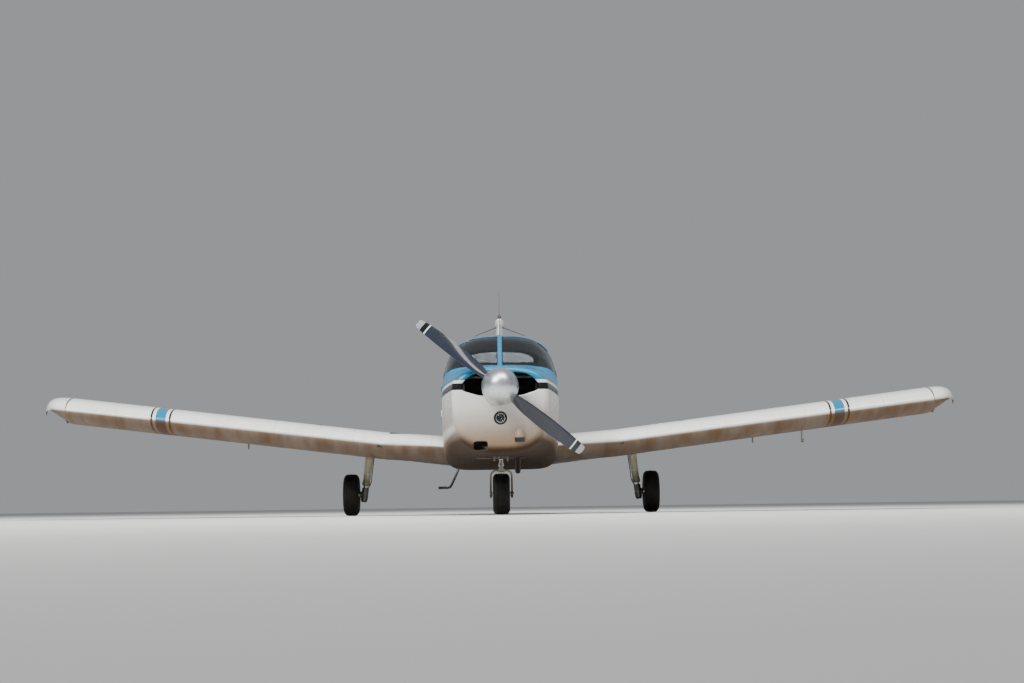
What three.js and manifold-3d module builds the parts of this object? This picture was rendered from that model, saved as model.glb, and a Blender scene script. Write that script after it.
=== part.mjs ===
// A four-seat light aircraft with a low wing, one piston engine and a fixed nose-wheel gear.
// Millimetres, +Z up. The nose points to -Y, so the pilot's left is +X. The wheels stand on z = 0.
// A station is a distance aft of the spinner's tip. A ring is one closed row of points of a loft.
import * as THREE from "three";
import { mergeVertices } from "three/addons/utils/BufferGeometryUtils.js";
import Module from "manifold-3d";

const wasm = await Module();
wasm.setup();

// Driving dimensions
const LENGTH = 7160;
const TOUCH_GAP = 0.3; // between pieces that touch
const PIN_GAP = 0.5; // round a pin or shaft, and at its end
const RUN_GAP = 6; // between pieces that move past each other
const COVE_GAP = 8; // round the nose of a hinged surface, so that its skins clear when it turns
const NOSE_INSET = 1.5; // of the round nose of a hinged surface below its skins
const WALL = 30; // cabin wall with its trim
const SKIN = 8; // tail cone, cowling and wing skins
const GLASS = 6;
const SIDES = [
  { side: "left", sign: 1 },
  { side: "right", sign: -1 },
];

// Body
const FIREWALL = 1250;
const FIREWALL_BACK = 1256;
const CABIN_BACK = 3900;
const RING_STEPS = 24;

// Body sections: station, bottom, top, half_width, widest_height, top_exponent, bottom_exponent.
// Each half of a section is a superellipse about its widest height.
const BODY_SECTIONS = [
  { station: 355, bottom: 640, top: 1290, half_width: 385, widest: 1110, top_exp: 2.5, bottom_exp: 2.6 },
  { station: 375, bottom: 585, top: 1322, half_width: 420, widest: 1105, top_exp: 2.6, bottom_exp: 2.8 },
  { station: 430, bottom: 553, top: 1344, half_width: 443, widest: 1100, top_exp: 2.7, bottom_exp: 3.0 },
  { station: 700, bottom: 545, top: 1368, half_width: 474, widest: 1095, top_exp: 2.9, bottom_exp: 3.3 },
  { station: 1250, bottom: 522, top: 1400, half_width: 535, widest: 1080, top_exp: 3.1, bottom_exp: 4.2 },
  { station: 1560, bottom: 490, top: 1424, half_width: 558, widest: 1070, top_exp: 3.2, bottom_exp: 5.5 },
  { station: 1850, bottom: 464, top: 1602, half_width: 563, widest: 1100, top_exp: 3.05, bottom_exp: 7.0 },
  { station: 2120, bottom: 452, top: 1732, half_width: 565, widest: 1130, top_exp: 3.0, bottom_exp: 8.0 },
  { station: 2300, bottom: 447, top: 1776, half_width: 565, widest: 1145, top_exp: 3.0, bottom_exp: 8.0 },
  { station: 2600, bottom: 445, top: 1792, half_width: 564, widest: 1150, top_exp: 3.0, bottom_exp: 8.0 },
  { station: 3000, bottom: 452, top: 1766, half_width: 556, widest: 1140, top_exp: 2.9, bottom_exp: 7.0 },
  { station: 3500, bottom: 474, top: 1656, half_width: 526, widest: 1105, top_exp: 2.7, bottom_exp: 5.0 },
  { station: 3900, bottom: 503, top: 1552, half_width: 480, widest: 1075, top_exp: 2.5, bottom_exp: 4.0 },
  { station: 4600, bottom: 572, top: 1402, half_width: 378, widest: 1030, top_exp: 2.3, bottom_exp: 2.8 },
  { station: 5400, bottom: 658, top: 1265, half_width: 235, widest: 985, top_exp: 2.1, bottom_exp: 2.4 },
  { station: 6100, bottom: 733, top: 1165, half_width: 108, widest: 950, top_exp: 2.0, bottom_exp: 2.2 },
  { station: 6420, bottom: 768, top: 1130, half_width: 62, widest: 940, top_exp: 2.0, bottom_exp: 2.2 },
];
const COWL_STATIONS = [355, 375, 430, 700, FIREWALL - TOUCH_GAP];
const CABIN_FRONT = FIREWALL_BACK + TOUCH_GAP;
const CABIN_STATIONS = [CABIN_FRONT, 1560, 1700, 1850, 2120, 2300, 2600, 3000, 3500, CABIN_BACK];
const CAVITY_STATIONS = [1200, ...CABIN_STATIONS.slice(1, -1), 3950];
const TAIL_STATIONS = [CABIN_BACK + TOUCH_GAP, 4600, 5400, 6100, 6420];

// Side outlines, as station and height
const WINDSHIELD = [
  [1500, 1451],
  [1590, 1425],
  [1750, 1380],
  [1962, 1318],
  [2195, 1640],
  [2180, 1900],
];
const FRONT_WINDOW = [
  [2065, 1345],
  [2790, 1365],
  [2780, 1650],
  [2295, 1656],
];
const REAR_WINDOW = [
  [2915, 1370],
  [3560, 1385],
  [3440, 1565],
  [2925, 1638],
];
const DOOR = [
  [2010, 905],
  [2845, 905],
  [2845, 1712],
  [2262, 1718],
  [2010, 1330],
];
// The widest x that a cut through a side of the body reaches, and how near the middle it starts
const SIDE_REACH = [100, 700];
const WINDSHIELD_ROUNDING = 40;
const WINDOW_ROUNDING = 60;
const CENTRE_POST = 50;
const DOOR_GAP = 8;
const DOOR_FLANGE = 10; // outer layer of the door, which overlaps its inner tray
const DOOR_TRAY_INSET = 14;
const DOOR_HINGE = { station: 2003, x: -573, radius: 7, heights: [990, 1230], half_length: 28 };

// Engine and propeller
const THRUST = { station: 285, height: 1149, tilt: THREE.MathUtils.degToRad(2.2) };
const SPINNER = { radius: 166, ahead: 285, behind: 52 };
const BLADE_ANGLE = THREE.MathUtils.degToRad(38.4);
// Blade sections: radius, chord, thickness, pitch in degrees
const BLADE_SECTIONS = [
  { radius: 30, chord: 70, thickness: 42, pitch: 46 },
  { radius: 150, chord: 112, thickness: 40, pitch: 50 },
  { radius: 300, chord: 136, thickness: 22, pitch: 36 },
  { radius: 500, chord: 140, thickness: 15, pitch: 25 },
  { radius: 700, chord: 126, thickness: 10, pitch: 19 },
  { radius: 860, chord: 104, thickness: 7, pitch: 16 },
  { radius: 918, chord: 82, thickness: 5.5, pitch: 15 },
  { radius: 938, chord: 44, thickness: 4, pitch: 14.5 },
];
const ENGINE = { front: 500, back: 1120, half_width: 350, bottom: 880, top: 1270 };
const SHAFT = { radius: 60, end: -190 };

// Wing: its chord line is at the root height, plus the dihedral slope times x, at the wing's own station
const WING_STATION = 2180;
const WING_TRAILING = 3780;
const WING_ROOT_HEIGHT = 564;
const DIHEDRAL_SLOPE = 0.1188;
const WING_TIP_JOIN = 4290;
// Wing sections: x, leading (station), incidence in degrees
const WING_SECTIONS = [
  { x: 380, leading: 1790, incidence: 4.1 },
  { x: 640, leading: 1800, incidence: 4.05 },
  { x: 900, leading: 1990, incidence: 3.9 },
  { x: 1160, leading: 2180, incidence: 3.8 },
  { x: 4290, leading: 2180, incidence: 2.2 },
];
// Thickness as a share of the outer wing's chord. At the longer root chord it shrinks by this power.
const WING_THICKNESS = 0.163;
const ROOT_THINNING = 1.5;
const WING_CAMBER = 0.022;
// Tip sections: distance out beyond the join, lengths cut off the chord's front and back, how far the section
// drops, and the share of the thickness that is kept below the upper face
const TIP_SECTIONS = [
  { out: 0, cut_front: 0, cut_back: 0, drop: 0, keep: 1.0 },
  { out: 90, cut_front: 35, cut_back: 4, drop: 0, keep: 0.82 },
  { out: 180, cut_front: 130, cut_back: 18, drop: 6, keep: 0.5 },
  { out: 250, cut_front: 300, cut_back: 50, drop: 20, keep: 0.22 },
  { out: 282, cut_front: 500, cut_back: 90, drop: 45, keep: 0.06 },
];
const FLAP = { inner: 650, outer: 2325, hinge: 3445 };
const AILERON = { inner: 2345, outer: 4225, hinge: 3485 };
const HINGE_PIN_RADIUS = 8;
const HINGE_PIN_REACH = 12; // of a hinge pin into the wing, beyond the running gap
const PITOT = { x: 3050, half_width: 9, height: 150, sunk: 30 };

// Tail
const STABILATOR = {
  station: 6300,
  height: 845,
  span: 3050,
  chord: 762,
  inner: 125,
  thickness: 0.1,
  tube: 27,
};
const FIN = { foot: 1000, top: 2210, thickness: { foot: 0.058, top: 0.082 } };
const FIN_LEADING = { foot: 5095, top: 6245 };
const RUDDER_HINGE = { foot: 6448, top: 6622 };
const RUDDER_TRAILING = { foot: 6935, top: 7160 };
const RUDDER_BOTTOM = 800;
const RUDDER_TRAVEL = 27; // degrees each way
const RUDDER_TOP = 2262;
const RUDDER_ROOM_AHEAD = 20; // of the hinge line, so that the wide fin cap clears the turned rudder
const FIN_CAP_TOP = 2290;
const BEACON = { station: 6360, radius: 22, height: 56 };
const WHISKER_ENDS = [
  { x: 37, station: 6395, height: 2195 },
  { x: 300, station: 6700, height: 2120 },
];
const WHISKER_RADII = [5, 3];
const WHIP = { station: 2880, top: 2270, lean: 10, foot_radius: 22 };

// Landing gear
const TYRE = { radius: 212, half_width: 79, bead: 78 };
const RIM_HALF = TYRE.half_width * 0.62;
const AXLE_RADIUS = 17;
const WHEEL_SIDES = 20;
const MAIN = { station: 2950, wheel: 1525, leg_top: 1325, leg_foot: 1392, top: 700 };
// Main leg: heights on the leg's slanted line, and the radius at each
const LEG_RODS = [
  { from: 700, to: 395, radius: 40, end_radius: 38 },
  { from: 420, to: 385, radius: 46, end_radius: 46 },
  { from: 400, to: TYRE.radius, radius: 26, end_radius: 26 },
  { from: 270, to: 137, radius: 36, end_radius: 30 },
];
// Scissor links: height on the leg, and height of the knee that they share
const LEG_LINKS = [
  { from: 405, to: 318 },
  { from: 250, to: 318 },
];
const LEG_LINK = { root: 20, knee: 118, radius: 14, end_radius: 10 };
const CALLIPER = { stations: [6, 74], heights: [-20, 36], room: 7 };
const NOSE = { station: 1010, tyre_radius: 192, rake: THREE.MathUtils.degToRad(6) };
// Nose leg: distances up the leg's line from the axle
const NOSE_HOUSING = { low: 384, collar: 408, high: 660, radius: 33, collar_radius: 40 };
// Nose braces: distance up the leg, and x and height on the firewall
const NOSE_BRACES = [
  { from: 640, x: 190, height: 870 },
  { from: 490, x: 150, height: 640 },
];
const NOSE_BRACE_RADIUS = 13;
const NOSE_STEM_RADIUS = 21;
const NOSE_LINKS = { top: 364, knee: 312, foot: 262, root: -18, reach: -92, radius: 12, end_radius: 9 };
const FORK = { inner: 90, plate: 18, crown: 204, crown_height: 26, foot: -35 };

// Finishes
const FINISHES = {
  white: { color: 0xf0f0ea, roughness: 0.3, metalness: 0.1 },
  blue: { color: 0x2f8fb8, roughness: 0.3, metalness: 0.15 },
  slate: { color: 0x2c3e55, roughness: 0.35, metalness: 0.2 },
  alloy: { color: 0xc8cdd2, roughness: 0.25, metalness: 1 },
  steel: { color: 0x8d9094, roughness: 0.4, metalness: 0.9 },
  dark: { color: 0x2a2b2d, roughness: 0.7, metalness: 0.4 },
  tyre: { color: 0x151515, roughness: 0.9, metalness: 0 },
  glass: { color: 0x8fa0a6, roughness: 0.05, metalness: 0 },
  trim: { color: 0x77746e, roughness: 0.9, metalness: 0 },
  leather: { color: 0x6d6258, roughness: 0.6, metalness: 0 },
  red: { color: 0x5a1010, roughness: 0.2, metalness: 0 },
};

const aircraft = new THREE.Group();

// Solids

function solidFrom(geometry) {
  geometry.deleteAttribute("normal");
  geometry.deleteAttribute("uv");
  const merged = mergeVertices(geometry, 1e-3);
  const vertProperties = new Float32Array(merged.attributes.position.array);
  const triVerts = new Uint32Array(merged.index.array);
  const made = new wasm.Manifold(new wasm.Mesh({ numProp: 3, vertProperties, triVerts }));
  if (made.volume() > 0) return made;
  for (let i = 0; i < triVerts.length; i += 3) {
    [triVerts[i + 1], triVerts[i + 2]] = [triVerts[i + 2], triVerts[i + 1]];
  }
  return new wasm.Manifold(new wasm.Mesh({ numProp: 3, vertProperties, triVerts }));
}

function geometryFrom(solid) {
  const mesh = solid.getMesh();
  const positions = new Float32Array(mesh.numVert * 3);
  for (let i = 0; i < mesh.numVert; i++) {
    const start = i * mesh.numProp;
    positions.set(mesh.vertProperties.subarray(start, start + 3), i * 3);
  }
  const geometry = new THREE.BufferGeometry();
  geometry.setAttribute("position", new THREE.BufferAttribute(positions, 3));
  geometry.setIndex(new THREE.BufferAttribute(mesh.triVerts, 1));
  geometry.computeVertexNormals();
  return geometry;
}

function addPart(name, solid, finish) {
  const mesh = new THREE.Mesh(geometryFrom(solid), new THREE.MeshStandardMaterial(FINISHES[finish]));
  mesh.name = name;
  aircraft.add(mesh);
}

const yOf = (station) => station - LENGTH / 2;
const point = (x, station, z) => new THREE.Vector3(x, yOf(station), z);
const joined = (solids) => solids.reduce((sum, solid) => sum.add(solid));

// Triangles of a flat ring's own points that fill it, in the ring's own direction.
function filling(ring) {
  const normal = new THREE.Vector3();
  ring.forEach((p, i) => normal.add(p.clone().cross(ring[(i + 1) % ring.length])));
  const flat = ["x", "y", "z"].sort((a, b) => Math.abs(normal[a]) - Math.abs(normal[b])).slice(0, 2);
  const outline = ring.map((p) => new THREE.Vector2(p[flat[0]], p[flat[1]]));
  const forward = THREE.ShapeUtils.area(outline) > 0;
  return THREE.ShapeUtils.triangulateShape(outline, []).map((corners) => {
    const same = THREE.ShapeUtils.area(corners.map((i) => outline[i])) > 0 === forward;
    return same ? corners : [corners[0], corners[2], corners[1]];
  });
}

// A closed surface through rings of the same number of points.
function loft(rings) {
  const count = rings[0].length;
  const positions = [];
  const index = [];
  rings.forEach((ring) => ring.forEach((p) => positions.push(p.x, p.y, p.z)));
  for (let r = 0; r + 1 < rings.length; r++) {
    for (let i = 0; i < count; i++) {
      const a = r * count + i;
      const b = r * count + ((i + 1) % count);
      index.push(a, b, b + count, a, b + count, a + count);
    }
  }
  filling(rings[0]).forEach(([a, b, c]) => index.push(a, c, b));
  const last = (rings.length - 1) * count;
  filling(rings[rings.length - 1]).forEach(([a, b, c]) => index.push(last + a, last + b, last + c));
  const geometry = new THREE.BufferGeometry();
  geometry.setAttribute("position", new THREE.Float32BufferAttribute(positions, 3));
  geometry.setIndex(index);
  return solidFrom(geometry);
}

function block(xRange, stationRange, zRange) {
  const geometry = new THREE.BoxGeometry(
    xRange[1] - xRange[0],
    stationRange[1] - stationRange[0],
    zRange[1] - zRange[0],
  );
  geometry.translate(
    (xRange[0] + xRange[1]) / 2,
    yOf((stationRange[0] + stationRange[1]) / 2),
    (zRange[0] + zRange[1]) / 2,
  );
  return solidFrom(geometry);
}

// A round bar or cone from one point to another.
function rod(from, to, radius, endRadius = radius, sides = 12) {
  const along = to.clone().sub(from);
  const geometry = new THREE.CylinderGeometry(endRadius, radius, along.length(), sides);
  geometry.translate(0, along.length() / 2, 0);
  const turn = new THREE.Quaternion().setFromUnitVectors(new THREE.Vector3(0, 1, 0), along.normalize());
  geometry.applyQuaternion(turn);
  geometry.translate(from.x, from.y, from.z);
  return solidFrom(geometry);
}

// A profile of [radius, distance] turned about a line through centre. Each radius is the distance to
// the middle of a facet, and one facet faces down where the line lies along X.
function turned(profile, centre, axis, sides = 22) {
  const half = Math.PI / sides;
  const points = profile.map(([radius, along]) => new THREE.Vector2(radius / Math.cos(half), along));
  const geometry = new THREE.LatheGeometry(points, sides, half);
  const turn = new THREE.Quaternion().setFromUnitVectors(new THREE.Vector3(0, 1, 0), axis);
  geometry.applyQuaternion(turn);
  geometry.translate(centre.x, centre.y, centre.z);
  return solidFrom(geometry);
}

function bentTube(points, radius, steps, sides = 12) {
  const section = new THREE.Shape();
  section.absarc(0, 0, radius, 0, 2 * Math.PI);
  const geometry = new THREE.ExtrudeGeometry(section, {
    steps,
    curveSegments: sides,
    extrudePath: new THREE.CatmullRomCurve3(points),
  });
  return solidFrom(geometry);
}

function roundedShape(corners, radius) {
  const shape = new THREE.Shape();
  corners.forEach((corner, i) => {
    const before = corners[(i + corners.length - 1) % corners.length];
    const after = corners[(i + 1) % corners.length];
    const start = cornerPoint(corner, before, radius);
    const end = cornerPoint(corner, after, radius);
    if (i === 0) shape.moveTo(...start);
    else shape.lineTo(...start);
    shape.quadraticCurveTo(corner[0], corner[1], ...end);
  });
  shape.closePath();
  return shape;
}

function cornerPoint(corner, other, radius) {
  const reach = Math.hypot(other[0] - corner[0], other[1] - corner[1]);
  const share = Math.min(radius / reach, 0.45);
  return [corner[0] + (other[0] - corner[0]) * share, corner[1] + (other[1] - corner[1]) * share];
}

// An outline with each edge moved outwards by a distance. The corners run counterclockwise.
function grown(corners, distance) {
  const turn = corners.reduce((sum, [x, y], i) => {
    const [nx, ny] = corners[(i + 1) % corners.length];
    return sum + x * ny - nx * y;
  }, 0);
  const side = Math.sign(turn);
  return corners.map((corner, i) => {
    const before = corners[(i + corners.length - 1) % corners.length];
    const after = corners[(i + 1) % corners.length];
    const inward = new THREE.Vector2(corner[0] - before[0], corner[1] - before[1]).normalize();
    const outward = new THREE.Vector2(after[0] - corner[0], after[1] - corner[1]).normalize();
    const normals = [inward, outward].map((v) => new THREE.Vector2(v.y, -v.x).multiplyScalar(side));
    const bisector = normals[0].clone().add(normals[1]).normalize();
    const reach = distance / bisector.dot(normals[0]);
    return [corner[0] + bisector.x * reach, corner[1] + bisector.y * reach];
  });
}

// A side outline of station and height, carried across from one x to another.
function sidePrism(corners, xRange, radius = 0) {
  const sharp = () => new THREE.Shape(corners.map((corner) => new THREE.Vector2(...corner)));
  const shape = radius > 0 ? roundedShape(corners, radius) : sharp();
  const geometry = new THREE.ExtrudeGeometry(shape, {
    depth: xRange[1] - xRange[0],
    bevelEnabled: false,
    curveSegments: 4,
  });
  const acrossX = new THREE.Matrix4().makeBasis(
    new THREE.Vector3(0, 1, 0),
    new THREE.Vector3(0, 0, 1),
    new THREE.Vector3(1, 0, 0),
  );
  geometry.applyMatrix4(acrossX);
  geometry.translate(xRange[0], yOf(0), 0);
  return solidFrom(geometry);
}

// A front outline of x and height, carried back from one station to another.
function frontPrism(corners, stationRange, radius) {
  const geometry = new THREE.ExtrudeGeometry(roundedShape(corners, radius), {
    depth: stationRange[1] - stationRange[0],
    bevelEnabled: false,
    curveSegments: 4,
  });
  const turnBack = new THREE.Matrix4().makeBasis(
    new THREE.Vector3(1, 0, 0),
    new THREE.Vector3(0, 0, 1),
    new THREE.Vector3(0, -1, 0),
  );
  geometry.applyMatrix4(turnBack);
  geometry.translate(0, yOf(stationRange[1]), 0);
  return solidFrom(geometry);
}

// Body shape

// A smooth value between the rows of a table, with no overshoot between them.
function between(rows, key, column, at) {
  const last = rows.length - 1;
  if (at <= rows[0][key]) return rows[0][column];
  if (at >= rows[last][key]) return rows[last][column];
  const i = rows.findIndex((row, n) => n < last && at < rows[n + 1][key]);
  const slope = (n) => (rows[n + 1][column] - rows[n][column]) / (rows[n + 1][key] - rows[n][key]);
  const tangent = (n) => {
    if (n === 0 || n === last) return slope(Math.min(n, last - 1));
    const product = slope(n - 1) * slope(n);
    return product > 0 ? (2 * product) / (slope(n - 1) + slope(n)) : 0;
  };
  const width = rows[i + 1][key] - rows[i][key];
  const t = (at - rows[i][key]) / width;
  const rise = rows[i + 1][column] - rows[i][column];
  return (
    rows[i][column] +
    rise * (3 * t * t - 2 * t * t * t) +
    width * (tangent(i) * (t - 2 * t * t + t * t * t) + tangent(i + 1) * (t * t * t - t * t))
  );
}

const bodyAt = (column, station) => between(BODY_SECTIONS, "station", column, station);

function bodyRing(station, inset) {
  const widest = bodyAt("widest", station);
  const halfWidth = bodyAt("half_width", station) - inset;
  const up = bodyAt("top", station) - inset - widest;
  const down = widest - bodyAt("bottom", station) - inset;
  const ring = [];
  for (let i = 0; i < RING_STEPS; i++) {
    const angle = (2 * Math.PI * i) / RING_STEPS;
    const c = Math.cos(angle);
    const s = Math.sin(angle);
    const exponent = 2 / bodyAt(s > 0 ? "top_exp" : "bottom_exp", station);
    const across = Math.sign(c) * Math.abs(c) ** exponent * halfWidth;
    const rise = Math.sign(s) * Math.abs(s) ** exponent * (s > 0 ? up : down);
    ring.push(point(Math.abs(c) < 1e-9 ? 0 : across, station, widest + rise));
  }
  return ring;
}

const hull = (stations, inset) => loft(stations.map((station) => bodyRing(station, inset)));
const ALL_STATIONS = [...COWL_STATIONS, ...CABIN_STATIONS, ...TAIL_STATIONS];
const wholeBody = (inset) => hull(ALL_STATIONS, inset);

// Airfoils

// Upper and lower heights of a cambered airfoil at a share of the chord, as shares of the chord.
function airfoilAt(share, thickness, camber) {
  const powers = -0.126 * share - 0.3516 * share ** 2 + 0.2843 * share ** 3 - 0.1015 * share ** 4;
  const half = 5 * thickness * (0.2969 * Math.sqrt(share) + powers);
  const crest = 0.4;
  const line =
    share < crest
      ? (camber / crest ** 2) * (2 * crest * share - share ** 2)
      : (camber / (1 - crest) ** 2) * (1 - 2 * crest + 2 * crest * share - share ** 2);
  return { upper: line + half, lower: line - half };
}

const AIRFOIL_STEPS = 9;
// Pairs of [share, height share] round an airfoil: back along the top and forward below.
function airfoilLoop(thickness, camber, steps = AIRFOIL_STEPS) {
  const top = [];
  const below = [];
  for (let i = 0; i <= steps; i++) {
    const share = 0.5 * (1 - Math.cos((Math.PI * i) / steps));
    const { upper, lower } = airfoilAt(share, thickness, camber);
    top.push([share, upper]);
    if (i > 0) below.unshift([share, lower]);
  }
  return [...top, ...below];
}

// Wing

const wingValue = (column, x) => {
  const i = Math.max(WING_SECTIONS.findIndex((row) => row.x >= x), 1);
  const [a, b] = [WING_SECTIONS[i - 1], WING_SECTIONS[i]];
  return a[column] + ((b[column] - a[column]) * (x - a.x)) / (b.x - a.x);
};

// The point of the wing at half span x, a distance back from the leading edge and a height over its chord.
function wingPoint(x, back, height, sign) {
  const incidence = THREE.MathUtils.degToRad(wingValue("incidence", Math.min(x, WING_TIP_JOIN)));
  const leading = wingValue("leading", Math.min(x, WING_TIP_JOIN));
  const leadingHeight =
    WING_ROOT_HEIGHT + DIHEDRAL_SLOPE * x + (WING_STATION - leading) * Math.tan(incidence);
  const station = leading + back * Math.cos(incidence) + height * Math.sin(incidence);
  return point(sign * x, station, leadingHeight - back * Math.sin(incidence) + height * Math.cos(incidence));
}

const chordAt = (x) => WING_TRAILING - wingValue("leading", Math.min(x, WING_TIP_JOIN));
const thicknessAt = (x) => WING_THICKNESS * ((WING_TRAILING - WING_STATION) / chordAt(x)) ** ROOT_THINNING;
const wingFoil = (share, x) => airfoilAt(share, thicknessAt(x), WING_CAMBER);

function wingRing(x, sign, growth = 0) {
  const chord = chordAt(x);
  return airfoilLoop(thicknessAt(x), WING_CAMBER).map(([share, height]) => {
    const middle = airfoilAt(share, 0, WING_CAMBER).upper;
    const swell = growth * Math.sign(height - middle || 0);
    const reach = share < 0.001 ? -growth : share > 0.999 ? growth : 0;
    return wingPoint(x, share * chord + reach, height * chord + swell, sign);
  });
}

const wingShell = (sign, growth) => loft(WING_SECTIONS.map((row) => wingRing(row.x, sign, growth)));

// The hollow of the wing, open at its tip end.
function wingHollow(sign) {
  const [front, back, steps] = [0.035, 0.72, 6];
  const halfSpans = [400, 640, 1160, WING_TIP_JOIN + 1];
  return loft(
    halfSpans.map((x) => {
      const chord = chordAt(x);
      const top = [];
      const below = [];
      for (let i = 0; i <= steps; i++) {
        const share = front + ((back - front) * i) / steps;
        const { upper, lower } = wingFoil(share, x);
        top.push(wingPoint(x, share * chord, upper * chord - SKIN, sign));
        below.unshift(wingPoint(x, share * chord, lower * chord + SKIN, sign));
      }
      return [...top, ...below];
    }),
  );
}

// The hinge line of a surface: its middle height and half thickness at one half span.
function hingeAt(surface, x, sign) {
  const chord = chordAt(x);
  const back = surface.hinge - wingValue("leading", x);
  const { upper, lower } = wingFoil(back / chord, x);
  return {
    centre: wingPoint(x, back, ((upper + lower) / 2) * chord, sign),
    radius: ((upper - lower) / 2) * chord,
  };
}

// Both ends of a surface's hinge line, the unit vector along it and the length between the ends.
function hingeLine(surface, sign) {
  const inner = hingeAt(surface, surface.inner, sign);
  const outer = hingeAt(surface, surface.outer, sign);
  const along = outer.centre.clone().sub(inner.centre);
  const length = along.length();
  return { inner, outer, along: along.normalize(), length };
}

// A round bar on the hinge line, as thick as the wing there, that ends a distance beyond the surface's ends.
function surfaceNose(surface, sign, growth, extra) {
  const { inner, along, length } = hingeLine(surface, sign);
  const within = WING_SECTIONS.map((row) => row.x).filter((x) => x > surface.inner && x < surface.outer);
  const rows = [surface.inner, ...within, surface.outer].map((x) => {
    const share = (x - surface.inner) / (surface.outer - surface.inner);
    return [hingeAt(surface, x, sign).radius + growth, share * (length + 2 * extra) - extra];
  });
  return turned([[0, -extra], ...rows, [0, length + extra]], inner.centre, along, 16);
}

// A block behind the hinge line, or from a distance ahead of it, with both ends square to the line.
function surfaceSlab(surface, sign, extra, ahead = 0) {
  const [behind, height] = [560, 500];
  const { inner, outer, along, length } = hingeLine(surface, sign);
  const up = along.clone().cross(new THREE.Vector3(0, 1, 0)).normalize();
  const back = up.clone().cross(along);
  const geometry = new THREE.BoxGeometry(length + 2 * extra, behind + ahead, height);
  geometry.translate(0, (behind - ahead) / 2, 0);
  geometry.applyMatrix4(new THREE.Matrix4().makeBasis(along, back, up));
  geometry.translate(...inner.centre.clone().lerp(outer.centre, 0.5).toArray());
  return solidFrom(geometry);
}

function wingSurface(surface, sign, shell) {
  return shell.intersect(surfaceSlab(surface, sign, 0)).add(surfaceNose(surface, sign, -NOSE_INSET, 0));
}

// Round pins on the wing, one at each end of a surface, that stop just short of it.
function surfacePins(surface, sign) {
  const { inner, outer, along } = hingeLine(surface, sign);
  const reach = RUN_GAP + HINGE_PIN_REACH;
  const bar = rod(
    inner.centre.clone().addScaledVector(along, -reach),
    outer.centre.clone().addScaledVector(along, reach),
    HINGE_PIN_RADIUS,
  );
  return bar.subtract(surfaceSlab(surface, sign, PIN_GAP, 100));
}

// A plate with a round eye, that hangs down from a height.
function tieDownLug(x, station, top, height) {
  const half = { width: 30, foot: 22, plate: 5 };
  const plate = sidePrism(
    [
      [station - half.width, top],
      [station - half.foot, top - height],
      [station + half.foot, top - height],
      [station + half.width, top],
    ],
    [x - half.plate, x + half.plate],
    8,
  );
  const eye = { height: top - height + 18, radius: 9, reach: 20 };
  const [from, to] = [-eye.reach, eye.reach].map((reach) => point(x + reach, station, eye.height));
  return plate.subtract(rod(from, to, eye.radius));
}

const TIE_DOWN = { x: 2550, station: 2760, height: 62, sunk: 6 };
const TAIL_TIE_DOWN = { station: 5900, height: 76, sunk: 14 };
// The height of the wing's lower face at a half span and station.
function wingUnderside(x, station) {
  const chord = chordAt(x);
  const back = station - wingValue("leading", x);
  return wingPoint(x, back, wingFoil(back / chord, x).lower * chord, 1).z;
}

function buildWing({ side, sign }, body) {
  const shell = wingShell(sign, 0);
  let wing = shell.subtract(wingHollow(sign)).subtract(body);
  for (const [name, surface] of [
    ["flap", FLAP],
    ["aileron", AILERON],
  ]) {
    addPart(name + "_" + side, wingSurface(surface, sign, shell), "white");
    wing = wing.subtract(surfaceSlab(surface, sign, RUN_GAP));
    wing = wing.subtract(surfaceNose(surface, sign, COVE_GAP, RUN_GAP));
    wing = wing.add(surfacePins(surface, sign));
  }
  const lugTop = wingUnderside(TIE_DOWN.x, TIE_DOWN.station) + TIE_DOWN.sunk;
  wing = wing.add(tieDownLug(sign * TIE_DOWN.x, TIE_DOWN.station, lugTop, TIE_DOWN.height));
  addPart("wing_" + side, wing, "white");

  const tip = loft(
    TIP_SECTIONS.map(({ out, cut_front, cut_back, drop, keep }) => {
      const x = WING_TIP_JOIN + TOUCH_GAP + out;
      const chord = chordAt(x);
      const share = (chord - cut_front - cut_back) / chord;
      return airfoilLoop(WING_THICKNESS, WING_CAMBER).map(([back, height]) => {
        const ceiling = wingFoil(back, x).upper * Math.sqrt(share);
        const kept = ceiling - (ceiling - height) * keep;
        return wingPoint(x, cut_front + back * chord * share, kept * chord - drop, sign);
      });
    }),
  );
  addPart("wing_tip_" + side, tip, "white");
}

// Landing gear

const ACROSS = new THREE.Vector3(1, 0, 0);

function tyreSolid(centre, radius) {
  const { half_width: half, bead } = TYRE;
  const [wall, shoulder, tread] = [half * 0.84, half * 0.86, half * 0.34];
  return turned(
    [
      [bead, -RIM_HALF],
      [bead + 26, -wall],
      [radius - 60, -half],
      [radius - 20, -shoulder],
      [radius, -tread],
      [radius, tread],
      [radius - 20, shoulder],
      [radius - 60, half],
      [bead + 26, wall],
      [bead, RIM_HALF],
      [bead, -RIM_HALF],
    ],
    centre,
    ACROSS,
    WHEEL_SIDES,
  );
}

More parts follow.
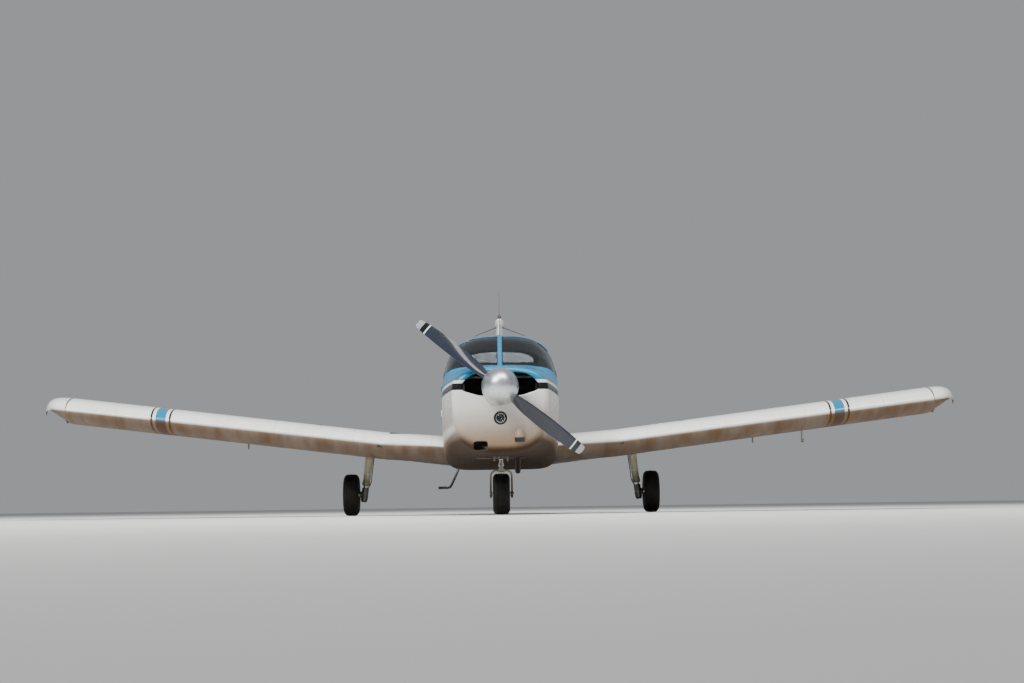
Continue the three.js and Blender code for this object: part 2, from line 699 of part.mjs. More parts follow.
// A wheel rim with its axle bore. A brake disc stands on the side that discSide names, if it isn't 0.
function rimSolid(centre, discSide) {
  const bore = AXLE_RADIUS + PIN_GAP;
  const bead = TYRE.bead - TOUCH_GAP;
  const web = { inner: 38, outer: 64, half: 22 };
  const rim = turned(
    [
      [bore, -RIM_HALF],
      [web.inner - 4, -RIM_HALF],
      [web.inner, -web.half],
      [web.outer, -web.half],
      [web.outer + 2, -RIM_HALF],
      [bead, -RIM_HALF],
      [bead, RIM_HALF],
      [web.outer + 2, RIM_HALF],
      [web.outer, web.half],
      [web.inner, web.half],
      [web.inner - 4, RIM_HALF],
      [bore, RIM_HALF],
      [bore, -RIM_HALF],
    ],
    centre,
    ACROSS,
    WHEEL_SIDES,
  );
  if (!discSide) return rim;
  const disc = { radius: 86, thickness: 6, hat: 60, sunk: 4, stands: 18 };
  const from = discSide * (RIM_HALF - disc.sunk);
  const to = discSide * (RIM_HALF + disc.stands);
  const back = to - discSide * disc.thickness;
  const profile = [
    [bore, from],
    [disc.hat, from],
    [disc.hat, back],
    [disc.radius, back],
    [disc.radius, to],
    [bore, to],
    [bore, from],
  ];
  return rim.add(turned(profile, centre, ACROSS, WHEEL_SIDES));
}

function buildMainGear({ side, sign }) {
  const { station, leg_top, leg_foot, wheel, top } = MAIN;
  const axleHeight = TYRE.radius;
  const crown = point(sign * leg_top, station, top);
  const foot = point(sign * leg_foot, station, axleHeight);
  const legPoint = (height) => crown.clone().lerp(foot, (top - height) / (top - axleHeight));
  const rods = LEG_RODS.map(({ from, to, radius, end_radius }) =>
    rod(legPoint(from), legPoint(to), radius, end_radius, 14),
  );
  const links = LEG_LINKS.map((row) => {
    const root = legPoint(row.from).add(new THREE.Vector3(0, LEG_LINK.root, 0));
    const knee = legPoint(row.to).add(new THREE.Vector3(0, LEG_LINK.knee, 0));
    return rod(root, knee, LEG_LINK.radius, LEG_LINK.end_radius, 8);
  });
  const axle = rod(foot, point(sign * (wheel + RIM_HALF + 14), station, axleHeight), AXLE_RADIUS);
  const stub = rod(foot, point(sign * (wheel - TYRE.half_width - 14), station, axleHeight), 28, 24);
  const calliper = block(
    [sign * (leg_foot + 8), sign * (wheel - RIM_HALF - 18 - CALLIPER.room)].sort((a, b) => a - b),
    CALLIPER.stations.map((behind) => station + behind),
    CALLIPER.heights.map((above) => axleHeight + above),
  );
  const leg = joined([...rods, ...links, axle, stub, calliper]);
  addPart("main_leg_" + side, leg.subtract(wingShell(sign, TOUCH_GAP)), "white");
  const centre = point(sign * wheel, station, axleHeight);
  addPart("main_wheel_" + side, rimSolid(centre, -sign), "alloy");
  addPart("main_tyre_" + side, tyreSolid(centre, TYRE.radius), "tyre");
}

function buildNoseGear() {
  const axle = point(0, NOSE.station, NOSE.tyre_radius);
  const up = new THREE.Vector3(0, Math.sin(NOSE.rake), Math.cos(NOSE.rake));
  const onAxis = (distance) => axle.clone().addScaledVector(up, distance);
  const { low, collar, high, radius, collar_radius } = NOSE_HOUSING;
  const braces = NOSE_BRACES.flatMap((row) =>
    SIDES.map(({ sign }) => {
      const end = point(sign * row.x, FIREWALL - TOUCH_GAP, row.height);
      return rod(onAxis(row.from), end, NOSE_BRACE_RADIUS, NOSE_BRACE_RADIUS, 8);
    }),
  );
  const housing = joined([
    rod(onAxis(low), onAxis(high), radius),
    rod(onAxis(low), onAxis(collar), collar_radius),
    ...braces,
  ]);
  const behindWall = block([-400, 400], [FIREWALL - TOUCH_GAP, FIREWALL + 200], [400, 1200]);
  addPart("nose_leg", housing.subtract(behindWall), "white");

  const [crownLow, crownHigh] = [0, FORK.crown_height].map((above) => axle.z + FORK.crown + above);
  const outer = FORK.inner + FORK.plate;
  const armShape = [
    [NOSE.station - 26, axle.z + FORK.foot],
    [NOSE.station + 26, axle.z + FORK.foot],
    [NOSE.station + 48, crownHigh + 4],
    [NOSE.station - 6, crownHigh + 4],
  ];
  const arms = SIDES.map(({ sign }) =>
    sidePrism(armShape, [sign * FORK.inner, sign * outer].sort((a, b) => a - b), 12),
  );
  const crown = block([-outer, outer], [NOSE.station - 2, NOSE.station + 50], [crownLow, crownHigh]);
  const { top, knee, foot, root, reach } = NOSE_LINKS;
  const kneePoint = onAxis(knee).add(new THREE.Vector3(0, reach, 0));
  const links = [top, foot].map((from) => {
    const start = onAxis(from).add(new THREE.Vector3(0, root, 0));
    return rod(start, kneePoint, NOSE_LINKS.radius, NOSE_LINKS.end_radius, 8);
  });
  const axleEnd = outer + 8;
  const fork = joined([
    ...arms,
    ...links,
    crown,
    rod(onAxis(FORK.crown + 10), onAxis(low - PIN_GAP), NOSE_STEM_RADIUS),
    rod(point(-axleEnd, NOSE.station, axle.z), point(axleEnd, NOSE.station, axle.z), AXLE_RADIUS),
  ]);
  addPart("nose_fork", fork, "white");
  addPart("nose_wheel", rimSolid(axle, 0), "alloy");
  addPart("nose_tyre", tyreSolid(axle, NOSE.tyre_radius), "tyre");
}

// Tail

const lineAt = (line, height) => {
  const share = (height - FIN.foot) / (FIN.top - FIN.foot);
  return line.foot + (line.top - line.foot) * share;
};

function finThickness(height) {
  const share = THREE.MathUtils.clamp((height - FIN.foot) / (FIN.top - FIN.foot), 0, 1);
  return FIN.thickness.foot + (FIN.thickness.top - FIN.thickness.foot) * share;
}

function finRing(height, growth = 0) {
  const leading = lineAt(FIN_LEADING, Math.max(height, FIN.foot));
  const trailing = lineAt(RUDDER_TRAILING, height);
  const chord = trailing - leading;
  return airfoilLoop(finThickness(height), 0).map(([share, side]) => {
    const reach = share < 0.001 ? -growth : 0;
    return point(side * chord + growth * Math.sign(side), leading + share * chord + reach, height);
  });
}

// The hollow of the fin, open at its foot inside the tail cone.
function finHollow() {
  const [front, back, skin] = [0.08, 0.6, 5];
  return loft(
    [FIN.foot - 1, FIN.top - 60].map((height) => {
      const leading = lineAt(FIN_LEADING, height);
      const chord = lineAt(RUDDER_TRAILING, height) - leading;
      const corners = [front, (front + back) / 2, back].map((share) => {
        const half = airfoilAt(share, finThickness(height), 0).upper * chord - skin;
        return point(half, leading + share * chord, height);
      });
      const mirrored = corners.map((p) => new THREE.Vector3(-p.x, p.y, p.z)).reverse();
      return [...corners, ...mirrored];
    }),
  );
}

// Half the fin's thickness at the rudder's hinge.
function hingeHalfWidth(height) {
  const leading = lineAt(FIN_LEADING, Math.max(height, FIN.foot));
  const chord = lineAt(RUDDER_TRAILING, height) - leading;
  const share = (lineAt(RUDDER_HINGE, height) - leading) / chord;
  return airfoilAt(share, finThickness(height), 0).upper * chord;
}

// The slab behind the rudder's hinge line, or from a distance ahead of it, and a round nose on the line.
function rudderCut(growth, bottom, top, ahead = 0) {
  const hinge = (height) => [lineAt(RUDDER_HINGE, height), height];
  const front = [bottom, top].map((height) => [hinge(height)[0] - ahead, height]);
  const slab = sidePrism([front[0], [LENGTH + 300, bottom], [LENGTH + 300, top], front[1]], [-200, 200]);
  const foot = point(0, ...hinge(bottom));
  const axis = point(0, ...hinge(top)).sub(foot);
  const length = axis.length();
  const heights = [bottom, FIN.foot, 1300, 1600, 1900, FIN.top, top];
  const outline = heights.map((height) => [
    hingeHalfWidth(height) - NOSE_INSET + growth,
    (length * (height - bottom)) / (top - bottom),
  ]);
  return { slab, nose: turned([[0, 0], ...outline, [0, length]], foot, axis.normalize(), 20) };
}

// The wedge behind the rudder's hinge that the rudder sweeps, seen from above.
function rudderNotch() {
  const apex = lineAt(RUDDER_HINGE, RUDDER_BOTTOM) + 10;
  const reach = 700;
  const half = reach * Math.tan(THREE.MathUtils.degToRad(RUDDER_TRAVEL + 5));
  const shape = new THREE.Shape([
    new THREE.Vector2(-30, yOf(apex)),
    new THREE.Vector2(30, yOf(apex)),
    new THREE.Vector2(30 + half, yOf(apex + reach)),
    new THREE.Vector2(-30 - half, yOf(apex + reach)),
  ]);
  const geometry = new THREE.ExtrudeGeometry(shape, { depth: 900, bevelEnabled: false });
  geometry.translate(0, 0, 400);
  return solidFrom(geometry);
}

function buildTail(body) {
  const heights = [RUDDER_BOTTOM, FIN.foot, 1600, FIN.top, RUDDER_TOP];
  const whole = loft(heights.map((height) => finRing(height)));
  const cut = rudderCut(0, RUDDER_BOTTOM, RUDDER_TOP);
  const slice = block([-300, 300], [5000, LENGTH + 300], [RUDDER_BOTTOM, RUDDER_TOP]);
  const rudder = whole.intersect(cut.slab).add(cut.nose.intersect(slice));
  addPart("rudder", rudder, "white");

  const room = rudderCut(COVE_GAP, RUDDER_BOTTOM - RUN_GAP, FIN_CAP_TOP + 40, RUDDER_ROOM_AHEAD);
  const finPart = loft([FIN.foot, 1600, FIN.top].map((height) => finRing(height)))
    .subtract(finHollow())
    .subtract(room.slab)
    .subtract(room.nose)
    .subtract(body);
  addPart("fin", finPart, "white");

  // The cap over the fin flares out and then rounds over.
  const capRows = [
    { height: FIN.top + TOUCH_GAP, wide: 1.0 },
    { height: FIN.top + 22, wide: 1.42 },
    { height: FIN.top + 60, wide: 1.4 },
    { height: FIN_CAP_TOP, wide: 0.8 },
  ];
  const capRings = capRows.map(({ height, wide }, i) => {
    const shrink = i === capRows.length - 1 ? 25 : 0;
    return finRing(FIN.top).map((p) => {
      const y = THREE.MathUtils.clamp(p.y, yOf(FIN_LEADING.top + shrink), yOf(RUDDER_TRAILING.top));
      return new THREE.Vector3(p.x * wide, y, height);
    });
  });
  addPart("fin_cap", loft(capRings).subtract(room.slab).subtract(room.nose), "white");

  const { station, radius, height } = BEACON;
  addPart(
    "beacon",
    turned(
      [
        [0, 0],
        [radius, 0],
        [radius, height * 0.6],
        [radius * 0.75, height * 0.88],
        [0, height],
      ],
      point(0, station, FIN_CAP_TOP + TOUCH_GAP),
      new THREE.Vector3(0, 0, 1),
      16,
    ),
    "red",
  );

  const touchingFin = loft([FIN.foot, FIN.top].map((row) => finRing(row, TOUCH_GAP)));
  SIDES.forEach(({ side, sign }) => {
    const [root, end] = WHISKER_ENDS.map(({ x, station: at, height: z }) => point(sign * x, at, z));
    const whisker = rod(root, end, WHISKER_RADII[0], WHISKER_RADII[1], 8);
    addPart("whisker_antenna_" + side, whisker.subtract(touchingFin), "dark");
  });

  const { height: z, span, chord, inner, thickness, tube, station: pivot } = STABILATOR;
  const leading = pivot - chord * 0.25;
  const halves = SIDES.map(({ sign }) =>
    loft(
      [inner, span / 2 - 60, span / 2 - 18, span / 2].map((x, i) => {
        const taper = [1, 1, 0.86, 0.6][i];
        return airfoilLoop(thickness * Math.sqrt(taper), 0, 9).map(([share, side]) =>
          point(sign * x, leading + chord * (0.35 * (1 - taper) + share * (0.65 + 0.35 * taper)), z + side * chord),
        );
      }),
    ),
  );
  const hollows = SIDES.map(({ sign }) => {
    const xs = [sign * (inner - 1), sign * (span / 2 - 140)].sort((a, b) => a - b);
    const skin = 5;
    const upper = [0.06, 0.25, 0.42, 0.6].map((share) => [
      leading + chord * share,
      chord * airfoilAt(share, thickness, 0).upper - skin,
    ]);
    const lower = upper.map(([station, half]) => [station, z - half]).reverse();
    return sidePrism([...upper.map(([station, half]) => [station, z + half]), ...lower], xs);
  });
  const hollowHalves = halves.map((half, i) => half.subtract(hollows[i]));
  const pipeEnd = span / 2 - 135;
  const pipe = rod(point(-pipeEnd, pivot, z), point(pipeEnd, pivot, z), tube, tube, 20);
  const tubeRoom = rod(point(-200, pivot, z), point(200, pivot, z), tube + PIN_GAP, tube + PIN_GAP, 20);
  addPart("stabilator", joined([...hollowHalves, pipe]).subtract(rudderNotch()), "white");

  const coneOuter = hull(TAIL_STATIONS, 0);
  const coneInner = hull([3900, ...TAIL_STATIONS.slice(1, 3), 6050], SKIN);
  const bracketTop = RUDDER_BOTTOM - RUN_GAP;
  const hingeFoot = lineAt(RUDDER_HINGE, RUDDER_BOTTOM);
  const bracket = block([-25, 25], [6385, hingeFoot + 22], [bracketTop - 22, bracketTop]);
  const footUp = point(0, lineAt(RUDDER_HINGE, bracketTop - 6), bracketTop - 6);
  const pinTop = RUDDER_BOTTOM - PIN_GAP;
  const footPin = rod(footUp, point(0, lineAt(RUDDER_HINGE, pinTop), pinTop), HINGE_PIN_RADIUS);
  const lugTop = bodyAt("bottom", TAIL_TIE_DOWN.station) + TAIL_TIE_DOWN.sunk;
  const cone = coneOuter
    .subtract(coneInner)
    .subtract(room.slab)
    .subtract(room.nose)
    .subtract(tubeRoom)
    .add(bracket)
    .add(footPin)
    .add(tieDownLug(0, TAIL_TIE_DOWN.station, lugTop, TAIL_TIE_DOWN.height));
  addPart("tail_cone", cone, "white");
}

// Nose

function thrustPoint(ahead) {
  const { station, height, tilt } = THRUST;
  return point(0, station - ahead * Math.cos(tilt), height + ahead * Math.sin(tilt));
}

function buildPropeller() {
  const forward = new THREE.Vector3(0, -Math.cos(THRUST.tilt), Math.sin(THRUST.tilt));
  const { radius, ahead, behind } = SPINNER;
  const wall = 4;
  const outline = (shrink) => {
    const rows = [];
    const steps = 6;
    for (let i = 0; i <= steps; i++) {
      const angle = (Math.PI / 2) * (i / steps);
      const nose = (ahead - shrink) * Math.sin(angle);
      rows.push([(radius - shrink) * Math.cos(angle) ** 0.82, nose]);
    }
    rows[rows.length - 1][0] = 0;
    return rows;
  };
  const outer = turned([[0, -behind], [radius - 3, -behind], ...outline(0)], thrustPoint(0), forward);
  const innerBack = -behind - 1;
  const inner = turned([[0, innerBack], [radius - wall - 3, innerBack], ...outline(wall)], thrustPoint(0), forward);
  const plateRows = [-behind, -behind + 6].map((along) => [radius - 6, along]);
  const plate = turned([[0, -behind], ...plateRows, [0, -behind + 6]], thrustPoint(0), forward);
  const shaftRoom = rod(thrustPoint(-behind - 20), thrustPoint(-behind + 30), 60 + PIN_GAP, 60 + PIN_GAP, 24);
  const slots = [0, Math.PI].map((half) => {
    const along = new THREE.Vector3(-Math.cos(BLADE_ANGLE + half), 0, Math.sin(BLADE_ANGLE + half));
    const [from, to] = [70, 300].map((distance) => thrustPoint(0).addScaledVector(along, distance));
    return rod(from, to, 76, 76, 14);
  });
  addPart("spinner", outer.subtract(inner).add(plate).subtract(shaftRoom).subtract(joined(slots)), "alloy");

  const sideways = new THREE.Vector3(-Math.cos(BLADE_ANGLE), 0, Math.sin(BLADE_ANGLE));
  sideways.addScaledVector(forward, -sideways.dot(forward)).normalize();
  const across = forward.clone().cross(sideways).normalize();
  const blade = (turnSign) =>
    loft(
      BLADE_SECTIONS.map((row) => {
        const pitch = THREE.MathUtils.degToRad(row.pitch);
        const loop = airfoilLoop(row.thickness / row.chord, 0.03, 6);
        return loop.map(([share, height]) => {
          const along = (0.42 - share) * row.chord;
          const lift = height * row.chord;
          const sideShift = along * Math.cos(pitch) - lift * Math.sin(pitch);
          const frontShift = along * Math.sin(pitch) + lift * Math.cos(pitch);
          return thrustPoint(0)
            .addScaledVector(sideways, turnSign * row.radius)
            .addScaledVector(across, turnSign * sideShift)
            .addScaledVector(forward, frontShift);
        });
      }),
    );
  const hub = rod(thrustPoint(-40), thrustPoint(44), 72, 72, 24);
  const shaft = rod(thrustPoint(SHAFT.end + PIN_GAP), thrustPoint(-30), SHAFT.radius, SHAFT.radius, 24);
  addPart("propeller", joined([blade(1), blade(-1), hub, shaft]), "slate");
}

// Front outlines, as x and height
const INLET = [
  [120, 1284],
  [232, 1272],
  [290, 1240],
  [336, 1196],
  [350, 1158],
  [338, 1120],
  [200, 1078],
  [140, 1072],
];
const LIGHT = { height: 872, radius: 62 };
const INTAKE = [
  [-244, 586],
  [-118, 586],
  [-118, 660],
  [-244, 660],
];
const COWL_SPLIT = 1142; // height
// Engine mount tubes: x and height on the engine, and on the firewall
const MOUNT_TUBES = [
  { engine: [230, 940], wall: [230, 900] },
  { engine: [200, 1240], wall: [230, 1270] },
];
const EXHAUST = { x: 158, radius: 26, bore: 22 };
// Exhaust route, as station and height
const EXHAUST_ROUTE = [
  [960, 900],
  [985, 730],
  [1110, 600],
  [1260, 480],
  [1400, 408],
];

function buildCowling() {
  const outer = hull(COWL_STATIONS, 0);
  const inner = hull([383, 430, 700, 1262], SKIN);
  const inlets = SIDES.map(({ sign }) =>
    frontPrism(INLET.map(([x, z]) => [sign * x, z]), [300, 470], 22),
  );
  const shaftHole = rod(thrustPoint(60), thrustPoint(-240), 112, 112, 28);
  const roomRadius = LIGHT.radius + TOUCH_GAP;
  const lightRoom = rod(point(0, 300, LIGHT.height), point(0, 500, LIGHT.height), roomRadius, roomRadius, 28);
  const intake = frontPrism(INTAKE, [300, 480], 24);
  const legSlot = block([-72, 72], [920, 1300], [300, 700]);
  const outlet = block([-230, 230], [1120, 1300], [300, 640]);
  const shell = outer
    .subtract(inner)
    .subtract(joined(inlets))
    .subtract(shaftHole)
    .subtract(lightRoom)
    .subtract(intake)
    .subtract(legSlot)
    .subtract(outlet);
  const partBetween = (heights) => shell.intersect(block([-800, 800], [300, 1300], heights));
  addPart("cowl_upper", partBetween([COWL_SPLIT + TOUCH_GAP, 1700]), "blue");
  addPart("cowl_lower", partBetween([200, COWL_SPLIT]), "white");

  const lamp = turned(
    [
      [0, 0],
      [LIGHT.radius - 1.1, 0],
      [LIGHT.radius - 1.1, 34],
      [LIGHT.radius * 0.7, 60],
      [0, 66],
    ],
    point(0, 362, LIGHT.height),
    new THREE.Vector3(0, 1, 0),
    28,
  );
  addPart("landing_light", lamp, "glass");
  const { half_width: half, front, back, bottom, top } = ENGINE;
  const tubes = MOUNT_TUBES.flatMap(({ engine, wall }) =>
    SIDES.map(({ sign }) => {
      const start = point(sign * engine[0], back - 5, engine[1]);
      return rod(start, point(sign * wall[0], FIREWALL - TOUCH_GAP, wall[1]), 14, 14, 8);
    }),
  );
  const boss = rod(thrustPoint(SHAFT.end - 60), thrustPoint(SHAFT.end), 72, 72, 24);
  const engine = joined([block([-half, half], [front, back], [bottom, top]), boss, ...tubes]);
  const behindWall = block([-400, 400], [FIREWALL - TOUCH_GAP, FIREWALL + 100], [400, 1500]);
  addPart("engine_block", engine.subtract(behindWall), "dark");
  addPart("firewall", hull([FIREWALL, FIREWALL_BACK], 2), "steel");

  const route = EXHAUST_ROUTE.map(([station, z]) => point(EXHAUST.x, station, z));
  const [bend, end] = route.slice(-2);
  const boreRoute = [0, 0.5, 1, 1.5].map((share) => bend.clone().lerp(end, share));
  const exhaust = bentTube(route, EXHAUST.radius, 12, 10).subtract(
    block([-400, 400], [400, 1200], [ENGINE.bottom - TOUCH_GAP, 1400]),
  );
  addPart("exhaust_pipe", exhaust.subtract(bentTube(boreRoute, EXHAUST.bore, 4, 8)), "steel");
}

// Cabin

const FLOOR = { bottom: 690, top: 706, front: 1300, back: 3860 };

// The x range of a cut through one side of the body.
const onSide = (sign, nearest = SIDE_REACH[0]) =>
  [sign * nearest, sign * SIDE_REACH[1]].sort((a, b) => a - b);

function paneFrom(outline, xRange, radius) {
  const layer = hull(CABIN_STATIONS, 3).subtract(hull(CABIN_STATIONS, 3 + GLASS));
  return layer.intersect(sidePrism(grown(outline, -TOUCH_GAP), xRange, radius));
}

function buildCabin() {
  const outer = hull(CABIN_STATIONS, 0);
  const shell = outer.subtract(hull(CAVITY_STATIONS, WALL));
  const holes = [
    sidePrism(WINDSHIELD, onSide(-1, CENTRE_POST / 2), WINDSHIELD_ROUNDING),
    sidePrism(WINDSHIELD, onSide(1, CENTRE_POST / 2), WINDSHIELD_ROUNDING),
    sidePrism(FRONT_WINDOW, onSide(1), WINDOW_ROUNDING),
    sidePrism(REAR_WINDOW, onSide(1), WINDOW_ROUNDING),
    sidePrism(REAR_WINDOW, onSide(-1), WINDOW_ROUNDING),
    sidePrism(grown(DOOR, DOOR_GAP), onSide(-1), WINDOW_ROUNDING),
  ];
  addPart("cabin_shell", joined([shell.subtract(joined(holes)), ...doorHingeFixed()]), "blue");
  SIDES.forEach(({ side, sign }) => {
    const shield = paneFrom(WINDSHIELD, onSide(sign, CENTRE_POST / 2 + TOUCH_GAP), WINDSHIELD_ROUNDING);
    addPart("windshield_" + side, shield, "glass");
    addPart("rear_window_" + side, paneFrom(REAR_WINDOW, onSide(sign), WINDOW_ROUNDING), "glass");
    const front = sign > 0 ? "front_window_" : "door_window_";
    addPart(front + side, paneFrom(FRONT_WINDOW, onSide(sign), WINDOW_ROUNDING), "glass");
  });

  const flange = outer
    .subtract(hull(CABIN_STATIONS, DOOR_FLANGE))
    .intersect(sidePrism(DOOR, onSide(-1), WINDOW_ROUNDING));
  const tray = outer
    .subtract(hull(CABIN_STATIONS, WALL))
    .intersect(sidePrism(grown(DOOR, -DOOR_TRAY_INSET), onSide(-1), WINDOW_ROUNDING - 10));
  const door = flange.add(tray).subtract(sidePrism(FRONT_WINDOW, onSide(-1), WINDOW_ROUNDING));
  addPart("cabin_door", joined([door, ...doorHingeMoving()]), "blue");

  const floor = hull(CAVITY_STATIONS, WALL + TOUCH_GAP).intersect(
    block([-700, 700], [FLOOR.front, FLOOR.back], [FLOOR.bottom, FLOOR.top]),
  );
  addPart("cabin_floor", floor, "trim");
  addPart("rear_bulkhead", hull([FLOOR.back + TOUCH_GAP, FLOOR.back + 12], WALL + 4), "trim");
  buildPanel();
  buildSeats();
}

// The hinge of the door: two stacks, each with one moving barrel between two fixed ones.
function hingeBarrel(from, to, reach) {
  const { station, x, radius } = DOOR_HINGE;
  const barrel = rod(point(x, station, from), point(x, station, to), radius, radius, 14);
  const leaf = block([x - 2, x + 34], [station, station + reach].sort((a, b) => a - b), [from, to]);
  return barrel.add(leaf);
}

function doorHingeFixed() {
  const { heights, half_length: half } = DOOR_HINGE;
  const clear = hull(CABIN_STATIONS, WALL - 4);
  return heights.flatMap((height) => [
    hingeBarrel(height - half, height - half / 3, -22).subtract(clear),
    hingeBarrel(height + half / 3, height + half, -22).subtract(clear),
  ]);
}

function doorHingeMoving() {
  const { heights, half_length: half } = DOOR_HINGE;
  const clear = hull(CABIN_STATIONS, DOOR_FLANGE - 2);
  return heights.map((height) =>
    hingeBarrel(height - half / 3 + PIN_GAP, height + half / 3 - PIN_GAP, 22).subtract(clear),
  );
}

const PANEL = { front: 1850, back: 1880, bottom: 1040, top: 1372, shield_front: 1600, shield_half: 480 };
const YOKE = {
  x: 270,
  station: 2040,
  column_height: 1165,
  bar_height: 1139,
  reach: 130,
  grip: [1125, 1227],
  radius: 13,
};

function buildPanel() {
  const fit = hull(CAVITY_STATIONS, WALL + TOUCH_GAP);
  const { front, back, bottom, top, shield_front, shield_half } = PANEL;
  const board = block([-700, 700], [front, back], [bottom, top]);
  const shield = block([-shield_half, shield_half], [shield_front, back + 40], [top - 16, top]);
  const yokes = SIDES.flatMap(({ sign }) => {
    const { x, station, column_height: height, bar_height, reach, grip, radius } = YOKE;
    const at = (side, z, behind = station) => point(sign * x + side, behind, z);
    const grips = [-reach, reach].map((side) => rod(at(side, grip[0]), at(side, grip[1]), radius, radius, 8));
    return [
      rod(at(0, height, back - 5), at(0, height, station + 14), 15, 15, 14),
      rod(at(-reach, bar_height), at(reach, bar_height), radius, radius, 8),
      rod(at(0, height - 30), at(0, height + 10), 24, 20),
      ...grips,
    ];
  });
  addPart("instrument_panel", joined([fit.intersect(board.add(shield)), ...yokes]), "dark");
}

// Seat outlines, as station and height over the seat's own base: a cushion with its back.
const SEAT_SIDE = [
  [0, 0],
  [470, 0],
  [560, 20],
  [720, 610],
  [690, 660],
  [610, 640],
  [470, 160],
  [20, 175],
  [-10, 100],
];
const FRONT_SEAT = { front: 2210, base: 840, half_width: 215, middle: 255, height_share: 1 };
const REAR_SEAT = { front: 3030, base: 800, half_width: 375, height_share: 0.93 };
const SEAT_ROUNDING = 26;
// Seat frame: rail and cross bar places behind the seat's front, and how far in from its sides the rails run
const SEAT_FRAME = { inset: 45, rail_half: 14, floor_rail: [-30, 500], top_rail: [20, 460], bars: [60, 410] };
// Seat legs: places of foot and head behind the seat's front
const SEAT_LEGS = [
  { foot: 40, head: 70 },
  { foot: 430, head: 400 },
];

function seatSolid({ front, base, height_share: share }, xRange) {
  const outline = SEAT_SIDE.map(([station, height]) => [front + station, base + height * share]);
  return sidePrism(outline, xRange, SEAT_ROUNDING);
}

function seatFrame(middle, half, front, base) {
  const { inset, rail_half, floor_rail, top_rail, bars } = SEAT_FRAME;
  const barHeight = base - 12;
  const sides = [middle - half + inset, middle + half - inset];
  const rails = sides.flatMap((x) => {
    const xs = [x - rail_half, x + rail_half];
    return [
      block(xs, floor_rail.map((behind) => front + behind), [FLOOR.top + TOUCH_GAP, FLOOR.top + 22]),
      block(xs, top_rail.map((behind) => front + behind), [base - 20, base - TOUCH_GAP]),
      ...SEAT_LEGS.map(({ foot, head }) =>
        rod(point(x, front + foot, FLOOR.top + 12), point(x, front + head, barHeight), 12, 12, 6),
      ),
    ];
  });
  const cross = bars.map((behind) => {
    const [from, to] = sides.map((x) => point(x, front + behind, barHeight));
    return rod(from, to, 9, 9, 6);
  });
  return joined([...rails, ...cross]);
}

function buildSeats() {
  SIDES.forEach(({ side, sign }) => {
    const { half_width: half, front, base } = FRONT_SEAT;
    const middle = sign * FRONT_SEAT.middle;
    addPart("front_seat_" + side, seatSolid(FRONT_SEAT, [middle - half, middle + half]), "leather");
    addPart("front_seat_frame_" + side, seatFrame(middle, half, front, base), "dark");
  });
  const { half_width: half, front, base } = REAR_SEAT;
  addPart("rear_seat", seatSolid(REAR_SEAT, [-half, half]), "leather");
  const wall = 20;
  const outer = half - 30;
  const box = block([-outer, outer], [front + 30, front + 470], [FLOOR.top + TOUCH_GAP, base - TOUCH_GAP]);
  const room = block([wall - outer, outer - wall], [front, front + 450], [FLOOR.top + 8, base - wall]);
  addPart("rear_seat_box", box.subtract(room), "trim");
}

// Fittings outside

// Boarding step route, as x, station and height
const STEP_ROUTE = [
  [-396, 3858, 680],
  [-436, 3861, 520],
  [-528, 3866, 312],
  [-560, 3868, 284],
  [-610, 3870, 280],
  [-668, 3870, 278],
];
const STEP_TREAD = { xs: [-672, -580], stations: [3835, 3905], heights: [284, 296] };

function buildFittings(body) {
  const stepTube = bentTube(STEP_ROUTE.map((place) => point(...place)), 13, 14, 8);
  const tread = block(STEP_TREAD.xs, STEP_TREAD.stations, STEP_TREAD.heights);
  addPart("boarding_step", stepTube.add(tread).subtract(body), "dark");

  const top = wingUnderside(PITOT.x, 2700) + PITOT.sunk;
  const mast = sidePrism(
    [
      [2660, top - PITOT.height],
      [2760, top - PITOT.height],
      [2770, top],
      [2700, top],
    ],
    [PITOT.x - PITOT.half_width, PITOT.x + PITOT.half_width],
    10,
  );
  addPart("pitot_mast", mast.subtract(wingShell(1, TOUCH_GAP)), "white");

  const { station, lean, foot_radius } = WHIP;
  const roof = bodyAt("top", station);
  const whip = rod(point(0, station, roof + 6), point(0, station + lean, WHIP.top), 4, 2.5, 8);
  const foot = rod(point(0, station, roof - 10), point(0, station, roof + 26), foot_radius, 12, 14);
  addPart("whip_antenna", whip.add(foot).subtract(body), "dark");
}

const touchingBody = wholeBody(-TOUCH_GAP);
SIDES.forEach((row) => buildWing(row, touchingBody));
SIDES.forEach((row) => buildMainGear(row));
buildNoseGear();
buildTail(touchingBody);
buildPropeller();
buildCowling();
buildCabin();
buildFittings(touchingBody);

export default aircraft;
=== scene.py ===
import math
import random

import bmesh
import bpy
import numpy as np
from bpy.props import FloatProperty, FloatVectorProperty, IntProperty, PointerProperty
from mathutils import Matrix, Vector


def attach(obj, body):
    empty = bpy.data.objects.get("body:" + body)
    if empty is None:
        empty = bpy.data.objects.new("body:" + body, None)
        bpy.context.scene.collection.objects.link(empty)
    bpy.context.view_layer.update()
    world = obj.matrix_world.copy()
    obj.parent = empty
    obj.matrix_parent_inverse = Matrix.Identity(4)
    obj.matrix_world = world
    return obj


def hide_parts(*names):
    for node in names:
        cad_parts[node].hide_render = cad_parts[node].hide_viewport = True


bl_info = {
    "name": "Light Aircraft",
    "version": (1, 0, 0),
    "blender": (4, 5, 0),
    "location": "3D View > Sidebar > Aircraft",
    "description": "Builds the skins, glass, cabin, gear and finishes of a low-wing light aircraft",
    "category": "Add Mesh",
}

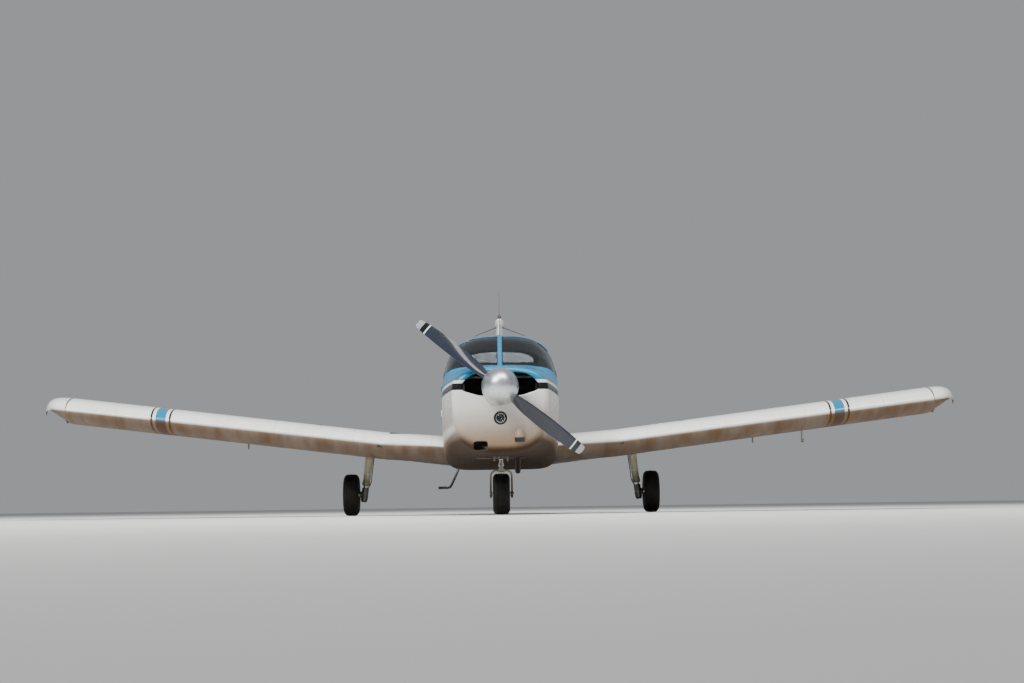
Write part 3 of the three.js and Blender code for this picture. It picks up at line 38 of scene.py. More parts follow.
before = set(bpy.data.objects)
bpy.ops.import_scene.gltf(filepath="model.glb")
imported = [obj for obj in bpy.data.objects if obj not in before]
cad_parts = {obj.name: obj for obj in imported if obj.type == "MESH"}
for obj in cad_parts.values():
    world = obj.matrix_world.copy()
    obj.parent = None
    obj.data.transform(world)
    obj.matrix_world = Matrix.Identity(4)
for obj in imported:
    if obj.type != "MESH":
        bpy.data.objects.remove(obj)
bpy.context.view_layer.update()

# Lengths are millimetres in (x, station, height), as drawn: a station is measured aft of the spinner's tip,
# x is towards the left wing, and height is above the ground. Objects are in metres.
MM = 0.001
LENGTH = 7160.0
MIDDLE = np.array([0, LENGTH / 2, 0])
SIDES = (("left", 1), ("right", -1))
TOUCH_GAP = 0.3
RUN_GAP = 6.0
SHARP_ANGLE = 32.0
WALL = 30.0
COWL_SKIN = 8.0
GLASS = 6.0
GLASS_INSET = 3.0

# Body sections: station, bottom, top, half_width, widest height, top power, bottom power
BODY_SECTIONS = np.array([
    (355, 640, 1290, 385, 1110, 2.5, 2.6),
    (430, 553, 1344, 443, 1100, 2.7, 3.0),
    (700, 545, 1368, 474, 1095, 2.9, 3.3),
    (1250, 522, 1400, 535, 1080, 3.1, 4.2),
    (1560, 490, 1424, 558, 1070, 3.2, 5.5),
    (1850, 464, 1602, 563, 1100, 3.05, 7.0),
    (2120, 452, 1732, 565, 1130, 3.0, 8.0),
    (2300, 447, 1776, 565, 1145, 3.0, 8.0),
    (2600, 445, 1792, 564, 1150, 3.0, 8.0),
    (3000, 452, 1766, 556, 1140, 2.9, 7.0),
    (3500, 474, 1656, 526, 1105, 2.7, 5.0),
    (3900, 503, 1552, 480, 1075, 2.5, 4.0),
    (4600, 572, 1402, 378, 1030, 2.3, 2.8),
    (5400, 658, 1265, 235, 985, 2.1, 2.4),
    (6100, 733, 1165, 108, 950, 2.0, 2.2),
    (6420, 768, 1130, 62, 940, 2.0, 2.2),
], float)
BOTTOM, TOP, HALF_WIDTH, WIDEST, TOP_POWER, BOTTOM_POWER = range(1, 7)
NOSE_FACE = 355.0
NOSE_ROUND = 75.0
COWL_BACK = 1249.7
CABIN_FRONT = 1256.3
CABIN_BACK = 3900.0
TAIL_FRONT = 3900.3
TAIL_BACK = 6420.0

# Side outlines, as station and height
WINDSHIELD = [(1500, 1451), (1590, 1425), (1750, 1380), (1962, 1318), (2195, 1640), (2180, 1900)]
FRONT_WINDOW = [(2065, 1345), (2790, 1365), (2780, 1650), (2295, 1656)]
REAR_WINDOW = [(2915, 1370), (3560, 1385), (3440, 1565), (2925, 1638)]
DOOR = [(2010, 905), (2845, 905), (2845, 1712), (2262, 1718), (2010, 1330)]
CENTRE_POST = 50.0
DOOR_GAP = 8.0

# Wing sections: x, leading edge station, incidence in degrees
WING_SECTIONS = np.array([
    (380, 1790, 4.1),
    (640, 1800, 4.05),
    (900, 1990, 3.9),
    (1160, 2180, 3.8),
    (4290, 2180, 2.2),
], float)
WING_STATION = 2180.0
WING_TRAILING = 3780.0
WING_ROOT_HEIGHT = 564.0
DIHEDRAL_SLOPE = 0.1188
WING_TIP_JOIN = 4290.0
WING_THICKNESS = 0.163
ROOT_THINNING = 1.5
WING_CAMBER = 0.022
FLAP = {"inner": 650.0, "outer": 2325.0, "hinge": 3445.0}
AILERON = {"inner": 2345.0, "outer": 4225.0, "hinge": 3485.0}
# Tip sections: distance out, cut off the front, cut off the back, drop, share of thickness kept
TIP_SECTIONS = np.array([
    (0, 0, 0, 0, 1.0),
    (90, 35, 4, 0, 0.82),
    (180, 130, 18, 6, 0.5),
    (250, 300, 50, 20, 0.22),
    (282, 500, 90, 45, 0.06),
], float)

FIN = {"foot": 1000.0, "top": 2210.0, "thin": 0.058, "thick": 0.082}
FIN_LEADING = (5095.0, 6245.0)
RUDDER_HINGE = (6448.0, 6622.0)
RUDDER_TRAILING = (6935.0, 7160.0)
RUDDER_BOTTOM = 800.0
RUDDER_TOP = 2262.0
FIN_CAP_TOP = 2290.0
STABILATOR = {
    "pivot": 6300.0, "height": 845.0, "span": 3050.0, "chord": 762.0, "inner": 125.0, "thickness": 0.1,
}

THRUST_STATION = 285.0
THRUST_HEIGHT = 1149.0
THRUST_TILT = math.radians(2.2)
SPINNER = {"radius": 168.5, "ahead": 285.0, "behind": 52.0}
BLADE_ANGLE = math.radians(38.4)
# Blade sections: radius, chord, thickness, pitch in degrees
BLADE_SECTIONS = np.array([
    (60, 92, 46, 50),
    (150, 112, 40, 50),
    (300, 136, 22, 36),
    (500, 140, 15, 25),
    (700, 126, 10, 19),
    (860, 104, 7, 16),
    (918, 82, 5.5, 15),
    (938, 44, 4, 14.5),
], float)

TYRE_RADIUS = 212.0
NOSE_TYRE_RADIUS = 192.0
TYRE_HALF_WIDTH = 79.0
MAIN_GEAR = {"station": 2950.0, "wheel": 1525.0, "leg_top": 1325.0, "leg_foot": 1392.0, "top": 700.0}
NOSE_GEAR = {"station": 1010.0, "rake": math.radians(6)}


def smooth_between(keys, values, at):
    """Values between the rows of a table, smooth and with no overshoot."""
    at = np.clip(np.asarray(at, float), keys[0], keys[-1])
    slopes = np.diff(values) / np.diff(keys)
    product = slopes[:-1] * slopes[1:]
    total = slopes[:-1] + slopes[1:]
    inner = np.where(product > 0, 2 * product / np.where(total == 0, 1, total), 0)
    tangents = np.concatenate([slopes[:1], inner, slopes[-1:]])
    i = np.clip(np.searchsorted(keys, at, side="right") - 1, 0, len(keys) - 2)
    width = keys[i + 1] - keys[i]
    t = (at - keys[i]) / width
    rise = values[i + 1] - values[i]
    bend = tangents[i] * (t - 2 * t**2 + t**3) + tangents[i + 1] * (t**3 - t**2)
    return values[i] + rise * (3 * t**2 - 2 * t**3) + width * bend


def body_at(column, station):
    """A column of the body's sections at a station, with the nose's front edge rounded."""
    station = np.asarray(station, float)
    value = smooth_between(BODY_SECTIONS[1:, 0], BODY_SECTIONS[1:, column], station)
    ahead = np.clip((BODY_SECTIONS[1, 0] - station) / NOSE_ROUND, 0, 1)
    turn = 1 - np.sqrt(np.clip(1 - ahead**2, 0, 1))
    return value + (BODY_SECTIONS[0, column] - BODY_SECTIONS[1, column]) * turn


def body_half(station, above):
    """The power and the rise of the body's upper half, or of its lower half where above is false."""
    widest = body_at(WIDEST, station)
    power = np.where(above, body_at(TOP_POWER, station), body_at(BOTTOM_POWER, station))
    rise = np.where(above, body_at(TOP, station) - widest, widest - body_at(BOTTOM, station))
    return power, rise


def body_ring(station, inset=0.0, steps=96):
    """A ring of points round the body, from the left side over the top."""
    angle = 2 * np.pi * np.arange(steps) / steps
    across, up = np.cos(angle), np.sin(angle)
    across[np.abs(across) < 1e-9] = 0
    up[np.abs(up) < 1e-9] = 0
    power, rise = body_half(station, up > 0)
    half = body_at(HALF_WIDTH, station) - inset
    x = np.sign(across) * np.abs(across) ** (2 / power) * half
    z = body_at(WIDEST, station) + np.sign(up) * np.abs(up) ** (2 / power) * (rise - inset)
    return np.stack([x, np.full(steps, float(station)), z], 1)


def body_level(points):
    """1 on the body's skin, less inside it and more outside."""
    x, station, z = np.asarray(points, float).T
    widest = body_at(WIDEST, station)
    power, rise = body_half(station, z > widest)
    return (np.abs(x) / body_at(HALF_WIDTH, station)) ** power + (np.abs(z - widest) / rise) ** power


def body_normals(points):
    """Outward directions of the body's form at points near its skin."""
    points = np.asarray(points, float)
    step = 0.5
    slopes = []
    for axis in range(3):
        move = np.zeros(3)
        move[axis] = step
        slopes.append(body_level(points + move) - body_level(points - move))
    normals = np.stack(slopes, 1)
    return normals / np.maximum(np.linalg.norm(normals, axis=1, keepdims=True), 1e-9)


def body_side(station, height, sign):
    """The point on the body's side at a station and height."""
    widest = body_at(WIDEST, station)
    power, rise = body_half(station, np.asarray(height) > widest)
    share = np.clip(1 - (np.abs(height - widest) / rise) ** power, 0, 1)
    half = body_at(HALF_WIDTH, station) * share ** (1 / power)
    return np.stack(np.broadcast_arrays(sign * half, station, height), -1).astype(float)


def body_roof(x, station):
    """The height of the body's top at a distance from its middle."""
    power = body_at(TOP_POWER, station)
    widest = body_at(WIDEST, station)
    share = (x / body_at(HALF_WIDTH, station)) ** power
    return widest + (body_at(TOP, station) - widest) * (1 - share) ** (1 / power)


class Shape:
    """Points and faces that are gathered into one mesh, each face with its material's place in a list."""

    def __init__(self):
        self.points = []
        self.faces = []
        self.marks = []
        self.count = 0

    def add(self, points, faces, mark=0):
        points = np.asarray(points, float).reshape(-1, 3)
        self.points.append(points)
        self.faces.extend([[i + self.count for i in face] for face in faces])
        self.marks.extend([mark] * len(faces))
        self.count += len(points)
        return self


def ring_faces(rows, count):
    """Quads between rings of points."""
    faces = []
    for r in range(rows - 1):
        for i in range(count):
            a = r * count + i
            b = r * count + (i + 1) % count
            faces.append((a, a + count, b + count, b))
    return faces


def outward(shape_points, faces):
    """The faces turned so that a closed surface encloses a positive volume."""
    points = np.asarray(shape_points, float)
    middle = points.mean(0)
    total = 0.0
    for face in faces:
        a = points[face[0]] - middle
        for i in range(1, len(face) - 1):
            total += np.dot(a, np.cross(points[face[i]] - middle, points[face[i + 1]] - middle))
    return faces if total > 0 else [tuple(reversed(face)) for face in faces]


def loft(shape, rings, mark=0):
    """A closed surface through rings with the same number of points."""
    count = len(rings[0])
    points = np.concatenate(rings)
    faces = ring_faces(len(rings), count)
    last = (len(rings) - 1) * count
    faces.append(tuple(range(count)))
    faces.append(tuple(last + count - 1 - i for i in range(count)))
    return shape.add(points, outward(points, faces), mark)


def closed_loft(shape, rings, mark=0):
    """A surface through rings that return to the first one, such as a tube with a thick wall."""
    count = len(rings[0])
    points = np.concatenate(rings)
    faces = ring_faces(len(rings), count)
    last = (len(rings) - 1) * count
    for i in range(count):
        j = (i + 1) % count
        faces.append((last + i, i, j, last + j))
    return shape.add(points, outward(points, faces), mark)


def points_at(x, station, height):
    """Points in a row, where each part is a number for all of them or a list."""
    return np.column_stack(np.broadcast_arrays(x, station, height))


def unit(vector):
    vector = np.asarray(vector, float)
    return vector / np.linalg.norm(vector)


def cross_axes(axis):
    """Two directions across an axis."""
    axis = unit(axis)
    helper = np.array([0.0, 0.0, 1.0]) if abs(axis[2]) < 0.9 else np.array([1.0, 0.0, 0.0])
    first = unit(np.cross(helper, axis))
    return first, np.cross(axis, first)


def turned(shape, profile, centre, axis, sides=48, mark=0, closed=False):
    """A profile of (radius, distance) turned about an axis. A closed profile returns to its first point."""
    axis = unit(axis)
    first, second = cross_axes(axis)
    centre = np.asarray(centre, float)
    angle = 2 * np.pi * np.arange(sides) / sides
    round_points = np.cos(angle)[:, None] * first + np.sin(angle)[:, None] * second
    rings = [centre + axis * along + round_points * max(radius, 0.02) for radius, along in profile]
    return closed_loft(shape, rings, mark) if closed else loft(shape, rings, mark)


def rod(shape, start, end, radius, end_radius=None, sides=24, mark=0, edge=0.0):
    """A round bar, with its end edges rounded over where edge is given."""
    start, end = np.asarray(start, float), np.asarray(end, float)
    length = np.linalg.norm(end - start)
    end_radius = radius if end_radius is None else end_radius
    profile = [(radius, 0), (end_radius, length)]
    if edge > 0:
        profile = [(radius - edge, 0), (radius - edge * 0.3, edge * 0.3), (radius, edge)]
        profile += [(end_radius, length - edge), (end_radius - edge * 0.3, length - edge * 0.3)]
        profile += [(end_radius - edge, length)]
    return turned(shape, profile, start, end - start, sides, mark)


def curve_points(points, steps):
    """A smooth line through points, as evenly spaced points."""
    points = np.asarray(points, float)
    lengths = np.concatenate([[0], np.cumsum(np.linalg.norm(np.diff(points, axis=0), axis=1))])
    padded = np.vstack([2 * points[0] - points[1], points, 2 * points[-1] - points[-2]])
    at = np.linspace(0, lengths[-1], steps + 1)
    made = []
    for value in at:
        i = min(np.searchsorted(lengths, value, side="right") - 1, len(points) - 2)
        t = (value - lengths[i]) / (lengths[i + 1] - lengths[i])
        a, b, c, d = padded[i : i + 4]
        curve = (2 * a - 5 * b + 4 * c - d) * t**2 + (3 * b - a - 3 * c + d) * t**3
        made.append(0.5 * (2 * b + (c - a) * t + curve))
    return np.array(made)


def sweep_rings(path, section, closed=False, ups=None):
    """Rings of a section of (across, up) along a path. ups gives the up direction at each point."""
    path = np.asarray(path, float)
    if closed:
        tangents = np.roll(path, -1, 0) - np.roll(path, 1, 0)
    else:
        tangents = np.gradient(path, axis=0)
    tangents /= np.maximum(np.linalg.norm(tangents, axis=1, keepdims=True), 1e-9)
    up = cross_axes(tangents[0])[1] if ups is None else None
    rings = []
    for i, tangent in enumerate(tangents):
        if ups is None:
            up = unit(up - tangent * np.dot(up, tangent))
            lift = up
        else:
            lift = unit(ups[i] - tangent * np.dot(ups[i], tangent))
        side = np.cross(tangent, lift)
        rings.append(np.array([path[i] + side * across + lift * height for across, height in section]))
    return rings


def sweep(shape, path, section, mark=0, closed=False, ups=None):
    """A section carried along a path."""
    rings = sweep_rings(path, section, closed, ups)
    return closed_loft(shape, rings, mark) if closed else loft(shape, rings, mark)


def circle(radius, sides=12, flat=1.0):
    """A round section, or an oval one where flat is under 1."""
    angle = 2 * np.pi * np.arange(sides) / sides
    return [(radius * math.cos(a), radius * flat * math.sin(a)) for a in angle]


def tube(shape, points, radius, steps=24, sides=14, mark=0):
    return sweep(shape, curve_points(points, steps), circle(radius, sides), mark)


def rounded_box(shape, low, high, radius=4.0, segments=3, mark=0, turn=None):
    """A box between two corners with rounded edges. turn is a matrix about the box's middle."""
    low, high = np.asarray(low, float), np.asarray(high, float)
    low, high = np.minimum(low, high), np.maximum(low, high)
    mesh = bmesh.new()
    bmesh.ops.create_cube(mesh, size=1)
    bmesh.ops.scale(mesh, vec=Vector(high - low), verts=mesh.verts)
    limit = min(radius, 0.49 * float((high - low).min()))
    bmesh.ops.bevel(mesh, geom=mesh.edges[:], offset=limit, segments=segments, affect="EDGES", profile=0.5)
    if turn is not None:
        bmesh.ops.transform(mesh, matrix=turn, verts=mesh.verts)
    points = np.array([v.co for v in mesh.verts]) + (low + high) / 2
    faces = [[v.index for v in face.verts] for face in mesh.faces]
    mesh.free()
    return shape.add(points, faces, mark)


def rounded_outline(corners, radius, steps=8):
    """An outline with its corners rounded by curves."""
    corners = np.asarray(corners, float)
    made = []
    for i, corner in enumerate(corners):
        ends = []
        for other in (corners[i - 1], corners[(i + 1) % len(corners)]):
            reach = np.linalg.norm(other - corner)
            ends.append(corner + (other - corner) * min(radius / reach, 0.45))
        for k in range(steps + 1):
            t = k / steps
            made.append((1 - t) ** 2 * ends[0] + 2 * t * (1 - t) * corner + t**2 * ends[1])
    return np.array(made)


def grown(corners, distance):
    """An outline with each edge moved outwards."""
    corners = np.asarray(corners, float)
    after = np.roll(corners, -1, 0)
    side = np.sign(np.sum(corners[:, 0] * after[:, 1] - after[:, 0] * corners[:, 1]))
    edges = after - corners
    edges /= np.maximum(np.linalg.norm(edges, axis=1, keepdims=True), 1e-9)
    normals = np.stack([edges[:, 1], -edges[:, 0]], 1) * side
    bisector = normals + np.roll(normals, 1, 0)
    bisector /= np.linalg.norm(bisector, axis=1, keepdims=True)
    return corners + bisector * (distance / np.sum(bisector * normals, 1))[:, None]


def side_prism(outline, x_range):
    """A closed prism through an outline of station and height, from one x to another."""
    outline = np.asarray(outline, float)
    return loft(Shape(), [points_at(x, *outline.T) for x in x_range])


def block(low, high):
    return rounded_box(Shape(), low, high, radius=0.01, segments=1)


def to_metres(points):
    return (np.asarray(points, float) - MIDDLE) * MM


def to_millimetres(points):
    return points / MM + MIDDLE


def in_scene(obj):
    bpy.context.scene.collection.objects.link(obj)
    return obj


def object_from(name, shape, materials=()):
    """A new object from a shape, in metres, with its place in its mesh."""
    mesh = bpy.data.meshes.new(name)
    mesh.from_pydata(to_metres(np.concatenate(shape.points)).tolist(), [], shape.faces)
    for material in materials:
        mesh.materials.append(material)
    if materials:
        mesh.polygons.foreach_set("material_index", np.array(shape.marks, np.int32))
    mesh.update()
    return in_scene(bpy.data.objects.new(name, mesh))


def copy_of(obj, name):
    made = obj.copy()
    made.data = obj.data.copy()
    made.name = made.data.name = name
    return in_scene(made)


def drop(obj):
    mesh = obj.data
    bpy.data.objects.remove(obj)
    if mesh.users == 0:
        bpy.data.meshes.remove(mesh)


def apply_modifiers(obj):
    """The object's mesh becomes its evaluated one, and its modifiers go."""
    depsgraph = bpy.context.evaluated_depsgraph_get()
    made = bpy.data.meshes.new_from_object(obj.evaluated_get(depsgraph), depsgraph=depsgraph)
    old = obj.data
    obj.modifiers.clear()
    obj.data = made
    made.name = obj.name
    bpy.data.meshes.remove(old)
    return obj


def combine(obj, tools, operation):
    """Cuts, joins or crosses an object with others, one after another, and drops them."""
    for tool in tools:
        modifier = obj.modifiers.new("Carve", "BOOLEAN")
        modifier.object = tool
        modifier.operation = operation
        modifier.solver = "EXACT"
        modifier.material_mode = "INDEX"
    apply_modifiers(obj)
    for tool in tools:
        drop(tool)
    return obj


def carve(obj, cutters, operation="DIFFERENCE"):
    """Cuts an object with closed shapes, or keeps what lies inside them."""
    return combine(obj, [object_from("cutter", cutter) for cutter in cutters], operation)


def shade(obj, sharp=SHARP_ANGLE):
    """Smooth shading with hard edges where faces meet at more than an angle in degrees."""
    obj.data.shade_smooth()
    obj.data.set_sharp_from_angle(angle=math.radians(sharp))
    return obj


def mesh_points(mesh):
    """A mesh's points in millimetres of (x, station, height)."""
    return to_millimetres(values_of(mesh.vertices, "co", 3))


def values_of(items, name, width=1, kind=float):
    """One property of all a mesh's faces, corners or points, a row for each."""
    values = np.empty(len(items) * width, kind)
    items.foreach_get(name, values)
    return values.reshape(-1, width) if width > 1 else values


def skin_faces(mesh):
    """Which faces lie on the body's outer skin, with each face's middle."""
    middles = to_millimetres(values_of(mesh.polygons, "center", 3))
    facing = np.sum(values_of(mesh.polygons, "normal", 3) * body_normals(middles), 1)
    return (facing > 0.9) & (body_level(middles) > 0.93) & (middles[:, 1] > NOSE_FACE + 2), middles


def exact_normals(obj):
    """Shades the outer skin with the body form's own directions, so that its gloss shows no cut edges."""
    shade(obj)
    mesh = obj.data
    outside, _ = skin_faces(mesh)
    starts = values_of(mesh.polygons, "loop_start", kind=np.int32)
    totals = values_of(mesh.polygons, "loop_total", kind=np.int32)
    corners = values_of(mesh.loops, "vertex_index", kind=np.int32)
    normals = values_of(mesh.corner_normals, "vector", 3)
    on_skin = np.zeros(len(mesh.loops), bool)
    for start, total in zip(starts[outside], totals[outside]):
        on_skin[start : start + total] = True
    normals[on_skin] = body_normals(mesh_points(mesh)[corners[on_skin]])
    mesh.normals_split_custom_set(normals.tolist())
    return obj


def mark_inside(obj, material_index):
    """Gives the faces that look into the cabin their own material."""
    mesh = obj.data
    outside, middles = skin_faces(mesh)
    inner = (body_level(middles) < 0.9) & ~outside
    index = values_of(mesh.polygons, "material_index", kind=np.int32)
    index[inner] = material_index
    mesh.polygons.foreach_set("material_index", index)
    return obj


def settle(obj, body, nodes=()):
    """Makes a finished object ride on its body in place of the nodes that it stands for."""
    if nodes:
        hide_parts(*nodes)
    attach(obj, body)
    return obj


def piece(name, shape, materials, body, nodes=(), sharp=SHARP_ANGLE):
    """A finished object from a shape."""
    return settle(shade(object_from(name, shape, materials), sharp), body, nodes)


# Finishes
def srgb(red, green, blue):
    """A screen colour of 0 to 255 as a linear one."""
    made = []
    for value in (red, green, blue):
        share = value / 255
        made.append(share / 12.92 if share <= 0.04045 else ((share + 0.055) / 1.055) ** 2.4)
    return (*made, 1.0)


class Graph:
    """Adds nodes to a material or group, and sets or links their inputs."""

    def __init__(self, tree):
        self.tree = tree

    def node(self, kind, inputs=(), **settings):
        node = self.tree.nodes.new(kind)
        for name, value in settings.items():
            setattr(node, name, value)
        self.fill(node, inputs)
        return node

    def add(self, kind, inputs=(), **settings):
        return self.node("ShaderNode" + kind, inputs, **settings)

    def fill(self, node, inputs):
        for name, value in dict(inputs).items():
            socket = node.inputs[name]
            if isinstance(value, bpy.types.NodeSocket):
                self.tree.links.new(value, socket)
            else:
                socket.default_value = value

    def use(self, group_name, inputs):
        return self.add("Group", inputs, node_tree=bpy.data.node_groups[group_name]).outputs

    def math(self, operation, *values):
        return self.add("Math", enumerate(values), operation=operation).outputs[0]

    def product(self, *values):
        made = values[0]
        for value in values[1:]:
            made = self.math("MULTIPLY", made, value)
        return made

    def rise(self, value, low, high, to_low=0.0, to_high=1.0):
        """Goes smoothly from one value to another as its input passes between two limits."""
        inputs = {"Value": value, "From Min": low, "From Max": high, "To Min": to_low, "To Max": to_high}
        return self.add("MapRange", inputs, interpolation_type="SMOOTHSTEP").outputs[0]

    def between(self, value, low, high, soft=0.0006):
        """1 between two limits and 0 outside them."""
        rising = self.rise(value, low - soft, low + soft)
        return self.product(rising, self.rise(value, high + soft, high - soft))

    def mix(self, factor, first, second):
        return self.add("Mix", {0: factor, 6: first, 7: second}, data_type="RGBA").outputs[2]

    def noise(self, vector, scale, detail=3.0, rough=0.5):
        inputs = {"Vector": vector, "Scale": scale, "Detail": detail, "Roughness": rough}
        return self.add("TexNoise", inputs).outputs[0]

    def stretched(self, vector, scale):
        return self.add("Mapping", {"Vector": vector, "Scale": scale}).outputs[0]

    def place(self):
        """The point on the piece."""
        return self.add("TexCoord").outputs["Object"]

    def parts(self, vector):
        return self.add("SeparateXYZ", {0: vector}).outputs

    def facing(self):
        """The three parts of the direction that the surface faces."""
        return self.parts(self.add("TexCoord").outputs["Normal"])

    def bump(self, height, distance):
        return self.add("Bump", {"Height": height, "Distance": distance, "Strength": 1.0}).outputs[0]


def new_group(name, inputs, outputs):
    """A shader group with its graph, its entry's sockets and its exit."""
    tree = bpy.data.node_groups.new(name, "ShaderNodeTree")
    for side, labels in (("INPUT", inputs), ("OUTPUT", outputs)):
        for label in labels:
            kind = "NodeSocketVector" if label == "Vector" else "NodeSocketFloat"
            tree.interface.new_socket(name=label, in_out=side, socket_type=kind)
    return Graph(tree), tree.nodes.new("NodeGroupInput").outputs, tree.nodes.new("NodeGroupOutput")


def make_shader_groups():
    """The effects that more than one finish uses."""
    graph, entry, leave = new_group("Paint wear", ("Vector", "Grime"), ("Grime", "Roughness", "Height"))
    broad = graph.noise(entry["Vector"], 1.7, 5.0, 0.6)
    streaks = graph.noise(graph.stretched(entry["Vector"], (14.0, 1.6, 9.0)), 1.0, 4.0, 0.6)
    specks = graph.noise(entry["Vector"], 160.0, 2.0)
    ripple = graph.noise(entry["Vector"], 3.2, 1.0)
    blend = graph.math("ADD", graph.product(broad, 0.55), graph.product(streaks, 0.45))
    mask = graph.product(graph.rise(blend, 0.42, 0.68), entry["Grime"])
    graph.fill(leave, {
        "Grime": graph.math("ADD", mask, graph.product(graph.rise(specks, 0.68, 0.75), 0.05)),
        "Roughness": graph.math("MULTIPLY_ADD", blend, 0.16, graph.product(mask, 0.25)),
        "Height": graph.math("ADD", ripple, graph.product(specks, 0.015)),
    })

    graph, entry, leave = new_group("Seam lines", ("Along", "Spacing", "Offset", "Width"), ("Line",))
    shifted = graph.math("ADD", entry["Along"], entry["Offset"])
    distance = graph.math("PINGPONG", shifted, graph.product(entry["Spacing"], 0.5))
    graph.fill(leave, {"Line": graph.math("LESS_THAN", distance, entry["Width"])})

    graph, entry, leave = new_group("Brushed metal", ("Vector", "Scale"), ("Roughness", "Height"))
    fine = graph.noise(entry["Vector"], entry["Scale"], 4.0, 0.7)
    cloud = graph.noise(entry["Vector"], 5.0, 3.0)
    rough = graph.math("MULTIPLY_ADD", fine, 0.14, graph.product(cloud, 0.22))
    graph.fill(leave, {"Roughness": rough, "Height": fine})

    graph, entry, leave = new_group("Woven cloth", ("Vector", "Scale"), ("Tint", "Height"))
    waves = []
    for direction in ("X", "Y"):
        inputs = {"Vector": entry["Vector"], "Scale": entry["Scale"], "Distortion": 0.4, "Detail": 1.0}
        waves.append(graph.add("TexWave", inputs, bands_direction=direction).outputs[1])
    weave = graph.math("MAXIMUM", *waves)
    fuzz = graph.noise(entry["Vector"], 240.0, 2.0)
    graph.fill(leave, {
        "Tint": graph.math("MULTIPLY_ADD", weave, 0.35, graph.product(fuzz, 0.5)),
        "Height": graph.math("MULTIPLY_ADD", weave, 0.7, graph.product(fuzz, 0.3)),
    })


def colour_of(name):
    return (*getattr(bpy.context.scene.aircraft_paint, name), 1.0)


DIRT = srgb(62, 52, 38)
OIL = srgb(34, 27, 18)


def banded(graph, blue, black):
    """White paint with the blue and the dark stripe over it where their masks are 1."""
    colour = graph.mix(blue, colour_of("white"), colour_of("blue"))
    return graph.mix(black, colour, colour_of("stripe"))


def finish_paint(graph, shader, colour, grime, extra_rough, clear=0.5, dull=0.0):
    """Ends a paint: grime over its colour, with the gloss and ripples of painted sheet metal.

    Where dull is 1, the coat goes and the paint is rougher; the body and wing paints pass their
    downward-facing undersides, where shade is painted, and the wing's walkway.
    """
    wear = graph.use("Paint wear", {"Vector": graph.place(), "Grime": grime})
    rough = graph.math("ADD", wear["Roughness"], extra_rough)
    graph.fill(shader, {
        "Base Color": graph.mix(wear["Grime"], colour, DIRT),
        "Roughness": graph.math("MULTIPLY_ADD", dull, 0.5, rough),
        "Coat Weight": graph.rise(dull, 0.0, 1.0, clear, 0.0),
        "Coat Roughness": 0.06,
        "Specular IOR Level": 0.25,
        "Normal": graph.bump(wear["Height"], 0.0003),
    })


def body_paint(graph, shader):
    place = graph.place()
    _, y, z = graph.parts(place)
    line = graph.rise(y, -3.2, 2.9, 1.158, 0.985)
    width = graph.rise(y, -2.4, 2.4, 0.030, 0.016)
    level = graph.math("DIVIDE", graph.math("SUBTRACT", z, line), width)
    colour = banded(graph, graph.rise(level, 1.93, 1.97), graph.between(level, -1.0, 1.0, 0.02))
    seam = graph.use("Seam lines", {"Along": y, "Spacing": 0.65, "Offset": 0.1, "Width": 0.0011})["Line"]
    colour = graph.mix(graph.product(seam, 0.75), colour, DIRT)
    bowl = graph.between(y, -3.1255, -3.1225, 0.0003)
    colour = graph.mix(graph.product(bowl, 0.8), colour, OIL)
    # Painted shade: the lower body turns tan, more towards the bottom and the front, for shade and the
    # ground's warm reflected light.
    low = graph.product(graph.rise(z, 1.16, 0.58), graph.rise(y, 1.8, -0.6))
    colour = graph.mix(graph.product(low, 0.88), colour, srgb(122, 80, 24))
    # Painted shade: faces turned down on the forward lower body are painted dark brown for the shade beneath
    # the aircraft; this mask also dulls the gloss there.
    below = graph.rise(graph.facing()[2], 0.05, -0.60)
    under = graph.product(below, graph.rise(y, 2.4, -0.2), graph.rise(z, 0.80, 0.66))
    colour = graph.mix(graph.product(under, 0.92), colour, srgb(46, 30, 14))
    streaks = graph.noise(graph.stretched(place, (26.0, 1.5, 14.0)), 1.0, 4.0, 0.65)
    oil = graph.product(graph.rise(z, 0.66, 0.50), graph.rise(streaks, 0.30, 0.62), graph.rise(y, 1.4, -0.6))
    colour = graph.mix(graph.product(oil, 0.55), colour, OIL)
    finish_paint(graph, shader, colour, 0.10, 0.20, 0.3, under)


def gritty(graph, wear):
    """The grain of a non-slip coating, and its colour with worn patches."""
    place = graph.place()
    grit = graph.noise(place, 900.0, 2.0)
    worn = graph.rise(graph.noise(place, 7.0, 5.0, 0.65), 0.52, 0.72, 0.0, wear)
    colour = graph.mix(grit, srgb(20, 20, 21), srgb(44, 44, 45))
    return grit, graph.mix(worn, colour, srgb(96, 92, 84))


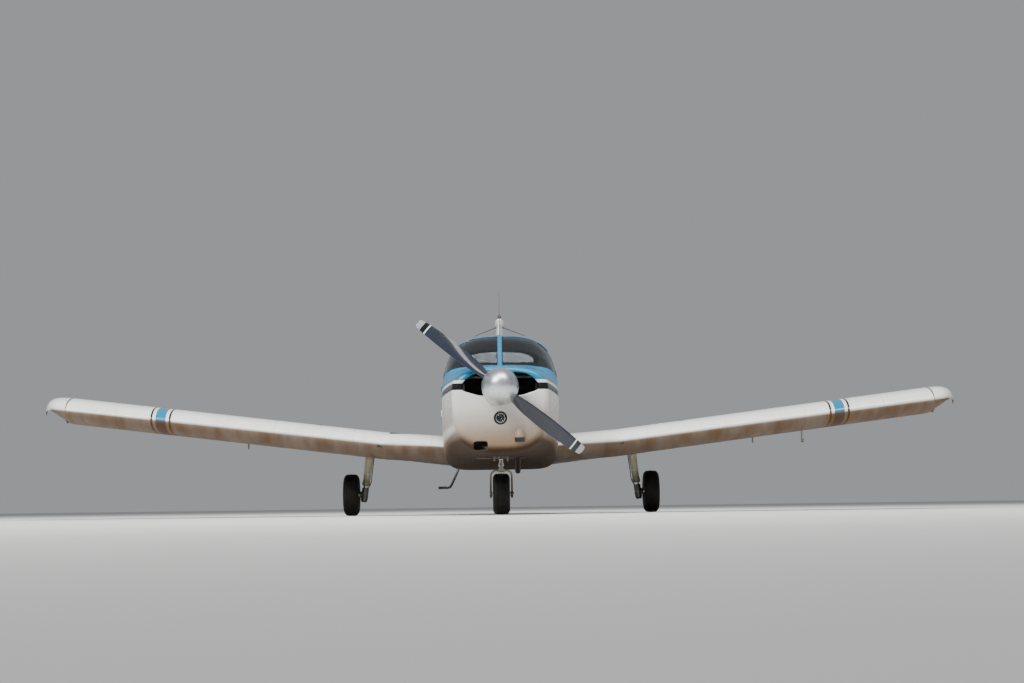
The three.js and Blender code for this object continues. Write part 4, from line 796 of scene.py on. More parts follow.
def wing_paint(graph, shader):
    place = graph.place()
    x, y, _ = graph.parts(place)
    out = graph.math("ABSOLUTE", x)
    facing = graph.facing()[2]
    black = graph.math("ADD", graph.between(out, 3.250, 3.270), graph.between(out, 3.430, 3.450))
    colour = banded(graph, graph.between(out, 3.300, 3.400), black)
    ribs = graph.use("Seam lines", {"Along": out, "Spacing": 0.78, "Offset": 0.11, "Width": 0.0010})["Line"]
    colour = graph.mix(graph.product(ribs, 0.7), colour, DIRT)
    # Painted shade: faces turned down are painted brown, with slight streaky variation, for the shade and the
    # ground's reflected colour under the wing.
    streaks = graph.noise(graph.stretched(place, (9, 1.2, 2)), 1.0, 4.0)
    below = graph.rise(facing, 0.42, -0.22)
    under = graph.product(below, graph.rise(streaks, 0.2, 0.8, 0.84, 0.95))
    colour = graph.mix(under, colour, srgb(88, 56, 10))
    specks = graph.rise(graph.noise(place, 90.0, 2.0), 0.66, 0.74)
    edge = graph.product(graph.rise(y, -1.30, -1.40), specks)
    colour = graph.mix(graph.product(edge, 0.25), colour, DIRT)
    walkway = graph.product(graph.between(x, -1.105, -0.560), graph.between(y, -1.25, -0.18))
    walkway = graph.product(walkway, graph.rise(facing, 0.45, 0.55))
    colour = graph.mix(walkway, colour, gritty(graph, 0.4)[1])
    finish_paint(graph, shader, colour, 0.12, 0.14, dull=graph.math("MAXIMUM", below, walkway))


def grip(graph, shader):
    grit, colour = gritty(graph, 0.5)
    rough = graph.rise(grit, 0.3, 0.7, 0.75, 0.95)
    graph.fill(shader, {"Base Color": colour, "Roughness": rough, "Normal": graph.bump(grit, 0.0008)})


def tail_paint(graph, shader):
    x, y, z = graph.parts(graph.place())
    lean = graph.math("MULTIPLY_ADD", y, -0.55, z)
    high = graph.rise(z, 1.12, 1.125)
    blue = graph.product(graph.between(lean, 0.10, 0.30), high)
    # Painted shade: a blue tint along the forward-facing leading edge on the fin's left side stands for shade
    # on that side; from here blue holds both the stripe and this painted shade.
    ahead = graph.rise(graph.facing()[1], -0.15, -0.35)
    edge = graph.product(
        graph.rise(x, -0.004, 0.006), graph.rise(z, 1.60, 1.62), graph.rise(z, 2.212, 2.208), ahead)
    blue = graph.math("MAXIMUM", blue, graph.product(edge, 0.65))
    colour = banded(graph, blue, graph.product(graph.between(lean, 0.05, 0.085), high))
    finish_paint(graph, shader, colour, 0.08, 0.18)


def gear_paint(graph, shader):
    place = graph.place()
    chips = graph.rise(graph.noise(place, 70.0, 3.0, 0.6), 0.64, 0.68)
    low = graph.rise(graph.parts(place)[2], 0.46, 0.24)
    colour = graph.mix(graph.product(chips, low), colour_of("gear"), srgb(70, 66, 60))
    mud = graph.rise(graph.noise(place, 12.0), 0.2, 0.6, 0.6, 0.95)
    colour = graph.mix(graph.product(low, mud), colour, DIRT)
    finish_paint(graph, shader, colour, 0.35, 0.25, 0.2)


def blade_paint(graph, shader):
    place = graph.place()
    hub = tuple(to_metres((0, THRUST_STATION, THRUST_HEIGHT)))
    radius = graph.add("VectorMath", {0: place, 1: hub}, operation="DISTANCE").outputs["Value"]
    colour = graph.mix(graph.rise(graph.noise(place, 5.0), 0.3, 0.7), colour_of("blade"), srgb(34, 37, 46))
    colour = graph.mix(graph.between(radius, 0.831, 0.843, 0.0004), colour, srgb(225, 228, 230))
    colour = graph.mix(graph.between(radius, 0.843, 0.888, 0.0004), colour, srgb(18, 18, 20))
    colour = graph.mix(graph.rise(radius, 0.8878, 0.8882), colour, srgb(150, 153, 158))
    nicks = graph.rise(graph.noise(place, 120.0, 3.0, 0.7), 0.70, 0.74)
    colour = graph.mix(graph.product(nicks, 0.8), colour, srgb(170, 172, 175))
    finish_paint(graph, shader, colour, 0.05, 0.12, 0.6)


def polished_metal(graph, shader):
    """Metal spun on a lathe about the propeller's axis."""
    place = graph.place()
    x, y, z = graph.parts(place)
    height = graph.math("SUBTRACT", z, THRUST_HEIGHT * MM)
    away = graph.math("SQRT", graph.math("ADD", graph.product(x, x), graph.product(height, height)))
    lathe = {0: graph.product(away, 60.0), 1: graph.product(y, 60.0), 2: graph.product(x, 0.6)}
    lathe = graph.add("CombineXYZ", lathe).outputs[0]
    brushed = graph.use("Brushed metal", {"Vector": lathe, "Scale": 6.0})
    marks = graph.rise(graph.noise(place, 26.0, 4.0, 0.7), 0.55, 0.75)
    graph.fill(shader, {
        "Base Color": graph.mix(marks, srgb(214, 217, 220), srgb(168, 166, 160)),
        "Metallic": 1.0,
        "Roughness": graph.math("ADD", brushed["Roughness"], 0.20),
        "Normal": graph.bump(brushed["Height"], 0.00012),
    })


def metal(dark, light, rough, grime=0.3):
    """A bare metal between two tints."""
    def fill(graph, shader):
        place = graph.place()
        brushed = graph.use("Brushed metal", {"Vector": place, "Scale": 140.0})
        dirty = graph.product(graph.rise(graph.noise(place, 18.0, 4.0, 0.65), 0.45, 0.70), grime)
        polish = graph.math("ADD", brushed["Roughness"], rough)
        graph.fill(shader, {
            "Base Color": graph.mix(dirty, graph.mix(graph.noise(place, 30.0), dark, light), DIRT),
            "Metallic": graph.math("SUBTRACT", 1.0, dirty),
            "Roughness": graph.math("MULTIPLY_ADD", dirty, 0.4, polish),
            "Normal": graph.bump(brushed["Height"], 0.0002),
        })
    return fill


def rubber(base, dust):
    """Rubber with dust in its grain."""
    def fill(graph, shader):
        place = graph.place()
        dusty = graph.rise(graph.noise(place, 14.0, 5.0, 0.65), 0.40, 0.75)
        graph.fill(shader, {
            "Base Color": graph.mix(graph.product(dusty, dust), base, srgb(120, 110, 94)),
            "Roughness": graph.rise(dusty, 0.0, 1.0, 0.62, 0.85),
            "Specular IOR Level": 0.25,
            "Normal": graph.bump(graph.noise(place, 420.0, 3.0), 0.0003),
        })
    return fill


def moulded(base, other, rough, size=700.0, depth=0.0003):
    """Moulded plastic or painted metal with a fine crackle."""
    def fill(graph, shader):
        place = graph.place()
        grain = graph.add("TexVoronoi", {"Vector": place, "Scale": size}).outputs[0]
        cloud = graph.noise(place, 6.0, 4.0)
        graph.fill(shader, {
            "Base Color": graph.mix(cloud, base, other),
            "Roughness": graph.rise(cloud, 0.2, 0.8, rough, rough + 0.18),
            "Normal": graph.bump(grain, depth),
        })
    return fill


def cloth(base, other, size, depth):
    """Woven cloth or carpet."""
    def fill(graph, shader):
        place = graph.place()
        weave = graph.use("Woven cloth", {"Vector": place, "Scale": size})
        worn = graph.rise(graph.noise(place, 6.0, 4.0), 0.4, 0.7)
        colour = graph.mix(weave["Tint"], base, other)
        graph.fill(shader, {
            "Base Color": graph.mix(graph.product(worn, 0.18), colour, srgb(104, 98, 88)),
            "Roughness": graph.rise(worn, 0.0, 1.0, 0.96, 0.80),
            "Sheen Weight": 0.25,
            "Normal": graph.bump(weave["Height"], depth),
        })
    return fill


def leather(graph, shader):
    place = graph.place()
    cells = graph.add("TexVoronoi", {"Vector": place, "Scale": 330.0}, feature="DISTANCE_TO_EDGE").outputs[0]
    grain = graph.rise(cells, 0.0, 0.25)
    folds = graph.noise(place, 22.0, 4.0, 0.6)
    colour = graph.mix(graph.rise(folds, 0.35, 0.7), colour_of("seat"), srgb(88, 78, 68))
    relief = graph.add("Bump", {
        "Height": grain, "Distance": 0.0004, "Strength": 1.0, "Normal": graph.bump(folds, 0.0015)})
    graph.fill(shader, {
        "Base Color": graph.mix(grain, srgb(48, 42, 37), colour),
        "Roughness": graph.rise(folds, 0.2, 0.8, 0.42, 0.62),
        "Normal": relief.outputs[0],
    })


def glass(tint, rough=0.02):
    """Clear or coloured glass. Light passes straight through it into what it covers."""
    def fill(graph, shader):
        place = graph.place()
        smear = graph.noise(place, 5.0, 5.0, 0.6)
        graph.fill(shader, {
            "Base Color": tint,
            "Transmission Weight": 1.0,
            "IOR": 1.45,
            "Roughness": graph.rise(smear, 0.5, 0.9, rough, rough + 0.10),
            "Normal": graph.bump(graph.noise(place, 2.5, 2.0), 0.0003),
        })
        clear = graph.add("BsdfTransparent", {"Color": tint}).outputs[0]
        shadow = graph.add("LightPath").outputs["Is Shadow Ray"]
        mixed = graph.add("MixShader", {0: shadow, 1: shader.outputs[0], 2: clear}).outputs[0]
        graph.fill(graph.tree.nodes["Material Output"], {"Surface": mixed})
    return fill


def lens(colour, glow):
    """A coloured lens with moulded ribs."""
    def fill(graph, shader):
        inputs = {"Vector": graph.place(), "Scale": 130.0}
        ribs = graph.add("TexWave", inputs, bands_direction="Z").outputs[1]
        graph.fill(shader, {
            "Base Color": graph.mix(graph.product(ribs, 0.4), colour, glow),
            "Roughness": graph.rise(ribs, 0.0, 1.0, 0.06, 0.16),
            "Coat Weight": 1.0,
            "Normal": graph.bump(ribs, 0.0004),
        })
    return fill


def exhaust_metal(graph, shader):
    place = graph.place()
    heat = graph.noise(place, 16.0, 3.0)
    colour = graph.mix(graph.rise(heat, 0.3, 0.7), srgb(96, 74, 58), srgb(120, 112, 104))
    soot = graph.rise(graph.parts(place)[2], 0.80, 0.66)
    graph.fill(shader, {
        "Base Color": graph.mix(graph.product(soot, 0.8), colour, srgb(26, 24, 23)),
        "Metallic": 0.8,
        "Roughness": graph.rise(heat, 0.2, 0.8, 0.42, 0.68),
        "Normal": graph.bump(graph.noise(place, 220.0, 3.0), 0.0003),
    })


def studio_floor(graph, shader):
    cloud = graph.noise(graph.place(), 0.6, 4.0)
    graph.fill(shader, {
        "Base Color": graph.mix(cloud, srgb(196, 196, 194), srgb(206, 205, 202)),
        "Roughness": graph.rise(cloud, 0.2, 0.8, 0.55, 0.7),
    })


FINISHES = {
    "Body paint": body_paint,
    "Wing paint": wing_paint,
    "Tail paint": tail_paint,
    "Gear paint": gear_paint,
    "Step grip": grip,
    "Blade paint": blade_paint,
    "Polished metal": polished_metal,
    "Bright steel": metal(srgb(176, 178, 180), srgb(206, 208, 210), 0.08, 0.15),
    "Cast alloy": metal(srgb(150, 151, 152), srgb(190, 190, 188), 0.28, 0.35),
    "Dull steel": metal(srgb(92, 92, 92), srgb(138, 136, 132), 0.30, 0.5),
    "Engine metal": metal(srgb(40, 40, 40), srgb(84, 82, 80), 0.40, 0.5),
    "Exhaust metal": exhaust_metal,
    "Tyre rubber": rubber(srgb(14, 13, 13), 0.10),
    "Seal rubber": rubber(srgb(22, 22, 23), 0.10),
    "Black plastic": moulded(srgb(24, 24, 25), srgb(36, 36, 38), 0.38),
    "Panel crackle": moulded(srgb(26, 27, 28), srgb(40, 41, 42), 0.55, 420.0, 0.0007),
    "Cabin trim": moulded(srgb(84, 78, 70), srgb(66, 61, 55), 0.62, 520.0, 0.0004),
    "Headliner": cloth(srgb(58, 54, 50), srgb(78, 72, 66), 210.0, 0.0004),
    "Carpet": cloth(srgb(52, 56, 64), srgb(84, 88, 96), 150.0, 0.0020),
    "Pad leather": leather,
    "Dial face": moulded(srgb(14, 14, 15), srgb(20, 20, 22), 0.30, 900.0, 0.0001),
    "Dial mark": moulded(srgb(222, 222, 214), srgb(206, 206, 198), 0.50, 900.0, 0.0001),
    "Cabin glass": glass(srgb(142, 152, 158)),
    "Lamp glass": glass(srgb(240, 244, 245), 0.03),
    "Red lens": lens(srgb(52, 6, 6), srgb(96, 16, 12)),
    "Green lens": lens(srgb(10, 84, 46), srgb(26, 140, 80)),
    "Reflector": moulded(srgb(206, 208, 206), srgb(180, 182, 180), 0.30, 500.0, 0.0001),
    "Belt webbing": cloth(srgb(24, 25, 28), srgb(46, 48, 52), 260.0, 0.0005),
    "Studio floor": studio_floor,
}


def finish(name):
    """The material of that name, made the first time that a piece asks for it."""
    found = bpy.data.materials.get(name)
    if found:
        return found
    material = bpy.data.materials.new(name)
    material.use_nodes = True
    FINISHES[name](Graph(material.node_tree), material.node_tree.nodes["Principled BSDF"])
    return material


def finishes(*names):
    return [finish(name) for name in names]


# Body
INLET = [
    (120, 1284), (232, 1272), (290, 1240), (336, 1196), (350, 1158), (338, 1120), (200, 1078), (140, 1072),
]
INLET_LIP = 14.0
LIGHT_HEIGHT = 872.0
LIGHT_RADIUS = 62.0
INTAKE = [(-244, 586), (-118, 586), (-118, 660), (-244, 660)]
COWL_SPLIT = 1142.0
COWL_GAP = 1.2


def nose_station(x, z):
    """Where the rounded nose passes a place seen from the front."""
    low = np.full(np.shape(x), NOSE_FACE)
    high = np.full(np.shape(x), BODY_SECTIONS[1, 0])
    for _ in range(24):
        middle = (low + high) / 2
        outside = body_level(np.stack([x, middle, z], -1)) > 1
        low = np.where(outside, middle, low)
        high = np.where(outside, high, middle)
    return low


def nose_cutter(outline, lip, deep):
    """A hole through the nose with a rolled lip."""
    rings = []
    depths = [-60.0] + [lip * share for share in (0, 0.05, 0.2, 0.45, 0.75, 1.0)] + [deep]
    for depth in depths:
        inset = min(max(depth, 0.0), lip)
        growth = lip - math.sqrt(lip**2 - (lip - inset) ** 2)
        ring = grown(outline, growth)
        x, z = ring.T
        rings.append(points_at(x, nose_station(x, z) + depth, z))
    return loft(Shape(), rings)


def sculpt_cowl(ring):
    """A hump behind the spinner and a hollow on each side of it."""
    x, station, z = ring.T
    high = np.clip((z - 1190) / 110, 0, 1)
    along = np.sin(np.pi * np.clip((station - 372) / 640, 0, 1)) ** 0.7
    ring[:, 2] -= 26 * np.exp(-(((np.abs(x) - 205) / 80) ** 2)) * high * along
    return ring


def cowl_shell():
    rounding = [BODY_SECTIONS[1, 0] - NOSE_ROUND * math.sin(math.radians(a)) for a in range(90, -1, -9)]
    stations = rounding + list(np.linspace(470, COWL_BACK, 26))
    rings = [sculpt_cowl(body_ring(station, 0, 128)) for station in stations]
    middle = np.array([0, NOSE_FACE, body_at(WIDEST, NOSE_FACE)])
    dome = []
    for share in (0.02, 0.3, 0.6, 0.85, 0.96):
        ring = middle + (rings[0] - middle) * share
        ring[:, 1] -= 9 * (1 - share**2)
        dome.append(ring)
    shell = object_from("cowling", loft(Shape(), dome + rings), finishes("Body paint", "Engine metal"))
    hollow = [sculpt_cowl(body_ring(station, COWL_SKIN, 96)) for station in np.linspace(372, 1262, 24)]
    cutters = [loft(Shape(), hollow, mark=1)]
    for _, sign in SIDES:
        outline = rounded_outline([(sign * x, z) for x, z in INLET], 24)
        cutters.append(nose_cutter(outline, INLET_LIP, 130))
    cutters += [
        rod(Shape(), (0, 250, THRUST_HEIGHT), (0, 470, THRUST_HEIGHT), 150, sides=72),
        rod(Shape(), (0, 300, LIGHT_HEIGHT), (0, 420, LIGHT_HEIGHT), LIGHT_RADIUS, sides=64),
        nose_cutter(rounded_outline(INTAKE, 26), 8.0, 120),
        block((-72, 920, 300), (72, 1300, 700)),
        block((-230, 1120, 300), (230, 1300, 640)),
    ]
    return carve(shell, cutters)


def build_cowling():
    whole = cowl_shell()
    for name, low, high, node, slot in (
        ("upper_cowling", COWL_SPLIT + COWL_GAP, 1700, "cowl_upper", "blue_paint"),
        ("lower_cowling", 200, COWL_SPLIT - COWL_GAP, "cowl_lower", "white_paint"),
    ):
        half = copy_of(whole, name)
        carve(half, [block((-800, 250, low), (800, 1400, high))], "INTERSECT")
        exact_normals(half)
        settle(half, "airframe", (node,))
    drop(whole)


def body_shell(name, reach, wall, materials, inset=0.0, spacing=45.0, extra=2):
    """A thick-walled length of the body between two stations."""
    stations = np.linspace(*reach, int((reach[1] - reach[0]) / spacing) + extra)
    outer = [body_ring(station, inset, 128) for station in stations]
    inner = [body_ring(station, inset + wall, 128) for station in stations[::-1]]
    return object_from(name, closed_loft(Shape(), outer + inner), materials)


def window_prism(outline, sign, nearest, growth=0.0, radius=60):
    return side_prism(rounded_outline(grown(outline, growth), radius), (sign * nearest, sign * 720))


def build_cabin_shell():
    materials = finishes("Body paint", "Headliner")
    shell = body_shell("cabin_skin", (CABIN_FRONT, CABIN_BACK), WALL, materials)
    cutters = []
    for _, sign in SIDES:
        cutters.append(window_prism(WINDSHIELD, sign, CENTRE_POST / 2, 0, 40))
        cutters.append(window_prism(REAR_WINDOW, sign, 100))
    cutters.append(window_prism(FRONT_WINDOW, 1, 100))
    cutters.append(window_prism(DOOR, -1, 100, DOOR_GAP))
    carve(shell, cutters)
    mark_inside(shell, 1)
    exact_normals(shell)
    settle(shell, "airframe", ("cabin_shell",))


def build_door():
    reach, materials = (1980, 2880), finishes("Body paint", "Cabin trim")
    outer = body_shell("door_skin", reach, 10, materials)
    carve(outer, [window_prism(DOOR, -1, 100)], "INTERSECT")
    tray = body_shell("tray", reach, WALL, materials)
    carve(tray, [window_prism(DOOR, -1, 100, -14, 50)], "INTERSECT")
    combine(outer, [tray], "UNION")
    carve(outer, [window_prism(FRONT_WINDOW, -1, 100)])
    mark_inside(outer, 1)
    exact_normals(outer)
    settle(outer, "door", ("cabin_door",))


# Name, outline, side, nearest x, corner radius, the stations between which it lies, body
PANES = (
    ("windshield_left", WINDSHIELD, 1, CENTRE_POST / 2 + 0.5, 40, (1480, 2300), "airframe"),
    ("windshield_right", WINDSHIELD, -1, CENTRE_POST / 2 + 0.5, 40, (1480, 2300), "airframe"),
    ("front_window_left", FRONT_WINDOW, 1, 100, 60, (2040, 2820), "airframe"),
    ("door_window_right", FRONT_WINDOW, -1, 100, 60, (2040, 2820), "door"),
    ("rear_window_left", REAR_WINDOW, 1, 100, 60, (2890, 3590), "airframe"),
    ("rear_window_right", REAR_WINDOW, -1, 100, 60, (2890, 3590), "airframe"),
)


def windshield_edge(outline, sign):
    """The windshield's closed edge on the body, along its outline and back down the centre post."""
    x = CENTRE_POST / 2
    kept = outline[outline[:, 1] < body_roof(x, outline[:, 0])]
    start = kept[np.argmin(kept[:, 0])]
    kept = np.roll(kept, -int(np.argmin(kept[:, 0])), 0)
    side = body_side(kept[:, 0], kept[:, 1], sign)
    stations = np.linspace(side[-1, 1], start[0], 34)[1:-1]
    return np.concatenate([side, points_at(sign * x, stations, body_roof(x, stations))])


def evenly(points, spacing):
    """A closed line through points with equal steps."""
    closed = np.vstack([points, points[:1]])
    lengths = np.concatenate([[0], np.cumsum(np.linalg.norm(np.diff(closed, axis=0), axis=1))])
    count = max(int(lengths[-1] / spacing), 8)
    at = np.linspace(0, lengths[-1], count, endpoint=False)
    return np.stack([np.interp(at, lengths, closed[:, k]) for k in range(3)], 1)


def build_glass():
    for name, outline, sign, nearest, radius, reach, body in PANES:
        pane = body_shell(name + "_pane", reach, GLASS, finishes("Cabin glass"), GLASS_INSET, 24, 0)
        carve(pane, [window_prism(outline, sign, nearest, -0.4, radius)], "INTERSECT")
        shade(pane, 40)
        settle(pane, body, (name,))
        edge = rounded_outline(outline, radius, 12)
        on_body = windshield_edge(edge, sign) if outline is WINDSHIELD else body_side(*edge.T, sign)
        path = evenly(on_body, 14)
        seal = sweep(Shape(), path, circle(5.0, 8, 0.5), closed=True, ups=body_normals(path))
        piece(name + "_seal", seal, finishes("Seal rubber"), body)


def build_tail_cone():
    rings = [body_ring(station, 0, 96) for station in np.linspace(TAIL_FRONT, TAIL_BACK, 44)]
    cone = object_from("tail_cone_skin", loft(Shape(), rings), finishes("Body paint"))
    hinge = [(line_at(RUDDER_HINGE, z) - RUDDER_ROOM_AHEAD, z) for z in (RUDDER_BOTTOM - RUN_GAP, 1300)]
    wedge = side_prism([hinge[0], (6900, hinge[0][1]), (6900, 1300), hinge[1]], (-200, 200))
    pivot = STABILATOR["pivot"], STABILATOR["height"]
    bore = rod(Shape(), (-200, *pivot), (200, *pivot), 29, sides=32)
    carve(cone, [wedge, rudder_nose(COVE_GAP, RUDDER_BOTTOM - RUN_GAP, 1300), bore])
    exact_normals(cone)
    settle(cone, "airframe", ("tail_cone",))


# Wings
COVE_GAP = 8.0
NOSE_INSET = 1.5
MERGE_DISTANCE = 0.00002
SURFACE_SPLIT = 2335.0
BEAD_PITCH = 95.0
RUDDER_BEAD_PITCH = 112.0


def airfoil(share, thickness, camber):
    """Upper and lower heights of an airfoil, as shares of its chord."""
    share = np.asarray(share, float)
    half = 5 * thickness * (
        0.2969 * np.sqrt(share) - 0.126 * share - 0.3516 * share**2 + 0.2843 * share**3 - 0.1015 * share**4
    )
    crest = 0.4
    line = np.where(
        share < crest,
        camber / crest**2 * (2 * crest * share - share**2),
        camber / (1 - crest) ** 2 * (1 - 2 * crest + 2 * crest * share - share**2),
    )
    return line + half, line - half


def wing_row(column, x):
    return np.interp(x, WING_SECTIONS[:, 0], WING_SECTIONS[:, column])


def chord_at(x):
    return WING_TRAILING - wing_row(1, x)


def thickness_at(x):
    """The airfoil's thickness as a share of its chord, less where the root is longer."""
    return WING_THICKNESS * ((WING_TRAILING - WING_STATION) / chord_at(x)) ** ROOT_THINNING


def wing_point(x, back, height, sign):
    """The point at a half span, a distance behind the leading edge and a height over the chord line."""
    leading = wing_row(1, x)
    incidence = np.radians(wing_row(2, x))
    base = WING_ROOT_HEIGHT + DIHEDRAL_SLOPE * x + (WING_STATION - leading) * np.tan(incidence)
    station = leading + back * np.cos(incidence) + height * np.sin(incidence)
    z = base - back * np.sin(incidence) + height * np.cos(incidence)
    return np.stack(np.broadcast_arrays(sign * x, station, z), -1).astype(float)


def hinge_at(surface, x):
    """The middle of a surface's hinge line at a half span, and half the wing's thickness there."""
    back = surface["hinge"] - wing_row(1, x)
    chord = chord_at(x)
    upper, lower = airfoil(back / chord, thickness_at(x), WING_CAMBER)
    return wing_point(x, back, (upper + lower) / 2 * chord, 1), (upper - lower) / 2 * chord


def hinge_lean(surface):
    """How far along x a surface's end moves for each millimetre up, to stay square to its hinge line."""
    inner, outer = (hinge_at(surface, surface[end])[0] for end in ("inner", "outer"))
    return (outer[2] - inner[2]) / (outer[0] - inner[0])


def wing_skin(surface, x, share, face, sign, raised=0.0):
    """Points on the wing's upper (1) or lower (-1) skin, in a plane through x square to the hinge line."""
    share = np.asarray(share, float)
    centre, _ = hinge_at(surface, x)
    lean = hinge_lean(surface)
    at = np.full(share.shape, float(x))
    for _ in range(3):
        upper, lower = airfoil(share, thickness_at(at), WING_CAMBER)
        height = (upper if face > 0 else lower) * chord_at(at) + face * raised
        points = wing_point(at, share * chord_at(at), height, 1)
        at = x - (points[:, 2] - centre[2]) * lean
    points[:, 0] *= sign
    return points


def cosine_shares(start, end, count):
    """Shares that lie closer together near the leading edge."""
    angles = np.linspace(math.acos(1 - 2 * start), math.acos(1 - 2 * end), count)
    return (1 - np.cos(angles)) / 2


def lip_share(surface, x, face):
    """Where the wing's skin ends ahead of a surface, at the cove's edge."""
    centre, half = hinge_at(surface, x)
    chord = chord_at(x)
    shares = np.linspace(0.5, (surface["hinge"] - wing_row(1, x)) / chord, 400)
    upper, lower = airfoil(shares, thickness_at(x), WING_CAMBER)
    height = (upper if face > 0 else lower) * chord
    points = wing_point(np.full(400, float(x)), shares * chord, height, 1)
    away = np.hypot(points[:, 1] - centre[1], points[:, 2] - centre[2])
    return shares[np.argmax(away < half + COVE_GAP)]


def arc_points(surface, x, radius, start, end, sign):
    """An arc round the hinge line, ahead of it, from one point to another."""
    centre, _ = hinge_at(surface, x)
    angles = [math.atan2(p[2] - centre[2], centre[1] - p[1]) for p in (start, end)]
    angles = np.linspace(*angles, 16)[1:-1]
    z = radius * np.sin(angles)
    across = sign * (x - z * hinge_lean(surface))
    return np.column_stack([across, centre[1] - radius * np.cos(angles), centre[2] + z])


def wing_ring(surface, x, sign, cove):
    """A section of the fixed wing: with its whole rear, or with a cove ahead of a moving surface."""
    lips = [lip_share(surface, x, face) for face in (1, -1)]
    upper = wing_skin(surface, x, cosine_shares(0, lips[0], 34), 1, sign)
    lower = wing_skin(surface, x, cosine_shares(0, lips[1], 34)[1:], -1, sign)
    _, half = hinge_at(surface, x)
    if cove:
        rear = arc_points(surface, x, half + COVE_GAP, upper[-1], lower[-1], sign)
    else:
        above = wing_skin(surface, x, np.linspace(lips[0], 1, 9)[1:-1], 1, sign)
        below = wing_skin(surface, x, np.linspace(lips[1], 1, 9)[1:-1], -1, sign)
        rear = np.concatenate([above, below[::-1]])
    return np.concatenate([upper, rear, lower[::-1]])


# Surface, start and end x, whether there is a cove, number of sections
WING_STEPS = (
    (FLAP, 380, FLAP["inner"] - RUN_GAP, False, 8),
    (FLAP, FLAP["inner"] - RUN_GAP, FLAP["outer"] + RUN_GAP, True, 34),
    (FLAP, FLAP["outer"] + RUN_GAP, SURFACE_SPLIT, False, 2),
    (AILERON, SURFACE_SPLIT, AILERON["inner"] - RUN_GAP, False, 2),
    (AILERON, AILERON["inner"] - RUN_GAP, AILERON["outer"] + RUN_GAP, True, 40),
    (AILERON, AILERON["outer"] + RUN_GAP, WING_TIP_JOIN, False, 3),
)


def merge_close(obj):
    """Merges points that lie within MERGE_DISTANCE of each other."""
    mesh = bmesh.new()
    mesh.from_mesh(obj.data)
    bmesh.ops.remove_doubles(mesh, verts=mesh.verts, dist=MERGE_DISTANCE)
    bmesh.ops.dissolve_degenerate(mesh, edges=mesh.edges, dist=MERGE_DISTANCE)
    mesh.to_mesh(obj.data)
    mesh.free()
    return obj


def build_wing(side, sign):
    rings = []
    for surface, start, end, cove, count in WING_STEPS:
        rings += [wing_ring(surface, x, sign, cove) for x in np.linspace(start, end, count)]
    wing = object_from("wing_skin_" + side, loft(Shape(), rings), finishes("Wing paint"))
    merge_close(wing)
    trim_root(wing)
    settle(shade(wing), "airframe", ("wing_" + side,))
    for name, surface in (("flap", FLAP), ("aileron", AILERON)):
        build_surface(name + "_" + side, surface, sign)
    build_tip(side, sign)


def trim_root(obj):
    """Cuts off what reaches into the cabin."""
    stations = np.linspace(1400, 3895, 40)
    body = loft(Shape(), [body_ring(station, 14, 64) for station in stations])
    carve(obj, [body])


def bead_at(at, start, end, pitch, low, margins):
    """How high a pressed bead stands along a surface's span, from 0 to 1."""
    phase = abs(((at - start) / pitch) % 1 - 0.5)
    return smooth_step(low, 0.05, phase) * smooth_step(*margins, min(at - start, end - at))


def bead_fade(run, start, ramp):
    """How a bead rises and ends along the chord."""
    return np.clip((run - start) / ramp, 0, 1) * np.clip((0.93 - run) / 0.06, 0, 1)


def surface_ring(surface, x, sign, bead):
    """A section of a flap or aileron, with its pressed beads raised by a share."""
    start = (surface["hinge"] - wing_row(1, x)) / chord_at(x)
    shares = start + (1 - start) * np.linspace(0, 1, 18)
    raised = 2.6 * bead * bead_fade((shares - start) / (1 - start), 0.10, 0.07)
    upper = wing_skin(surface, x, shares, 1, sign, raised)
    lower = wing_skin(surface, x, shares, -1, sign, raised)
    _, half = hinge_at(surface, x)
    nose = arc_points(surface, x, half - 0.2, lower[0], upper[0], sign)
    return np.concatenate([upper, lower[::-1][:-1], lower[:1], nose])


def build_surface(name, surface, sign):
    inner, outer = surface["inner"], surface["outer"]
    rings = []
    for x in np.linspace(inner, outer, int((outer - inner) / 8)):
        bead = bead_at(x, inner, outer, BEAD_PITCH, 0.16, (25, 60))
        rings.append(surface_ring(surface, x, sign, bead))
    obj = object_from(name + "_skin", loft(Shape(), rings), finishes("Wing paint"))
    settle(shade(obj), name, (name,))


def smooth_step(low, high, value):
    share = min(max((value - low) / (high - low), 0.0), 1.0)
    return share * share * (3 - 2 * share)


def build_tip(side, sign):
    rings = []
    count = 22
    for i in range(count):
        out = TIP_SECTIONS[-1, 0] * (1 - (1 - i / (count - 1)) ** 1.7)
        columns = (smooth_between(TIP_SECTIONS[:, 0], TIP_SECTIONS[:, k], out) for k in (1, 2, 3, 4))
        front, back, fall, keep = columns
        x = WING_TIP_JOIN + TOUCH_GAP + out
        chord = chord_at(x)
        kept_chord = (chord - front - back) / chord
        upper_share = cosine_shares(0, 1, 30)
        upper, lower = airfoil(upper_share, thickness_at(x), WING_CAMBER)
        ceiling = upper * math.sqrt(kept_chord)
        floor = ceiling - (ceiling - lower) * keep
        back = front + upper_share * chord * kept_chord
        top = wing_point(x, back, ceiling * chord - fall, sign)
        below = wing_point(x, back, floor * chord - fall, sign)
        rings.append(np.concatenate([top, below[::-1][1:-1]]))
    obj = object_from("wing_tip_cover_" + side, loft(Shape(), rings), finishes("Wing paint"))
    settle(shade(obj, 50), "airframe", ("wing_tip_" + side,))


# Tail
RUDDER_ROOM_AHEAD = 20.0


def line_at(line, height):
    share = (np.asarray(height, float) - FIN["foot"]) / (FIN["top"] - FIN["foot"])
    return line[0] + (line[1] - line[0]) * share


